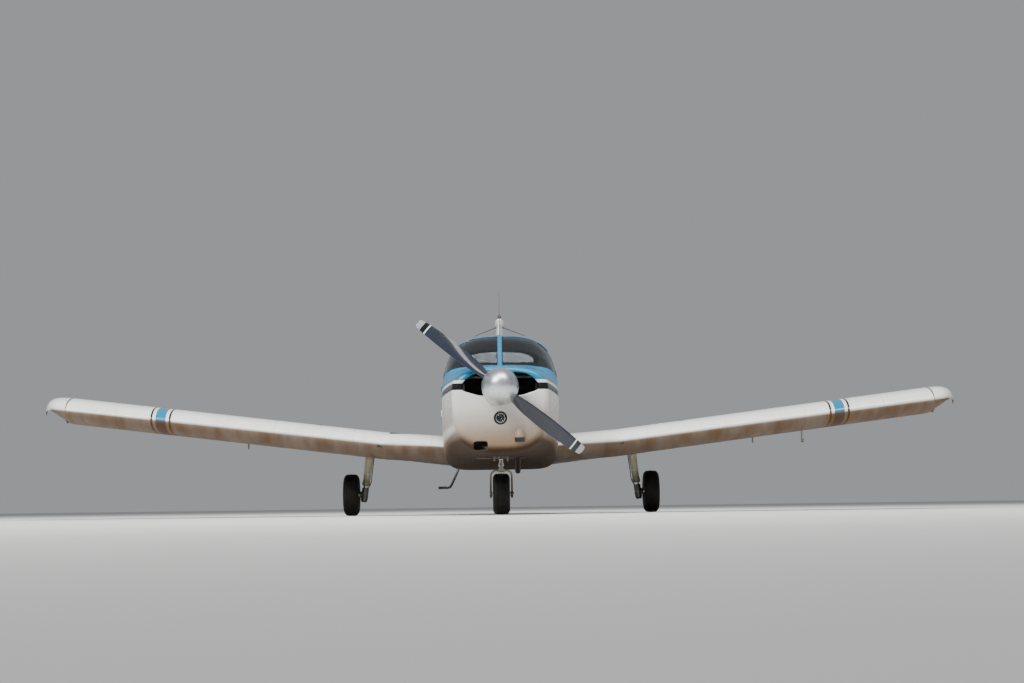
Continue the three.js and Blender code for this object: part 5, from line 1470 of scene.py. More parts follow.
def fin_section(height, shares, raised=0.0):
    """Half widths and stations of the fin and rudder at shares of their chord."""
    share = min(max((height - FIN["foot"]) / (FIN["top"] - FIN["foot"]), 0), 1)
    leading = line_at(FIN_LEADING, max(height, FIN["foot"]))
    chord = line_at(RUDDER_TRAILING, height) - leading
    upper, _ = airfoil(shares, FIN["thin"] + (FIN["thick"] - FIN["thin"]) * share, 0)
    return upper * chord + raised, leading + np.asarray(shares) * chord


def hinge_share(height):
    leading = line_at(FIN_LEADING, max(height, FIN["foot"]))
    return float((line_at(RUDDER_HINGE, height) - leading) / (line_at(RUDDER_TRAILING, height) - leading))


def hinge_half(height):
    return float(fin_section(height, np.array([hinge_share(height)]))[0][0])


def rudder_nose(growth, bottom, top):
    """A round form on the rudder's hinge line that follows the fin's thickness."""
    foot = np.array([0, line_at(RUDDER_HINGE, bottom), bottom])
    axis = np.array([0, line_at(RUDDER_HINGE, top), top]) - foot
    length = np.linalg.norm(axis)
    profile = []
    for height in np.linspace(bottom, top, 14):
        radius = hinge_half(height) - NOSE_INSET + growth
        profile.append((radius, length * (height - bottom) / (top - bottom)))
    return turned(Shape(), profile, foot, axis, 48)


def build_fin():
    rings = []
    for height in np.linspace(1040, FIN["top"], 26):
        centre = line_at(RUDDER_HINGE, height)
        radius = hinge_half(height) + COVE_GAP - NOSE_INSET
        edge = hinge_share(height)
        shares = cosine_shares(0, edge, 60)
        half, station = fin_section(height, shares)
        kept = np.hypot(half, station - centre) > radius
        half, station = fin_section(height, cosine_shares(0, shares[kept][-1], 26))
        start = math.atan2(half[-1], centre - station[-1])
        angles = np.linspace(start, -start, 15)[1:-1]
        cove = points_at(radius * np.sin(angles), centre - radius * np.cos(angles), height)
        left = points_at(half, station, height)
        rings.append(np.concatenate([left, cove, left[::-1][:-1] * (-1, 1, 1)]))
    piece("fin_skin", loft(Shape(), rings), finishes("Tail paint"), "airframe", ("fin",))


# Cap widths: height over the fin, share of the fin's width
CAP_WIDTHS = np.array([
    (0, 1.0), (10, 1.22), (22, 1.42), (42, 1.46), (60, 1.40), (72, 1.18), (80, 0.8),
], float)


def build_fin_cap():
    rings = []
    top = FIN["top"]
    shares = cosine_shares(0, 1, 70)
    half, station = fin_section(top, shares)
    for rise in np.linspace(0.3, 80, 20):
        wide = smooth_between(CAP_WIDTHS[:, 0], CAP_WIDTHS[:, 1], rise)
        shrink = 25 * max(0.0, (rise - 60) / 20) ** 2
        limit = float(line_at(RUDDER_HINGE, top + rise)) - RUDDER_ROOM_AHEAD
        stations = np.clip(station, station[0] + shrink, limit)
        left = points_at(half * wide, stations, top + rise)
        left[0, 0] = 0
        rings.append(np.concatenate([left, left[::-1][:-1] * (-1, 1, 1)]))
    cap = object_from("fin_cap_cover", loft(Shape(), rings), finishes("Tail paint"))
    merge_close(cap)
    carve(cap, [rudder_nose(COVE_GAP, 2100, 2400)])
    settle(shade(cap, 40), "airframe", ("fin_cap",))


def build_rudder():
    rings = []
    for height in np.linspace(RUDDER_BOTTOM, RUDDER_TOP, 190):
        bead = bead_at(height, RUDDER_BOTTOM, RUDDER_TOP, RUDDER_BEAD_PITCH, 0.15, (40, 80))
        shares = np.linspace(hinge_share(height), 1, 16)
        raised = 2.2 * bead * bead_fade((shares - shares[0]) / (1 - shares[0]), 0.08, 0.08)
        half, station = fin_section(height, shares, raised)
        half = half * (1 - 0.45 * smooth_step(14, 0, RUDDER_TOP - height))
        left = points_at(half, station, height)
        left[-1, 0] = max(left[-1, 0], 0.6)
        angles = np.linspace(math.pi, 0, 13)[1:-1]
        nose = np.column_stack([np.cos(angles), -np.sin(angles), np.zeros(11)]) * (half[0] - 0.2)
        nose += (0, station[0], height)
        rings.append(np.concatenate([left, left[::-1] * (-1, 1, 1), nose]))
    piece("rudder_skin", loft(Shape(), rings), finishes("Tail paint"), "rudder", ("rudder",))


def plan_prism(outline, heights):
    """A closed prism through an outline of x and station, from one height to another."""
    outline = np.asarray(outline, float)
    return loft(Shape(), [points_at(*outline.T, z) for z in heights])


TAB_SHARE = 0.83


def build_stabilator():
    pivot, height, chord = STABILATOR["pivot"], STABILATOR["height"], STABILATOR["chord"]
    half_span, inner, thickness = STABILATOR["span"] / 2, STABILATOR["inner"], STABILATOR["thickness"]
    leading = pivot - chord / 4
    groove = TAB_SHARE + np.array([-0.006, -0.003, 0.003, 0.006])
    shares = np.sort(np.concatenate([cosine_shares(0, 1, 30), groove]))
    tip = half_span - 60 + 60 * np.sin(np.linspace(0.1, math.pi / 2, 10))
    spans = np.concatenate([np.linspace(inner, half_span - 60, 60), tip])
    apex = float(line_at(RUDDER_HINGE, RUDDER_BOTTOM)) + 10
    reach = 700
    wide = 30 + reach * math.tan(math.radians(32))
    room = plan_prism([(-30, apex), (30, apex), (wide, apex + reach), (-wide, apex + reach)], (400, 1300))
    materials = finishes("Tail paint", "Bright steel")
    pivot_tube = rod(Shape(), (-150, pivot, height), (150, pivot, height), 27, sides=40, mark=1)
    parts = []
    for _, sign in SIDES:
        rings = []
        for x in spans:
            taper = max(1 - max(0, x - half_span + 60) / 60, 0.0)
            taper = 0.55 + 0.45 * math.sqrt(taper)
            dip = 4.0 * (np.abs(shares - TAB_SHARE) < 0.004) * (inner < x < half_span - 120)
            upper, _ = airfoil(shares, thickness * math.sqrt(taper), 0)
            back = (1 - taper) * chord * 0.35 + shares * chord * (0.65 + 0.35 * taper)
            rise = np.maximum(upper * chord - dip, 0.5)
            top = points_at(sign * x, leading + back, height + rise)
            below = points_at(sign * x, leading + back, height - rise)
            rings.append(np.concatenate([top, below[::-1][1:-1]]))
        half = object_from("stabilator_half", loft(Shape(), rings), materials)
        parts.append(carve(half, [room]))
    parts.append(object_from("pivot_tube", pivot_tube, materials))
    made = merge_objects("stabilator_skin", *parts)
    settle(shade(made), "stabilator", ("stabilator",))


def merge_objects(name, first, *others):
    """Puts the meshes of other objects into the first one's, as loose parts, and names it."""
    for other in others:
        mesh = bmesh.new()
        mesh.from_mesh(first.data)
        mesh.from_mesh(other.data)
        mesh.to_mesh(first.data)
        mesh.free()
        drop(other)
    first.name = first.data.name = name
    return first


# Propeller
FORWARD = np.array([0, -math.cos(THRUST_TILT), math.sin(THRUST_TILT)])
THRUST_CENTRE = np.array([0, THRUST_STATION, THRUST_HEIGHT])
SIDEWAYS = np.array([-math.cos(BLADE_ANGLE), 0, math.sin(BLADE_ANGLE)])
SIDEWAYS = unit(SIDEWAYS - FORWARD * np.dot(SIDEWAYS, FORWARD))
ACROSS = unit(np.cross(FORWARD, SIDEWAYS))


def blade_ring(radius, turn_sign, growth=0.0):
    """A section of a blade, with its chord line turned to the pitch."""
    row = [smooth_between(BLADE_SECTIONS[:, 0], BLADE_SECTIONS[:, k], radius) for k in (1, 2, 3)]
    chord, thickness, pitch = float(row[0]), float(row[1]), math.radians(float(row[2]))
    tip = max(0.0, (radius - 905) / 33)
    chord = chord if tip == 0 else 88 * (1 - 0.5 * tip**5)
    share = cosine_shares(0, 1, 18)
    upper, lower = airfoil(share, thickness / chord, 0.03)
    shares = np.concatenate([share, share[::-1][1:-1]])
    heights = np.concatenate([upper, lower[::-1][1:-1]])
    along = (0.42 - shares) * (chord + 2 * growth)
    lift = heights * (chord + 2 * growth) * (1 + 2 * growth / thickness)
    side = along * math.cos(pitch) - lift * math.sin(pitch)
    front = along * math.sin(pitch) + lift * math.cos(pitch)
    return (THRUST_CENTRE + turn_sign * radius * SIDEWAYS + turn_sign * side[:, None] * ACROSS
            + front[:, None] * FORWARD)


def build_propeller():
    shape = Shape()
    radii = np.concatenate([np.linspace(50, 860, 44), np.linspace(875, 938, 16)])
    for turn_sign in (1, -1):
        loft(shape, [blade_ring(radius, turn_sign) for radius in radii])
    hub_profile = [(30, -40), (70, -38), (72, -34), (72, 40), (70, 44), (20, 44)]
    turned(shape, hub_profile, THRUST_CENTRE, FORWARD, 48, 1)
    turned(shape, [(59, -189), (60, -188), (60, -30)], THRUST_CENTRE, FORWARD, 40, 1)
    materials = finishes("Blade paint", "Dull steel")
    piece("propeller_blades", shape, materials, "propeller", ("propeller",))


def spinner_profile(shrink):
    angles = np.linspace(0, math.pi / 2, 30)
    radius, ahead = SPINNER["radius"] - shrink, SPINNER["ahead"] - shrink
    rows = [(radius * max(math.cos(a), 0) ** 0.82, ahead * math.sin(a)) for a in angles]
    rows[-1] = (0.5, rows[-1][1])
    return rows


def build_spinner():
    behind = SPINNER["behind"]
    base = SPINNER["radius"] - 1.5
    outer = [(base - 1, -behind), (base, -behind + 1.5), (base, -12), (base + 1.0, -9.5)] + spinner_profile(0)
    inner = spinner_profile(3.0)[::-1] + [(base - 4, -behind)]
    materials = finishes("Polished metal", "Dull steel")
    cover = turned(Shape(), outer + inner, THRUST_CENTRE, FORWARD, 112, closed=True)
    shell = object_from("spinner_shell", cover, materials)
    cutters = []
    for turn_sign in (1, -1):
        rings = [blade_ring(radius, turn_sign, 7.0) for radius in np.linspace(95, 230, 8)]
        cutters.append(loft(Shape(), rings))
    carve(shell, cutters)
    plate = [(62, -behind + 1), (base - 6, -behind + 1), (base - 5, -behind + 5), (62, -behind + 5)]
    disc = turned(Shape(), plate, THRUST_CENTRE, FORWARD, 96, mark=1, closed=True)
    merge_objects("spinner_shell", shell, object_from("plate", disc, materials))
    settle(shade(shell, 40), "propeller", ("spinner",))
    points, normals = [], []
    first, second = cross_axes(FORWARD)
    for turn in np.arange(16) * (2 * math.pi / 16) + 0.2:
        out = first * math.cos(turn) + second * math.sin(turn)
        if abs(np.dot(out, SIDEWAYS)) < 0.86:
            points.append(THRUST_CENTRE + out * (base - 0.2) - FORWARD * 26)
            normals.append(out)
    radius = bpy.context.scene.aircraft_detail.screw_radius / MM
    fasteners("spinner_screws", points, normals, "Bright steel", "propeller", radius, 1.6, 12)


# Landing gear
def tyre(shape, centre, radius):
    """A ribbed tyre with rounded shoulders and a bead each side."""
    half = TYRE_HALF_WIDTH
    side = [
        (79, 40), (82, 50), (92, 56), (104, 62), (106, 66), (108, 67), (112, 68.5), (130, 75), (150, 78.6),
        (158, 79), (164, 78.2), (176, 75), (188, 69), (197, 62.5), (203, 56), (206.5, 50.5), (208.5, 46),
    ]
    tread = []
    for groove in (34, 12):
        edge = TYRE_RADIUS - 0.5 - (groove / half) ** 2 * 9
        for deep, aside in ((0, 4.2), (1, 3.4), (6, 2.6), (6, -2.6), (1, -3.4), (0, -4.2)):
            tread.append((edge - deep, groove + aside))
    outline = side + tread + [(TYRE_RADIUS, 4)]
    bead = 108.0
    squash = (radius - bead) / (TYRE_RADIUS - bead)
    outline = [(r if r < bead else bead + (r - bead) * squash, along) for r, along in outline]
    profile = [(r, -along) for r, along in outline] + [(r, along) for r, along in reversed(outline)]
    turned(shape, profile, centre, (1, 0, 0), 120, closed=True)


def hub(shape, centre, outside, disc):
    """A cast wheel with its flanges, web and bearing, and a brake disc on its inner side."""
    bore, half = 17.6, 48.0
    flange = [(70, 20), (74, half - 9), (78.5, half - 2), (77, half + 2), (70, half)]
    web = [(66, half - 2), (63, 26), (46, 17), (37, 19), (35, half - 4), (33, half), (bore, half)]
    mirrored = [[(radius, -along) for radius, along in line[::-1]] for line in (flange, web)]
    rim = mirrored[0] + flange + web + mirrored[1]
    turned(shape, rim, centre, (1, 0, 0), 72, 0, closed=True)
    for turn in range(6):
        angle = turn * math.pi / 3
        spot = np.array([0, math.cos(angle), math.sin(angle)])
        for side in (-1, 1):
            start = centre + spot * 54 + np.array([side * 20.0, 0, 0])
            rod(shape, start, start + (side * 7, 0, 0), 5.5, sides=6, mark=1)
            rod(shape, start + (side * 6, 0, 0), start + (side * 10, 0, 0), 3.0, sides=10, mark=1, edge=0.8)
    if disc:
        start, end = outside * -(half - 6), outside * -(half + 17)
        ring = [(30, start), (52, start)]
        ring += [(radius, end + outside * along) for radius, along in (
            (56, 8), (71, 8), (72, 7), (72, 1), (71, 0), (30, 0))]
        turned(shape, ring, centre, (1, 0, 0), 72, 1, closed=True)
    cap_end = outside * (half + 12)
    cap = [(0.5, cap_end), (13, cap_end - outside), (19, cap_end - outside * 3), (22, cap_end - outside * 8),
           (23, outside * (half - 1)), (20, outside * (half - 2)), (0.5, outside * (half - 2))]
    turned(shape, cap, centre, (1, 0, 0), 40, 1)


def wheel(name, x, station, outside, radius, disc=True):
    centre = np.array([x, station, radius])
    shape = Shape()
    hub(shape, centre, outside, disc)
    piece(name + "_hub", shape, finishes("Cast alloy", "Dull steel"), name, (name,))
    rubber_shape = Shape()
    tyre(rubber_shape, centre, radius)
    rod(rubber_shape, centre + (outside * 50, 0, 88), centre + (outside * 62, 0, 84), 3.4, 2.6, 10, edge=0.8)
    tyre_node = name.replace("wheel", "tyre")
    piece(tyre_node + "_casing", rubber_shape, finishes("Tyre rubber"), name, (tyre_node,), 28)


def cross_pin(shape, middle, half, radius, sides, edge):
    rod(shape, middle - (half, 0, 0), middle + (half, 0, 0), radius, sides=sides, mark=1, edge=edge)


def torque_links(shape, starts, joint, near, far, thick, mark, sides, edge):
    """Two forked links that meet at a joint, with a pin across each end.

    An end is given as its fork's half width, its pin's half length and its pin's radius.
    """
    for start in starts:
        for sign in (-1, 1):
            rod(shape, start + (sign * near[0], 0, 0), joint + (sign * far[0], 0, 0), *thick, 14, mark, 1.0)
        cross_pin(shape, start, near[1], near[2], sides, edge)
    cross_pin(shape, joint, far[1], far[2], sides + 2, edge)


def build_main_gear(side, sign):
    gear = MAIN_GEAR
    crown = np.array([sign * gear["leg_top"], gear["station"], gear["top"]])
    axle = TYRE_RADIUS
    foot = np.array([sign * gear["leg_foot"], gear["station"], axle])

    def on_leg(height, aft=0.0):
        share = (gear["top"] - height) / (gear["top"] - axle)
        return crown + (foot - crown) * share + np.array([0, aft, 0])

    axis = unit(foot - crown)
    paint = Shape()
    upper = [(46, 0), (45, 60), (42, 150), (38, 250), (35.5, 350), (36, 354), (39, 356), (40, 360), (40, 392),
             (38, 396), (34, 399), (26, 400)]
    turned(paint, upper, crown, axis, 48, 0)
    turned(paint, [(22.5, 380), (22.5, 430)], crown, axis, 40, 1)
    socket = [(28, 420), (33, 423), (35, 430), (35, 540), (32, 552), (24, 566), (18, 568)]
    turned(paint, socket, crown, axis, 40, 2)
    axle_end = np.array([sign * (gear["wheel"] + 62), gear["station"], axle])
    rod(paint, foot, axle_end, 17, sides=28, mark=1, edge=1.5)
    turned(paint, [(24, -34), (28, -30), (28, 30), (23, 48), (18, 50)], foot, (sign, 0, 0), 36, 2)
    starts = [on_leg(height, 30) for height in (405, 250)]
    torque_links(paint, starts, on_leg(318, 116), (24, 30, 9), (9, 20, 10), (7.5, 6.0), 2, 18, 1.5)
    inner = sign * (gear["leg_foot"] + 14)
    outer = sign * (gear["wheel"] - 50 - 14)
    aft = gear["station"]
    rounded_box(paint, (inner, aft + 30, axle - 19), (outer, aft + 72, axle + 35), 7, 3, 2)
    rod(paint, (inner, aft + 54, axle - 10), (inner - sign * 14, aft + 54, axle - 10), 6, sides=12, mark=1)
    hose = [(inner, aft + 58, axle + 26), (inner - sign * 34, aft + 62, 262),
            *[tuple(on_leg(height, 14) - (sign * 46, 0, 0)) for height in (330, 420, 520, 640)]]
    tube(paint, hose, 4.2, 40, 10, 3)
    for height in (432, 560):
        turned(paint, [(41, -3), (43, -2), (43, 2), (41, 3)], on_leg(height), axis, 40, 1)
    materials = finishes("Gear paint", "Bright steel", "Dull steel", "Seal rubber")
    piece("main_gear_leg_" + side, paint, materials, "airframe", ("main_leg_" + side,))
    wheel("main_wheel_" + side, sign * gear["wheel"], gear["station"], sign, TYRE_RADIUS)


def nose_axis(distance, across=0.0, ahead=0.0):
    """A point on the nose leg's line above the axle."""
    rake = NOSE_GEAR["rake"]
    up = np.array([0, math.sin(rake), math.cos(rake)])
    fore = np.array([0, -math.cos(rake), math.sin(rake)])
    return np.array([across, NOSE_GEAR["station"], NOSE_TYRE_RADIUS]) + up * distance + fore * ahead


def build_nose_gear():
    up = unit(nose_axis(100) - nose_axis(0))
    leg = Shape()
    strut = [(28, 384), (38, 385), (40, 388), (40, 403), (38, 406), (33, 408), (33, 560), (36, 564),
             (36, 600), (33, 604), (33, 660)]
    turned(leg, strut, nose_axis(0), up, 48, 0)
    for sign in (-1, 1):
        for distance, aside, height in ((640, 190, 870), (490, 150, 640)):
            foot = (sign * aside, 1249.5, height)
            rod(leg, nose_axis(distance), foot, 13, sides=20, edge=1.0)
            rod(leg, (sign * aside, 1238, height), foot, 24, sides=24, mark=1, edge=1.0)
    materials = finishes("Gear paint", "Bright steel", "Dull steel", "Seal rubber")
    piece("nose_gear_leg", leg, materials, "airframe", ("nose_leg",))

    fork = Shape()
    turned(fork, [(20, 214), (20, 382), (17, 383.4)], nose_axis(0), up, 48, 1)
    turned(fork, [(30, 206), (34, 210), (34, 228), (30, 236), (22, 238)], nose_axis(0), up, 40, 0)
    path = fork_path()
    ups = [np.array([0.0, 1.0, 0.0])] * len(path)
    section = [(a * 9.0, b * 27.0) for a, b in rounded_outline([(-1, -1), (1, -1), (1, 1), (-1, 1)], 0.7, 4)]
    sweep(fork, path, section, 0, ups=ups)
    axle = np.array([0, NOSE_GEAR["station"], NOSE_TYRE_RADIUS])
    rod(fork, axle - (114, 0, 0), axle + (114, 0, 0), 17, sides=28, mark=1, edge=1.5)
    for sign in (-1, 1):
        rod(fork, axle + (sign * 99, 0, 0), axle + (sign * 111, 0, 0), 25, sides=6, mark=1)
        rod(fork, axle + (sign * 110, 0, 0), axle + (sign * 118, 0, 0), 14, sides=6, mark=1)
        rod(fork, axle + (sign * 88, 0, 0), axle + (sign * 108, 0, 0), 30, sides=32, edge=2)
    starts = [nose_axis(distance, 0, 20) for distance in (362, 262)]
    torque_links(fork, starts, nose_axis(312, 0, 90), (20, 26, 8), (8, 18, 9), (6.5, 5.5), 0, 16, 1.2)
    piece("nose_gear_fork", fork, materials, "nose_fork", ("nose_fork",), 40)
    wheel("nose_wheel", 0.0, NOSE_GEAR["station"], 1, NOSE_TYRE_RADIUS, disc=False)


def fork_path():
    """The fork's line: up one arm, round its shoulders and down the other arm."""
    station = NOSE_GEAR["station"]
    low, high, half = NOSE_TYRE_RADIUS - 35, NOSE_TYRE_RADIUS + 218, 99.0
    radius = 52.0
    arm = np.linspace(low, high - radius, 12)
    turn = np.radians(np.linspace(0, 90, 10)[1:])
    arc = points_at(-half + radius * (1 - np.cos(turn)), station, high - radius + radius * np.sin(turn))
    right = np.concatenate([points_at(-half, station, arm), arc])
    path = np.concatenate([right, right[::-1] * (-1, 1, 1)])
    path[:, 1] += np.interp(path[:, 2], [low, high], [0, 26])
    return path


# Fasteners
# Sockets of the tree that repeats fasteners: label, kind, default
REPEAT_INPUTS = (
    ("Geometry", "Geometry", None),
    ("Radius", "Float", 0.002),
    ("Top radius", "Float", 0.001),
    ("Height", "Float", 0.001),
    ("Sides", "Int", 6),
    ("Seed", "Int", 7),
    ("Material", "Material", None),
)


def repeat_tree():
    """A tree that puts one small turned form on every point of its mesh, along the point's own direction."""
    tree = bpy.data.node_groups.new("Fasteners", "GeometryNodeTree")
    for label, kind, value in REPEAT_INPUTS:
        socket = tree.interface.new_socket(name=label, in_out="INPUT", socket_type="NodeSocket" + kind)
        if value is not None:
            socket.default_value = value
        if kind == "Float":
            socket.subtype = "DISTANCE"
    tree.interface.new_socket(name="Geometry", in_out="OUTPUT", socket_type="NodeSocketGeometry")
    node = Graph(tree).node
    entry = node("NodeGroupInput").outputs
    form = node("GeometryNodeMeshCone", {
        "Vertices": entry["Sides"], "Radius Top": entry["Top radius"], "Radius Bottom": entry["Radius"],
        "Depth": entry["Height"]}, fill_type="NGON")
    facing = node("GeometryNodeInputNamedAttribute", {"Name": "facing"}, data_type="FLOAT_VECTOR")
    turn = node("FunctionNodeAlignRotationToVector", {"Vector": facing.outputs["Attribute"]}, axis="Z")
    spin = node("FunctionNodeRandomValue", {3: math.tau, "Seed": entry["Seed"]}, data_type="FLOAT")
    angles = node("ShaderNodeCombineXYZ", {2: spin.outputs[1]})
    euler = node("FunctionNodeEulerToRotation", {0: angles.outputs[0]})
    turns = {0: turn.outputs[0], 1: euler.outputs[0]}
    twist = node("FunctionNodeRotateRotation", turns, rotation_space="LOCAL")
    place = node("GeometryNodeInstanceOnPoints", {
        "Points": entry["Geometry"], "Instance": form.outputs["Mesh"], "Rotation": twist.outputs[0]})
    real = node("GeometryNodeRealizeInstances", {0: place.outputs[0]})
    paint = node("GeometryNodeSetMaterial", {"Geometry": real.outputs[0], "Material": entry["Material"]})
    node("NodeGroupOutput", {"Geometry": paint.outputs[0]})
    return tree


HEAD_TOP = 0.55
HEAD_SUNK = 0.35


def fasteners(name, points, normals, finish_name, body, radius, height, sides=6):
    """Screw or rivet heads on points of a skin, in one mesh."""
    tree = bpy.data.node_groups.get("Fasteners") or repeat_tree()
    points, normals = np.asarray(points, float), np.asarray(normals, float)
    mesh = bpy.data.meshes.new(name + "_points")
    mesh.from_pydata(to_metres(points - normals * height * HEAD_SUNK).tolist(), [], [])
    facing = mesh.attributes.new("facing", "FLOAT_VECTOR", "POINT")
    facing.data.foreach_set("vector", normals.ravel())
    obj = in_scene(bpy.data.objects.new(name, mesh))
    modifier = obj.modifiers.new("Fasteners", "NODES")
    modifier.node_group = tree
    values = {
        "Radius": radius * MM, "Top radius": radius * HEAD_TOP * MM, "Height": height * MM, "Sides": sides,
        "Material": finish(finish_name),
    }
    for item in tree.interface.items_tree:
        if item.item_type == "SOCKET" and item.in_out == "INPUT" and item.name in values:
            modifier[item.identifier] = values[item.name]
    apply_modifiers(obj)
    obj.data.name = name
    shade(obj, 25)
    return settle(obj, body)


# Engine
CYLINDER_STATIONS = (650.0, 905.0)
CYLINDER_HEIGHT = 1150.0
EXHAUST_ROUTE = [(158, 962, 880), (158, 985, 740), (158, 1105, 600), (158, 1260, 480), (158, 1400, 408)]


def pipe(shape, points, radius, bore):
    """A bent tube with an open bore."""
    path = curve_points(points, 36)
    outer, inner = (sweep_rings(path, circle(size, 28)) for size in (radius, bore))
    return closed_loft(shape, outer + inner[::-1])


def finned_cylinder(shape, station, sign):
    """One cylinder with its fins, head, rocker cover and two push rod tubes."""
    base = np.array([sign * 92.0, station, CYLINDER_HEIGHT])
    barrel = [(66, 0)]
    for k in range(11):
        at = 10 + k * 10.0
        barrel += [(61, at), (79, at + 1), (79, at + 3.4), (61, at + 4.4)]
    barrel += [(61, 124), (20, 125)]
    turned(shape, barrel, base, (sign, 0, 0), 40)
    core = (sign * 216, station - 68, CYLINDER_HEIGHT - 66), (sign * 318, station + 68, CYLINDER_HEIGHT + 66)
    rounded_box(shape, *core, 12, 2)
    for k in range(9):
        x = sign * (218 + k * 11.5)
        low = (x, station - 90, CYLINDER_HEIGHT - 86)
        rounded_box(shape, low, (x + sign * 4, station + 90, CYLINDER_HEIGHT + 86), 1.8, 1)
    cover = (sign * 316, station - 64, CYLINDER_HEIGHT - 56), (sign * 347, station + 64, CYLINDER_HEIGHT + 56)
    rounded_box(shape, *cover, 12, 3, 1)
    for aside in (-34, 34):
        start = (sign * 100, station + aside, CYLINDER_HEIGHT - 74)
        rod(shape, start, (sign * 300, station + aside, CYLINDER_HEIGHT - 92), 8, sides=14, mark=1)
        rod(shape, (sign * 268, station + aside, CYLINDER_HEIGHT + 60), (sign * 268, station + aside,
            CYLINDER_HEIGHT + 98), 10, sides=12, mark=2)


def build_engine():
    shape = Shape()
    rounded_box(shape, (-94, 530, 1052), (94, 1095, 1238), 26, 3)
    rounded_box(shape, (-150, 610, 892), (150, 1060, 1058), 30, 3, 1)
    turned(shape, [(60, 0), (72, 4), (72, 40), (86, 66), (92, 140), (60, 146)], THRUST_CENTRE - FORWARD * 190,
           -FORWARD, 48, 1)
    for sign in (-1, 1):
        for station in CYLINDER_STATIONS:
            finned_cylinder(shape, station, sign)
        rounded_box(shape, (sign * 96, 536, 1240), (sign * 340, 539, 1268), 1.2, 1, 2)
        rounded_box(shape, (sign * 96, 533, 1258), (sign * 340, 542, 1269), 3, 2, 3)
        rod(shape, (sign * 230, 1050, 950), (sign * 230, 1249.7, 900), 14, sides=20, mark=2)
        rod(shape, (sign * 140, 1050, 1200), (sign * 230, 1249.7, 1262), 14, sides=20, mark=2)
    rod(shape, (-206, 520, 985), (-206, 640, 985), 58, sides=36, mark=1, edge=6)
    rod(shape, (-206, 506, 985), (-206, 524, 985), 34, sides=30, mark=2, edge=3)
    for sign in (-1, 1):
        for station in CYLINDER_STATIONS:
            start = (sign * 268, station - 34, CYLINDER_HEIGHT + 94)
            tube(shape, [start, (sign * 250, station + 20, CYLINDER_HEIGHT + 112), (sign * 120, 960, 1256),
                         (sign * 60, 1080, 1225)], 4.5, 26, 10, 3)
    materials = finishes("Engine metal", "Cast alloy", "Dull steel", "Seal rubber")
    piece("engine", shape, materials, "airframe", ("engine_block",))

    exhaust = pipe(Shape(), EXHAUST_ROUTE, 26, 23)
    turned(exhaust, [(27, 0), (31, 2), (31, 10), (27, 12)], (158, 990, 722), (0, 0.25, -1), 32)
    piece("exhaust_tube", exhaust, finishes("Exhaust metal"), "airframe", ("exhaust_pipe",))
    plate = loft(Shape(), [body_ring(station, 2, 128) for station in (1250.0, 1256.0)])
    piece("firewall_plate", plate, finishes("Dull steel"), "airframe", ("firewall",))


# Cabin
PANEL = {"front": 1850.0, "back": 1880.0, "bottom": 1040.0, "top": 1372.0}
YOKE = {"x": 270.0, "station": 2040.0, "column": 1165.0, "bar": 1139.0, "top": 1226.0}
FLOOR = {"front": 1300.0, "back": 3860.0, "bottom": 690.0, "top": 706.0}


def fitted(name, front, back, count, inset, low, high, materials):
    """What lies between two corners and inside the cabin's wall."""
    rings = [body_ring(station, inset, 96) for station in np.linspace(front, back, count)]
    obj = object_from(name, loft(Shape(), rings), materials)
    return carve(obj, [block(low, high)], "INTERSECT")


def dial(shape, x, z, radius, needle):
    """A round instrument: bezel, face, ticks and a needle, with no figures."""
    centre = np.array([x, PANEL["back"], z])
    bezel = ((-4, -1), (4, -1), (4, 3), (2, 5.5), (-3, 5.5), (-4, 4))
    bezel = [(radius + wider, along) for wider, along in bezel]
    turned(shape, bezel, centre, (0, 1, 0), 48, 1, closed=True)
    turned(shape, [(1, -0.5), (radius - 3.5, -0.5), (radius - 3.5, 1), (1, 1)], centre, (0, 1, 0), 48, 2)
    for k in range(12):
        angle = k * math.tau / 12
        away = np.array([math.sin(angle), 0, math.cos(angle)])
        long = 6.5 if k % 3 == 0 else 4.0
        middle = centre + away * (radius - 10) + (0, 1.2, 0)
        size = np.array([0.8, 0.6, long / 2])
        rounded_box(shape, middle - size, middle + size, 0.2, 1, 3, Matrix.Rotation(angle, 4, "Y"))
    away = np.array([math.sin(needle), 0, math.cos(needle)])
    middle = centre + away * (radius * 0.28) + (0, 2.0, 0)
    size = np.array([0.9, 0.5, radius * 0.42])
    rounded_box(shape, middle - size, middle + size, 0.3, 1, 3, Matrix.Rotation(needle, 4, "Y"))
    rod(shape, centre + (0, 1, 0), centre + (0, 3.4, 0), 3.4, sides=14, mark=1)


def control_wheel(shape, x):
    """A column with its collar, and a wheel of two horns with a grip on each."""
    station, column, bar, top = (YOKE[name] for name in ("station", "column", "bar", "top"))
    rod(shape, (x, 1879, column), (x, station + 12, column), 12, sides=24, mark=4, edge=1)
    collar = [(13, 0), (24, 0), (24, 6), (15, 12), (13, 12)]
    turned(shape, collar, (x, 1880, column), (0, 1, 0), 32, 1, closed=True)
    rounded_box(shape, (x - 34, station - 14, bar - 14), (x + 34, station + 16, column + 16), 12, 3, 1)
    left = [(x - 130, top), (x - 132, 1176), (x - 112, bar + 4), (x - 40, bar)]
    right = [(2 * x - a, z) for a, z in reversed(left)]
    tube(shape, [(a, station, z) for a, z in left + right], 12, 44, 18, 1)
    for end in (x - 130, x + 130):
        rod(shape, (end, station, top - 2), (end, station, top + 9), 12, 8, 18, 1, 4)


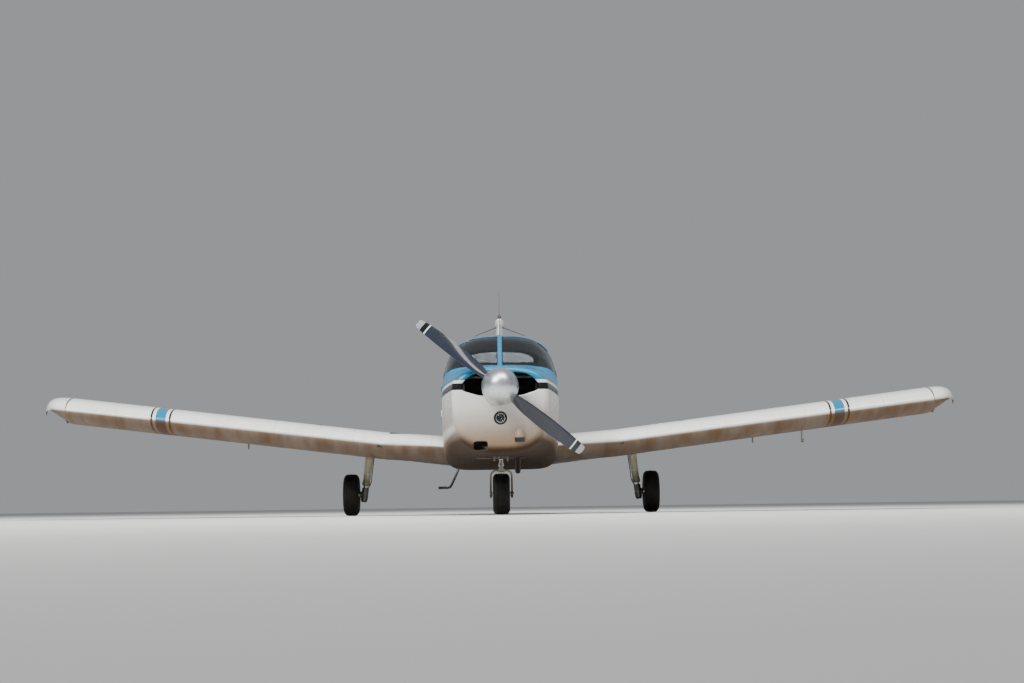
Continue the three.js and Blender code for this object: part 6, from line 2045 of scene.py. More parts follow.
def build_panel():
    board = fitted("panel_board", PANEL["front"], PANEL["back"], 3, WALL + 1, (-700, 1850, PANEL["bottom"]),
                   (700, PANEL["back"], PANEL["top"]), finishes("Panel crackle"))
    shield = fitted("glare_shield", 1600, 1920, 9, WALL + 1, (-480, 1600, 1356), (480, 1920, PANEL["top"]),
                    finishes("Panel crackle"))
    shape = Shape()
    needles = random.Random(bpy.context.scene.aircraft_detail.seed)
    for z in (1308, 1224):
        for x in (178, 270, 362):
            dial(shape, x, z, 38, needles.uniform(0, math.tau))
    for z in (1316, 1256, 1196):
        for x in (-190, -252, -314, -376):
            dial(shape, x, z, 25, needles.uniform(-2, 2))
    for k in range(4):
        low = 1160 + k * 46
        rounded_box(shape, (-92, 1878, low), (74, 1886, low + 42), 3, 2, 1)
        rounded_box(shape, (-52, 1885, low + 12), (34, 1887, low + 32), 1, 1, 2)
        for x in (-74, 56):
            rod(shape, (x, 1884, low + 21), (x, 1898, low + 21), 9, 8, 20, 1, 1.5)
    rounded_box(shape, (-70, 1872, 1066), (70, 1902, 1132), 8, 3, 1)
    for k, x in enumerate((-36, 0, 36)):
        top = 1128 + 12 * (k == 0)
        rod(shape, (x, 1890, 1100), (x, 1950, top), 4, sides=14, mark=4)
        rod(shape, (x, 1942, top - 3), (x, 1972, top + 4), 12, 11, 20, 5 if k == 2 else 1, 3)
    for k in range(7):
        x = 142 + k * 28
        rounded_box(shape, (x, 1878, 1092), (x + 18, 1888, 1120), 2, 2, 3 if k == 6 else 1)
    rod(shape, (430, 1878, 1106), (430, 1892, 1106), 12, sides=24, mark=4, edge=2)
    for sign in (-1, 1):
        control_wheel(shape, sign * YOKE["x"])
    controls = object_from("controls", shape, finishes(
        "Panel crackle", "Black plastic", "Dial face", "Dial mark", "Bright steel", "Red lens"))
    for material in controls.data.materials[1:]:
        board.data.materials.append(material)
    panel = merge_objects("panel", board, shield, controls)
    settle(shade(panel), "airframe", ("instrument_panel",))


def pedals(shape, middle):
    """One person's pair of rudder pedals on their pivots."""
    for side in (-1, 1):
        x = middle + side * 62
        rod(shape, (x, 1560, 718), (x, 1530, 850), 8, sides=14, mark=0)
        rounded_box(shape, (x - 34, 1528, 838), (x + 34, 1538, 912), 5, 2, 1)
        rounded_box(shape, (x - 16, 1542, FLOOR["top"]), (x + 16, 1582, 726), 4, 2, 0)
        for k in range(4):
            rounded_box(shape, (x - 30, 1537, 846 + k * 16), (x + 30, 1541, 852 + k * 16), 1.5, 1, 1)


def build_interior():
    build_panel()
    front, back = FLOOR["front"], FLOOR["back"]
    low, high = (-700, front, FLOOR["bottom"] + 0.5), (700, back, FLOOR["top"])
    floor = fitted("floor_carpet", front, back, 24, WALL + 1, low, high, finishes("Carpet"))
    settle(shade(floor), "airframe", ("cabin_floor",))
    wall = loft(Shape(), [body_ring(station, 34, 96) for station in (3860.3, 3872.0)])
    piece("bulkhead_lining", wall, finishes("Headliner"), "airframe", ("rear_bulkhead",))
    shape = Shape()
    for sign in (-1, 1):
        pedals(shape, sign * YOKE["x"])
    rounded_box(shape, (-42, 2120, FLOOR["top"]), (42, 2700, 800), 16, 3, 1)
    rod(shape, (0, 2240, 796), (0, 2420, 905), 9, sides=16, mark=0)
    rod(shape, (0, 2400, 893), (0, 2520, 966), 14, 13, 20, 1, 4)
    materials = finishes("Bright steel", "Black plastic")
    piece("pedals_and_lever", shape, materials, "airframe")
    visors = Shape()
    turn = Matrix.Rotation(math.radians(-34), 4, "X")
    for sign in (-1, 1):
        rounded_box(visors, (sign * 70, 2150, 1606), (sign * 330, 2270, 1616), 4, 2, 0, turn)
    piece("sun_visors", visors, finishes("Black plastic"), "airframe")


# Seats
FRONT_SEAT = {"front": 2210.0, "base": 840.0, "half_width": 215.0, "middle": 255.0, "height": 1.0}
REAR_SEAT = {"front": 3030.0, "base": 800.0, "half_width": 375.0, "middle": 0.0, "height": 0.93}
# Pad outlines, as station and height over the seat's base, inside the seat's own space
CUSHION = [(12, 12), (448, 12), (450, 140), (250, 160), (30, 158), (6, 96)]
BACKREST = [(492, 22), (548, 32), (700, 604), (682, 640), (624, 622), (490, 190)]
PAD_SMALLER = 10.0
PAD_SWELL = 9.0
PAD_FRAMES = 20
PAD_PRESSURE = 4.0
PLEAT = 82.0


def puff(obj):
    """Blows the pad up as cloth over its filling, and keeps each point near its start."""
    start = mesh_points(obj.data)
    cloth = obj.modifiers.new("Cloth", "CLOTH").settings
    cloth.use_pressure = True
    cloth.uniform_pressure_force = PAD_PRESSURE
    cloth.effector_weights.gravity = 0
    scene = bpy.context.scene
    for step in range(1, PAD_FRAMES + 1):
        scene.frame_set(step)
    apply_modifiers(obj)
    scene.frame_set(1)
    moved = mesh_points(obj.data) - start
    length = np.maximum(np.linalg.norm(moved, axis=1, keepdims=True), 1e-6)
    return set_points(obj, start + moved * np.minimum(1, PAD_SWELL / length))


def set_points(obj, points):
    obj.data.vertices.foreach_set("co", to_metres(points).ravel())
    obj.data.update()
    return obj


def sew(obj, half_width, facing):
    """Presses pleats and edge seams into the side of a pad that faces a direction."""
    points, normals = mesh_points(obj.data), values_of(obj.data.vertex_normals, "vector", 3)
    front = np.clip((normals @ unit(facing) - 0.25) / 0.4, 0, 1)
    edge = half_width - 58
    x = points[:, 0]
    to_pleat = np.abs((x / PLEAT) % 1 - 0.5) * PLEAT
    pleats = 6.0 * np.exp(-((to_pleat / 7) ** 2)) * (np.abs(x) < edge - 12)
    seams = 6.5 * np.exp(-(((np.abs(x) - edge) / 6) ** 2))
    return set_points(obj, points - normals * ((pleats + seams) * front)[:, None])


def pad(name, outline, seat, voxel, facing):
    """A padded part of a seat about the aircraft's middle, simulated as stuffed cloth."""
    half = seat["half_width"] - PAD_SMALLER
    side = [(seat["front"] + a, seat["base"] + b * seat["height"]) for a, b in outline]
    obj = object_from(name, side_prism(rounded_outline(side, 34, 6), (-half, half)), finishes("Pad leather"))
    remesh = obj.modifiers.new("Remesh", "REMESH")
    remesh.mode = "VOXEL"
    remesh.voxel_size = voxel * MM
    smooth = obj.modifiers.new("Smooth", "SMOOTH")
    smooth.iterations = 10
    apply_modifiers(obj)
    puff(obj)
    sew(obj, half, facing)
    finer = obj.modifiers.new("Finer", "SUBSURF")
    finer.levels = finer.render_levels = 1
    apply_modifiers(obj)
    obj.data.shade_smooth()
    return obj


def belt(shape, middle, seat, half):
    """A lap belt that lies over the cushion, with its buckle."""
    front, base = seat["front"], seat["base"]
    route = ((half + 4, 400, 30), (half + 6, 390, 130), (half - 14, 370, 178),
             (120, 330, 176), (24, 322, 177))
    for side in (-1, 1):
        path = curve_points([(middle + side * x, front + aft, base + up) for x, aft, up in route], 26)
        ups = [unit((side * max(0.0, abs(p[0] - middle) - half + 24), 0, 18.0)) for p in path]
        sweep(shape, path, [(-22, -1), (22, -1), (22, 1), (-22, 1)], 0, ups=ups)
    low = (middle - 30, front + 294, base + 174)
    rounded_box(shape, low, (middle + 30, front + 350, base + 190), 5, 2, 1)


def seat_frame(side, sign):
    """Floor rails, legs, top rails and cross bars under a front seat."""
    middle, half = sign * FRONT_SEAT["middle"], FRONT_SEAT["half_width"]
    front, base = FRONT_SEAT["front"], FRONT_SEAT["base"]
    shape = Shape()
    sides = [middle - half + 45, middle + half - 45]
    for x in sides:
        rounded_box(shape, (x - 14, front - 30, FLOOR["top"] + 0.3), (x + 14, front + 500, 716), 2, 1, 1)
        rounded_box(shape, (x - 6, front - 26, 715), (x + 6, front + 496, 728), 2, 1, 1)
        rounded_box(shape, (x - 14, front + 20, base - 20), (x + 14, front + 460, base - 0.3), 4, 2, 0)
        for foot, head in ((40, 70), (430, 400)):
            rod(shape, (x, front + foot, 718), (x, front + head, base - 12), 12, sides=20)
            rounded_box(shape, (x - 18, front + foot - 26, 714), (x + 18, front + foot + 26, 732), 5, 2, 1)
    for behind in (60, 410):
        rod(shape, (sides[0], front + behind, base - 12), (sides[1], front + behind, base - 12), 9, sides=18)
    rod(shape, (middle, front - 6, base - 14), (middle, front + 62, base - 14), 6, sides=14, mark=1)
    piece("seat_frame_" + side, shape, finishes("Black plastic", "Dull steel"), "airframe",
          ("front_seat_frame_" + side,))


def build_seats():
    pads = {}
    for label, seat, voxel in (("front", FRONT_SEAT, 9.0), ("rear", REAR_SEAT, 11.0)):
        cushion = pad(label + "_cushion", CUSHION, seat, voxel, (0, 0, 1))
        pads[label] = cushion, pad(label + "_backrest", BACKREST, seat, voxel, (0, -1, 0.25))
    for obj in pads["front"]:
        for side, sign in SIDES:
            made = copy_of(obj, obj.name + "_" + side)
            set_points(made, mesh_points(made.data) + (sign * FRONT_SEAT["middle"], 0, 0))
            settle(made, "airframe", ("front_seat_" + side,))
        drop(obj)
    for obj in pads["rear"]:
        settle(obj, "airframe", ("rear_seat",))
    belts = Shape()
    for side, sign in SIDES:
        seat_frame(side, sign)
        belt(belts, sign * FRONT_SEAT["middle"], FRONT_SEAT, FRONT_SEAT["half_width"])
    piece("seat_belts", belts, finishes("Belt webbing", "Bright steel"), "airframe")
    front, base, half = REAR_SEAT["front"], REAR_SEAT["base"], REAR_SEAT["half_width"]
    low, high = (30 - half, front + 30, FLOOR["top"] + 0.3), (half - 30, front + 470, base - 0.3)
    box = object_from("rear_seat_base", rounded_box(Shape(), low, high, 4, 2), finishes("Cabin trim"))
    carve(box, [block((50 - half, front, 714), (half - 50, front + 450, 780))])
    settle(shade(box), "airframe", ("rear_seat_box",))


# Fittings
LIGHT_FACE = 362.0
SCOOP = {"x": 171.0, "top": 782.0, "low": 648.0, "half": 48.0, "deep": 58.0, "mouth": 0.66}
AIR_INLET = {"x": 1193.0, "across": 32.0, "tall": 13.0}
TANK_CAP = {"x": 1840.0, "station": 2560.0, "radius": 38.0}


def skin_spot(x, share, face, sign):
    """A point on the wing's skin with its outward direction."""
    surface = FLAP if x < SURFACE_SPLIT else AILERON
    step = min(0.004, share * 0.9)
    shares = np.array([share - step, share, share + step])
    line = wing_skin(surface, x, shares, face, sign)
    beside = wing_skin(surface, x + 4, shares[1:2], face, sign)[0]
    normal = unit(np.cross(line[2] - line[0], beside - line[1]))
    return line[1], normal if normal[2] * face > 0 else -normal


def share_at(x, station):
    return (station - wing_row(1, x)) / chord_at(x)


def build_landing_light():
    centre, out = np.array([0.0, LIGHT_FACE, LIGHT_HEIGHT]), (0, 1, 0)
    shape = Shape()
    ring = [(60.8, 0), (60.8, 14), (53, 14), (50, 8), (49.5, 3), (52, 0.6), (57, 0)]
    turned(shape, ring, centre, out, 96, 0, closed=True)
    radii = (50, 42, 37, 28, 23, 12, 0.5)
    for outer, inner, deep, mark in zip(radii, radii[1:], (10, 8, 12, 10, 14, 12), (2, 1, 2, 1, 0, 2)):
        profile = [(outer, deep), (inner, deep), (inner, deep + 6), (outer, deep + 6)]
        turned(shape, profile, centre, out, 72, mark, closed=True)
    for x in (-5.5, 6.5):
        rod(shape, centre + (x, 9, 0), centre + (x, 16, 0), 3.6, sides=20, mark=4, edge=1.2)
    lens_rows = []
    for k, radius in enumerate(np.linspace(52, 0.5, 28)):
        rib = 0.9 * (k % 3 == 1)
        lens_rows.append((radius, 5.5 - 2.5 * math.cos(radius / 52 * math.pi / 2) + rib))
    turned(shape, lens_rows + [(0.5, 8.5), (52, 8.5)], centre, out, 72, 3)
    materials = finishes("Black plastic", "Reflector", "Cabin trim", "Lamp glass", "Dial mark")
    piece("landing_lamp", shape, materials, "airframe", ("landing_light",))


def build_step():
    shape = Shape()
    route = [(-396, 3858, 680), (-436, 3861, 520), (-528, 3866, 312), (-560, 3868, 284), (-610, 3870, 280),
             (-668, 3870, 278)]
    tube(shape, route, 12.8, 44, 20)
    rounded_box(shape, (-671, 3836, 284.5), (-581, 3904, 294), 4, 3, 0)
    for k in range(7):
        station = 3843 + k * 9
        rounded_box(shape, (-668, station, 292.5), (-584, station + 4, 295.8), 1.0, 1, 1)
    turned(shape, [(14, 0), (24, 1), (24, 5), (15, 9)], (-404, 3858.5, 655), (-0.24, 0, -1), 28, 0)
    materials = finishes("Dull steel", "Step grip")
    piece("step_tube", shape, materials, "airframe", ("boarding_step",))


def build_antennas():
    whips = Shape()
    for name, sign in SIDES:
        whisker = Shape()
        start, end = np.array([sign * 37.0, 6395, 2195]), np.array([sign * 300.0, 6700, 2120])
        rod(whisker, start, end, 4.8, 2.8, 14)
        rod(whisker, start, start + unit(end - start) * 34, 9, 6.5, 18, 1, 1.0)
        materials = finishes("Black plastic", "Dull steel")
        piece("whisker_" + name, whisker, materials, "airframe", ("whisker_antenna_" + name,))
    roof = float(body_at(TOP, 2880))
    turned(whips, [(21.5, -10), (21.5, 2), (18, 8), (11, 20), (7, 26)], (0, 2880, roof), (0, 0, 1), 36, 1)
    rod(whips, (0, 2880, roof + 20), (0, 2890, 2269), 4.0, 2.4, 16, 0, 0.8)
    rod(whips, (0, 2880, roof + 24), (0, 2881, roof + 60), 6.5, 5, 16, 1, 1.0)
    piece("whip", whips, finishes("Dull steel", "Black plastic"), "airframe", ("whip_antenna",))


def build_beacon():
    shape = Shape()
    foot = (0, 6360, FIN_CAP_TOP + 0.3)
    base = [(21.8, 0), (21.8, 7), (20.5, 9), (17, 9.5), (17, 4), (2, 4), (2, 0)]
    dome = [(19.5, 9), (19.5, 26), (18.9, 32), (17.2, 39), (14.2, 46), (9.6, 51.8), (4, 55), (0.5, 55.8)]
    clamp = [(20.6, 10), (21.6, 11), (21.6, 14), (20.6, 15), (19, 15), (19, 10)]
    for profile, sides, mark in ((base, 48, 0), (dome, 56, 1), (clamp, 48, 0)):
        turned(shape, profile, foot, (0, 0, 1), sides, mark)
    piece("beacon_lamp", shape, finishes("Dull steel", "Red lens"), "airframe", ("beacon",), 40)


def lug(x, station, top, height):
    """A tie-down lug: a tapered plate with a hole."""
    low = top - height
    corners = [(station - 30, top), (station + 30, top), (station + 22, low), (station - 22, low)]
    prism = side_prism(rounded_outline(corners, 8, 5), (x - 4.8, x + 4.8))
    hole = rod(Shape(), (x - 20, station, low + 18), (x + 20, station, low + 18), 9, sides=28)
    return carve(object_from("lug", prism, finishes("Dull steel")), [hole])


def build_pitot():
    x = 3050.0
    under = wing_skin(AILERON, x, np.array([share_at(x, 2700)]), -1, 1)[0, 2]
    top = under + 30
    materials = finishes("Wing paint", "Dull steel")
    outline = rounded_outline([(2660, top - 150), (2760, top - 150), (2770, top), (2700, top)], 10, 5)
    mast = object_from("pitot", side_prism(outline, (x - 8.6, x + 8.6)), materials)
    bevel = mast.modifiers.new("Bevel", "BEVEL")
    bevel.width = 4 * MM
    bevel.segments = 3
    bevel.limit_method = "ANGLE"
    apply_modifiers(mast)
    shape = Shape()
    for z, radius in ((top - 128, 5.5), (top - 146, 2.6)):
        inner = radius - 1.4
        port = [(radius, -3), (radius, 4), (inner, 4), (inner, 0.5), (0.5, 0.5), (0.5, -3)]
        turned(shape, port, (x, 2660.5 + (top - 150 - z) * -0.05, z), (0, -1, 0), 24, 1)
    merge_objects("pitot_blade", mast, object_from("ports", shape, materials))
    settle(shade(mast), "airframe", ("pitot_mast",))


def scoop_rings(start, end, size):
    """A length of the blister scoop on the nose bowl: a dome whose lower part turns back into its mouth."""
    rings = []
    for share in np.linspace(start, end, 20):
        z = SCOOP["top"] - (SCOOP["top"] - SCOOP["low"]) * share
        swell = min(1.0, math.sqrt(share * (2 - share)) * 1.15)
        half = size * SCOOP["half"] * swell
        deep = size * SCOOP["deep"] * swell * (1 - 0.62 * smooth_step(SCOOP["mouth"], 1.0, share))
        angle = np.linspace(0, math.pi, 25)
        x = SCOOP["x"] + np.concatenate([half * np.cos(angle), np.linspace(-half, half, 9)[1:-1]])
        out = np.concatenate([4 - (deep + 4) * np.sin(angle), np.full(7, 6.0)])
        rings.append(points_at(x, nose_station(x, np.full(len(x), z)) + out, z))
    return rings


def build_cowl_parts():
    shape = Shape()
    loft(shape, scoop_rings(0.02, SCOOP["mouth"], 1.0))
    # Painted shade: the scoop's mouth is closed by a near-black surface in the dial face finish, standing for
    # the shade inside the opening.
    loft(shape, scoop_rings(SCOOP["mouth"], 0.96, 0.93), 3)
    for _, sign in SIDES:
        for station, z in ((520, 1128), (760, 1128), (1010, 1128), (1215, 1128)):
            spot = body_side(float(station), float(z), sign)
            normal = body_normals(spot[None])[0]
            rod(shape, spot - normal * 2, spot + normal * 2.6, 9, 7.5, 24, 1, 0.8)
            size = np.array([1.0, 7.0, 1.6])
            rounded_box(shape, spot + normal * 2.4 - size, spot + normal * 2.4 + size, 0.5, 1, 1)
        hinge = [body_side(float(s), 1142.0, sign) for s in np.linspace(460, 1244, 30)]
        sweep(shape, np.array(hinge), circle(2.4, 8), 2)
    for sign in (-1, 1):
        rod(shape, (sign * 52, 1150, 610), (sign * 64, 1168, 500), 8, sides=16, mark=1)
    materials = finishes("Body paint", "Dull steel", "Seal rubber", "Dial face")
    piece("cowl_fittings", shape, materials, "airframe")
    vent = Shape()
    for x, station, width in ((-60, 1480, 120), (60, 1620, 60)):
        z = float(body_at(BOTTOM, station))
        left, right = x - width / 2, x + width / 2
        rounded_box(vent, (left, station, z - 16), (right, station + 150, z + 6), 7, 3, 0)
        # Painted shade: a black plate across the vent's front stands for the shade inside its opening.
        rounded_box(vent, (left + 7, station - 1.5, z - 12), (right - 7, station + 4, z - 3), 3, 2, 1)
    piece("belly_vents", vent, finishes("Body paint", "Black plastic"), "airframe")


def build_wing_parts(side, sign):
    shape = Shape()
    # Painted shade: the air inlet is a closed form in black plastic; its dished face stands for the shade
    # inside the opening.
    x = AIR_INLET["x"]
    nose = skin_spot(x, 0.003, -1, sign)[0]
    forward = np.array([0, -1.0, 0])
    rings = []
    for size, along in ((1.0, -14), (1.0, 2.2), (0.94, 3.2), (0.88, 2.4), (0.02, 2.0)):
        x, z = (np.array(circle(size, 40)) * (AIR_INLET["across"], AIR_INLET["tall"])).T
        rings.append(points_at(nose[0] + x, nose[1] - along, nose[2] + z))
    loft(shape, rings, 2)
    x, station, radius = TANK_CAP["x"], TANK_CAP["station"], TANK_CAP["radius"]
    spot, normal = skin_spot(x, share_at(x, station), 1, sign)
    cap = [(radius, -3), (radius, 1.6), (radius - 3, 3.2), (radius - 10, 3.6), (0.5, 3.8), (0.5, -3)]
    turned(shape, cap, spot, normal, 48, 1)
    rounded_box(shape, spot + normal * 5 - (20, 3, 2.4), spot + normal * 5 + (20, 3, 2.4), 2, 2, 1)
    for x, share in ((1450.0, 0.5), (2230.0, 0.5)):
        spot, normal = skin_spot(x, share, -1, sign)
        turned(shape, [(9, -2), (9, 1.2), (6, 2.2), (0.5, 2.2), (0.5, -2)], spot, normal, 24, 1)
    piece("wing_fittings_" + side, shape, finishes("Wing paint", "Dull steel", "Black plastic"), "airframe")

    lamp = Shape()
    x = WING_TIP_JOIN + 60.0
    centre = wing_point(x, 150.0, 0.0, sign)
    socket = [(24, -46), (26, -40), (26, 4), (22, 6), (18, 6), (18, -46)]
    turned(lamp, socket, centre, forward, 36, 0, closed=True)
    dome = [(23, 0), (22.6, 10), (20, 20), (15, 28), (8, 33), (0.5, 35), (0.5, 0)]
    turned(lamp, dome, centre, forward, 40, 1)
    materials = finishes("Dull steel", "Red lens" if sign > 0 else "Green lens")
    piece("position_light_" + side, lamp, materials, "airframe")


def build_lugs():
    lugs = [lug(sign * 2550.0, 2760.0, 748.0, 62.0) for _, sign in SIDES]
    lugs.append(lug(0.0, 5900.0, float(body_at(BOTTOM, 5900.0)) + 14, 76.0))
    settle(shade(merge_objects("tie_down_lugs", *lugs)), "airframe")


def build_door_parts():
    fixed, moving = Shape(), Shape()
    for height in (990.0, 1230.0):
        for low, high, shape in ((-28, -11, fixed), (-9, 9, moving), (11, 28, fixed)):
            rod(shape, (-573, 2003, height + low), (-573, 2003, height + high), 7, sides=24, edge=0.8)
        rod(moving, (-573, 2003, height - 31), (-573, 2003, height + 31), 2.6, sides=12, mark=1, edge=0.6)
        for shape, stations in ((fixed, (1952, 2000)), (moving, (2006, 2052))):
            rounded_box(shape, (-571, stations[0], height - (26 if shape is fixed else 9)),
                        (-563, stations[1], height + (26 if shape is fixed else 9)), 2, 2)
    materials = finishes("Body paint", "Bright steel")
    piece("door_hinge_leaves", fixed, materials, "airframe")
    spot = body_side(2770.0, 1130.0, -1)
    normal = body_normals(spot[None])[0]
    rounded_box(moving, spot + normal * 2 - (5, 62, 20), spot + normal * 2 + (5, 62, 20), 4.5, 3, 1)
    rounded_box(moving, spot + normal * 8 + (-4, -46, -7), spot + normal * 8 + (4, 46, 7), 3.8, 3, 1)
    latch = body_side(2470.0, 1690.0, -1)
    out = body_normals(latch[None])[0]
    rod(moving, latch - out * 3, latch + out * 3.4, 17, 15, 28, 1, 1.2)
    piece("door_fittings", moving, materials, "door")


def build_tail_parts():
    shape = Shape()
    rounded_box(shape, (-25, 6385, 772), (25, 6441, 794), 5, 3)
    rod(shape, (0, 6430, 780), (0, 6452, 832), 8, sides=20, mark=1)
    for height in (1060.0, 1560.0, 2120.0):
        station = float(line_at(RUDDER_HINGE, height))
        rounded_box(shape, (-4, station - 60, height - 8), (4, station - 8, height + 8), 2, 2, 1)
    piece("rudder_brackets", shape, finishes("Body paint", "Dull steel"), "airframe")


def build_fittings():
    build_landing_light()
    build_step()
    build_antennas()
    build_beacon()
    build_pitot()
    build_cowl_parts()
    for side, sign in SIDES:
        build_wing_parts(side, sign)
    build_lugs()
    build_door_parts()
    build_tail_parts()


# Rivets
RIVET_HEIGHT = 1.3


def wing_rivets(side, sign, pitch, radius):
    """Rows along the ribs and the spars, on both faces."""
    ribs = [x for x in np.arange(1230, 4280, 390.0) if not 2300 < x < 2360]
    places = [(x, share) for x in ribs for share in np.arange(0.03, 0.70, pitch / 1600)]
    spans = [x for x in np.arange(700, 4270, pitch) if not 2320 < x < 2350]
    places += [(x, share) for share in (0.14, 0.40, 0.66) for x in spans]
    spots = [skin_spot(x, share, face, sign) for face in (1, -1) for x, share in places]
    points, normals = zip(*spots)
    fasteners("wing_rivets_" + side, points, normals, "Wing paint", "airframe", radius, RIVET_HEIGHT)


def body_rivets(pitch, radius):
    """Rings round the body and two rows along each side."""
    points = []
    for station in (1275, 1990, 2870, 3880, 3925, 4450, 5000, 5550, 6050):
        for spot in evenly(body_ring(float(station), 0, 400), pitch):
            on_glass = station < 3900 and spot[2] > 1300
            if not on_glass and spot[2] >= 620:
                points.append(spot)
    for z, start in ((860.0, 1290), (1230.0, 3920)):
        for station in np.arange(start, 5400, pitch):
            for _, sign in SIDES:
                in_doorway = sign < 0 and 1960 < station < 2890
                if not in_doorway and body_at(BOTTOM, station) + 60 < z < body_at(TOP, station) - 60:
                    points.append(body_side(float(station), z, sign))
    points = np.array(points)
    normals = body_normals(points)
    fasteners("body_rivets", points, normals, "Body paint", "airframe", radius, RIVET_HEIGHT)


def fin_rivets(pitch, radius):
    """Level rows on both sides of the fin."""
    points, normals = [], []
    for height in np.arange(1180, 2200, 170.0):
        for share in np.arange(0.06, hinge_share(height) - 0.03, pitch / 900):
            half, station = fin_section(height, np.array([share]))
            for _, sign in SIDES:
                points.append((sign * half[0], station[0], height))
                normals.append(unit((sign, -0.05, 0)))
    fasteners("fin_rivets", points, normals, "Tail paint", "airframe", radius, RIVET_HEIGHT)


def build_rivets():
    detail = bpy.context.scene.aircraft_detail
    pitch, radius = detail.rivet_pitch / MM, detail.rivet_radius / MM
    for side, sign in SIDES:
        wing_rivets(side, sign, pitch, radius)
    body_rivets(pitch, radius)
    fin_rivets(pitch, radius)


# Stage
def build_floor():
    """A pale floor that reaches the horizon."""
    reach, rings = 140.0, 40
    points, faces = [], []
    for r in range(rings):
        distance = reach * (r / (rings - 1)) ** 2
        for i in range(64):
            angle = math.tau * i / 64
            points.append((distance * math.cos(angle), distance * math.sin(angle), 0.0))
    for r in range(rings - 1):
        for i in range(64):
            a, b = r * 64 + i, r * 64 + (i + 1) % 64
            faces.append((a, b, b + 64, a + 64))
    mesh = bpy.data.meshes.new("floor")
    mesh.from_pydata(points, [], faces)
    floor = merge_close(in_scene(bpy.data.objects.new("floor", mesh)))
    if floor.data.polygons[100].normal[2] < 0:
        floor.data.flip_normals()
    floor.data.materials.append(finish("Studio floor"))


def area_light(name, place, aim, size, power):
    data = bpy.data.lights.new(name, "AREA")
    data.shape = "RECTANGLE"
    data.size, data.size_y = size
    data.energy = power
    light = bpy.data.objects.new(name, data)
    light.location = place
    light.rotation_euler = (Vector(aim) - Vector(place)).to_track_quat("-Z", "Y").to_euler()
    return in_scene(light)


def build_stage():
    stage = bpy.context.scene.aircraft_stage
    build_floor()
    world = bpy.data.worlds.new("Studio")
    bpy.context.scene.world = world
    world.use_nodes = True
    sky = world.node_tree.nodes["Background"]
    sky.inputs["Color"].default_value = (*stage.sky, 1.0)
    sky.inputs["Strength"].default_value = stage.sky_strength
    power = stage.light_power
    area_light("Key light", (-9, -13, 13), (0, 0, 0.8), (9, 9), power)
    area_light("Top light", (2, -7, 14), (0, 0, 0.8), (12, 7), power * 0.6)
    overhead = area_light("Overhead light", (0, 3, 16), (0, 3, 0.8), (9, 5), power * 0.5)
    overhead.visible_glossy = False
    data = bpy.data.cameras.new("Camera")
    data.sensor_width = 36.0
    data.lens = stage.lens
    data.clip_end = 500.0
    camera = bpy.data.objects.new("Camera", data)
    camera.location = (stage.camera_side, -stage.camera_distance, stage.camera_height)
    turn = Matrix.Rotation(stage.camera_turn, 4, "Z")
    pitch = Matrix.Rotation(math.pi / 2 + stage.camera_pitch, 4, "X")
    roll = Matrix.Rotation(stage.camera_roll, 4, "Z")
    camera.rotation_euler = (turn @ (pitch @ roll)).to_euler()
    bpy.context.scene.camera = in_scene(camera)


# Settings
def colour_property(name, description, red, green, blue):
    return FloatVectorProperty(name=name, description=description, subtype="COLOR", size=3, min=0.0, max=1.0,
                               default=srgb(red, green, blue)[:3])


def length_property(name, description, default, low=-1000.0, high=1000.0):
    return FloatProperty(name=name, description=description, default=default, min=low, max=high,
                         unit="LENGTH", subtype="DISTANCE")


def angle_property(name, description, degrees):
    return FloatProperty(name=name, description=description, default=math.radians(degrees),
                         unit="ROTATION", subtype="ANGLE")


class AircraftPaint(bpy.types.PropertyGroup):
    """Colours of the paint and the seats."""
    white: colour_property("White", "Base paint of the wings, tail and lower body", 224, 225, 220)
    blue: colour_property("Blue", "Paint of the upper body and the bands", 18, 112, 152)
    stripe: colour_property("Stripe", "Dark stripe along the body and beside the bands", 18, 18, 20)
    gear: colour_property("Gear", "Paint of the landing gear legs", 172, 166, 142)
    blade: colour_property("Blade", "Paint of the propeller's blades", 40, 46, 58)
    seat: colour_property("Seat", "Leather of the seats", 120, 106, 90)


class AircraftDetail(bpy.types.PropertyGroup):
    """Sizes of the small repeated parts."""
    rivet_radius: length_property("Rivet radius", "Radius of a rivet's head", 0.0022, 0.0005, 0.006)
    rivet_pitch: length_property("Rivet pitch", "Distance between rivets in a row", 0.042, 0.02, 0.2)
    screw_radius: length_property("Screw radius", "Radius of a screw's head", 0.0046, 0.001, 0.01)
    seed: IntProperty(name="Seed", description="Scatters the needles of the dials", default=7, min=0)


class AircraftStage(bpy.types.PropertyGroup):
    """The studio's lights and the camera."""
    sky: colour_property("Sky", "Colour of the light from all round", 232, 236, 240)
    sky_strength: FloatProperty(
        name="Sky strength", description="Strength of the light from all round", default=0.40, min=0.0)
    light_power: FloatProperty(
        name="Light power", description="Power of the main light", default=3900.0, min=0.0, unit="POWER")
    lens: FloatProperty(
        name="Lens", description="Focal length of the camera", default=74.53, min=10.0, unit="CAMERA")
    camera_distance: length_property("Camera distance", "Camera's distance ahead of the middle", 22.295)
    camera_side: length_property("Camera side", "Camera's place to the aircraft's left", 0.0)
    camera_height: length_property("Camera height", "Camera's height over the floor", 0.08, 0.01)
    camera_pitch: angle_property("Camera pitch", "How far the camera looks up", 4.436)
    camera_turn: angle_property("Camera turn", "How far the camera looks to one side", -0.338)
    camera_roll: angle_property("Camera roll", "How far the camera leans", -0.752)


# Operators
class AIRCRAFT_OT_cowling(bpy.types.Operator):
    """Build the upper and lower engine cowling with its inlets"""
    bl_idname = "aircraft.cowling"
    bl_label = "Build Cowling"

    def execute(self, context):
        build_cowling()
        return {"FINISHED"}


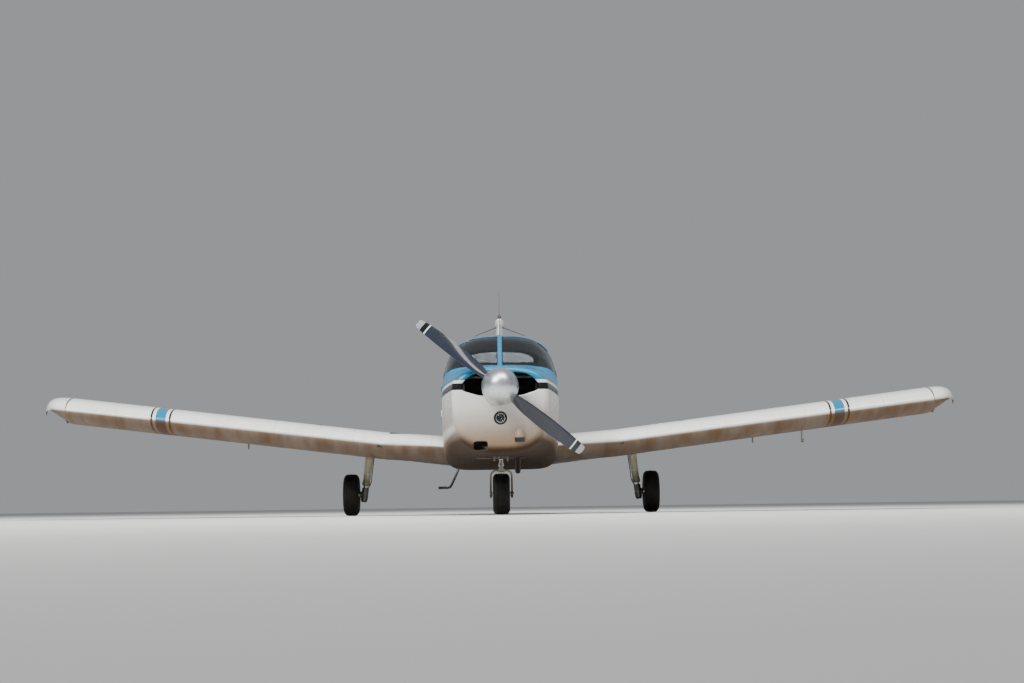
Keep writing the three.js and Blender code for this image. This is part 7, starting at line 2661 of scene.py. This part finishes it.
class AIRCRAFT_OT_cabin(bpy.types.Operator):
    """Build the cabin's skin, door, glass and the tail cone"""
    bl_idname = "aircraft.cabin"
    bl_label = "Build Cabin"

    def execute(self, context):
        build_cabin_shell()
        build_door()
        build_glass()
        build_tail_cone()
        return {"FINISHED"}


class AIRCRAFT_OT_wings(bpy.types.Operator):
    """Build both wings with their tips, flaps and ailerons"""
    bl_idname = "aircraft.wings"
    bl_label = "Build Wings"

    def execute(self, context):
        for side, sign in SIDES:
            build_wing(side, sign)
        return {"FINISHED"}


class AIRCRAFT_OT_tail(bpy.types.Operator):
    """Build the fin, rudder and stabilator"""
    bl_idname = "aircraft.tail"
    bl_label = "Build Tail"

    def execute(self, context):
        build_fin()
        build_fin_cap()
        build_rudder()
        build_stabilator()
        return {"FINISHED"}


class AIRCRAFT_OT_propeller(bpy.types.Operator):
    """Build the propeller and its spinner"""
    bl_idname = "aircraft.propeller"
    bl_label = "Build Propeller"

    def execute(self, context):
        build_propeller()
        build_spinner()
        return {"FINISHED"}


class AIRCRAFT_OT_gear(bpy.types.Operator):
    """Build the three gear legs with their wheels and tyres"""
    bl_idname = "aircraft.gear"
    bl_label = "Build Gear"

    def execute(self, context):
        for side, sign in SIDES:
            build_main_gear(side, sign)
        build_nose_gear()
        return {"FINISHED"}


class AIRCRAFT_OT_engine(bpy.types.Operator):
    """Build the engine behind the inlets, with its baffles and exhaust"""
    bl_idname = "aircraft.engine"
    bl_label = "Build Engine"

    def execute(self, context):
        build_engine()
        return {"FINISHED"}


class AIRCRAFT_OT_interior(bpy.types.Operator):
    """Build the panel, the controls, the floor and the trim"""
    bl_idname = "aircraft.interior"
    bl_label = "Build Interior"

    def execute(self, context):
        build_interior()
        return {"FINISHED"}


class AIRCRAFT_OT_seats(bpy.types.Operator):
    """Build the padded seats on their frames"""
    bl_idname = "aircraft.seats"
    bl_label = "Build Seats"

    def execute(self, context):
        build_seats()
        return {"FINISHED"}


class AIRCRAFT_OT_fittings(bpy.types.Operator):
    """Build the lamps, antennas, step, scoops, lugs and handles"""
    bl_idname = "aircraft.fittings"
    bl_label = "Build Fittings"

    def execute(self, context):
        build_fittings()
        return {"FINISHED"}


class AIRCRAFT_OT_rivets(bpy.types.Operator):
    """Put the rows of rivets on the skins"""
    bl_idname = "aircraft.rivets"
    bl_label = "Add Rivets"

    def execute(self, context):
        build_rivets()
        return {"FINISHED"}


class AIRCRAFT_OT_stage(bpy.types.Operator):
    """Build the floor, the lights and the camera"""
    bl_idname = "aircraft.stage"
    bl_label = "Build Stage"

    def execute(self, context):
        build_stage()
        return {"FINISHED"}


OPERATORS = (
    AIRCRAFT_OT_stage,
    AIRCRAFT_OT_cowling,
    AIRCRAFT_OT_cabin,
    AIRCRAFT_OT_wings,
    AIRCRAFT_OT_tail,
    AIRCRAFT_OT_propeller,
    AIRCRAFT_OT_gear,
    AIRCRAFT_OT_engine,
    AIRCRAFT_OT_interior,
    AIRCRAFT_OT_seats,
    AIRCRAFT_OT_fittings,
    AIRCRAFT_OT_rivets,
)


class AIRCRAFT_PT_sidebar(bpy.types.Panel):
    """The aircraft's settings and its build steps"""
    bl_idname = "AIRCRAFT_PT_sidebar"
    bl_label = "Light Aircraft"
    bl_space_type = "VIEW_3D"
    bl_region_type = "UI"
    bl_category = "Aircraft"

    def draw(self, context):
        layout = self.layout
        for label, settings, group in SETTING_GROUPS:
            layout.label(text=label)
            for name in group.__annotations__:
                layout.prop(getattr(context.scene, settings), name)
        for operator in OPERATORS:
            layout.operator(operator.bl_idname)


SETTING_GROUPS = (
    ("Paint", "aircraft_paint", AircraftPaint),
    ("Details", "aircraft_detail", AircraftDetail),
    ("Stage", "aircraft_stage", AircraftStage),
)


def register():
    for _, settings, group in SETTING_GROUPS:
        bpy.utils.register_class(group)
        setattr(bpy.types.Scene, settings, PointerProperty(type=group))
    for operator in OPERATORS:
        bpy.utils.register_class(operator)
    bpy.utils.register_class(AIRCRAFT_PT_sidebar)


def unregister():
    bpy.utils.unregister_class(AIRCRAFT_PT_sidebar)
    for operator in reversed(OPERATORS):
        bpy.utils.unregister_class(operator)
    for _, settings, group in reversed(SETTING_GROUPS):
        delattr(bpy.types.Scene, settings)
        bpy.utils.unregister_class(group)


def main():
    register()
    make_shader_groups()
    for operator in OPERATORS:
        area, step = operator.bl_idname.split(".")
        getattr(getattr(bpy.ops, area), step)()


if __name__ == "__main__":
    main()
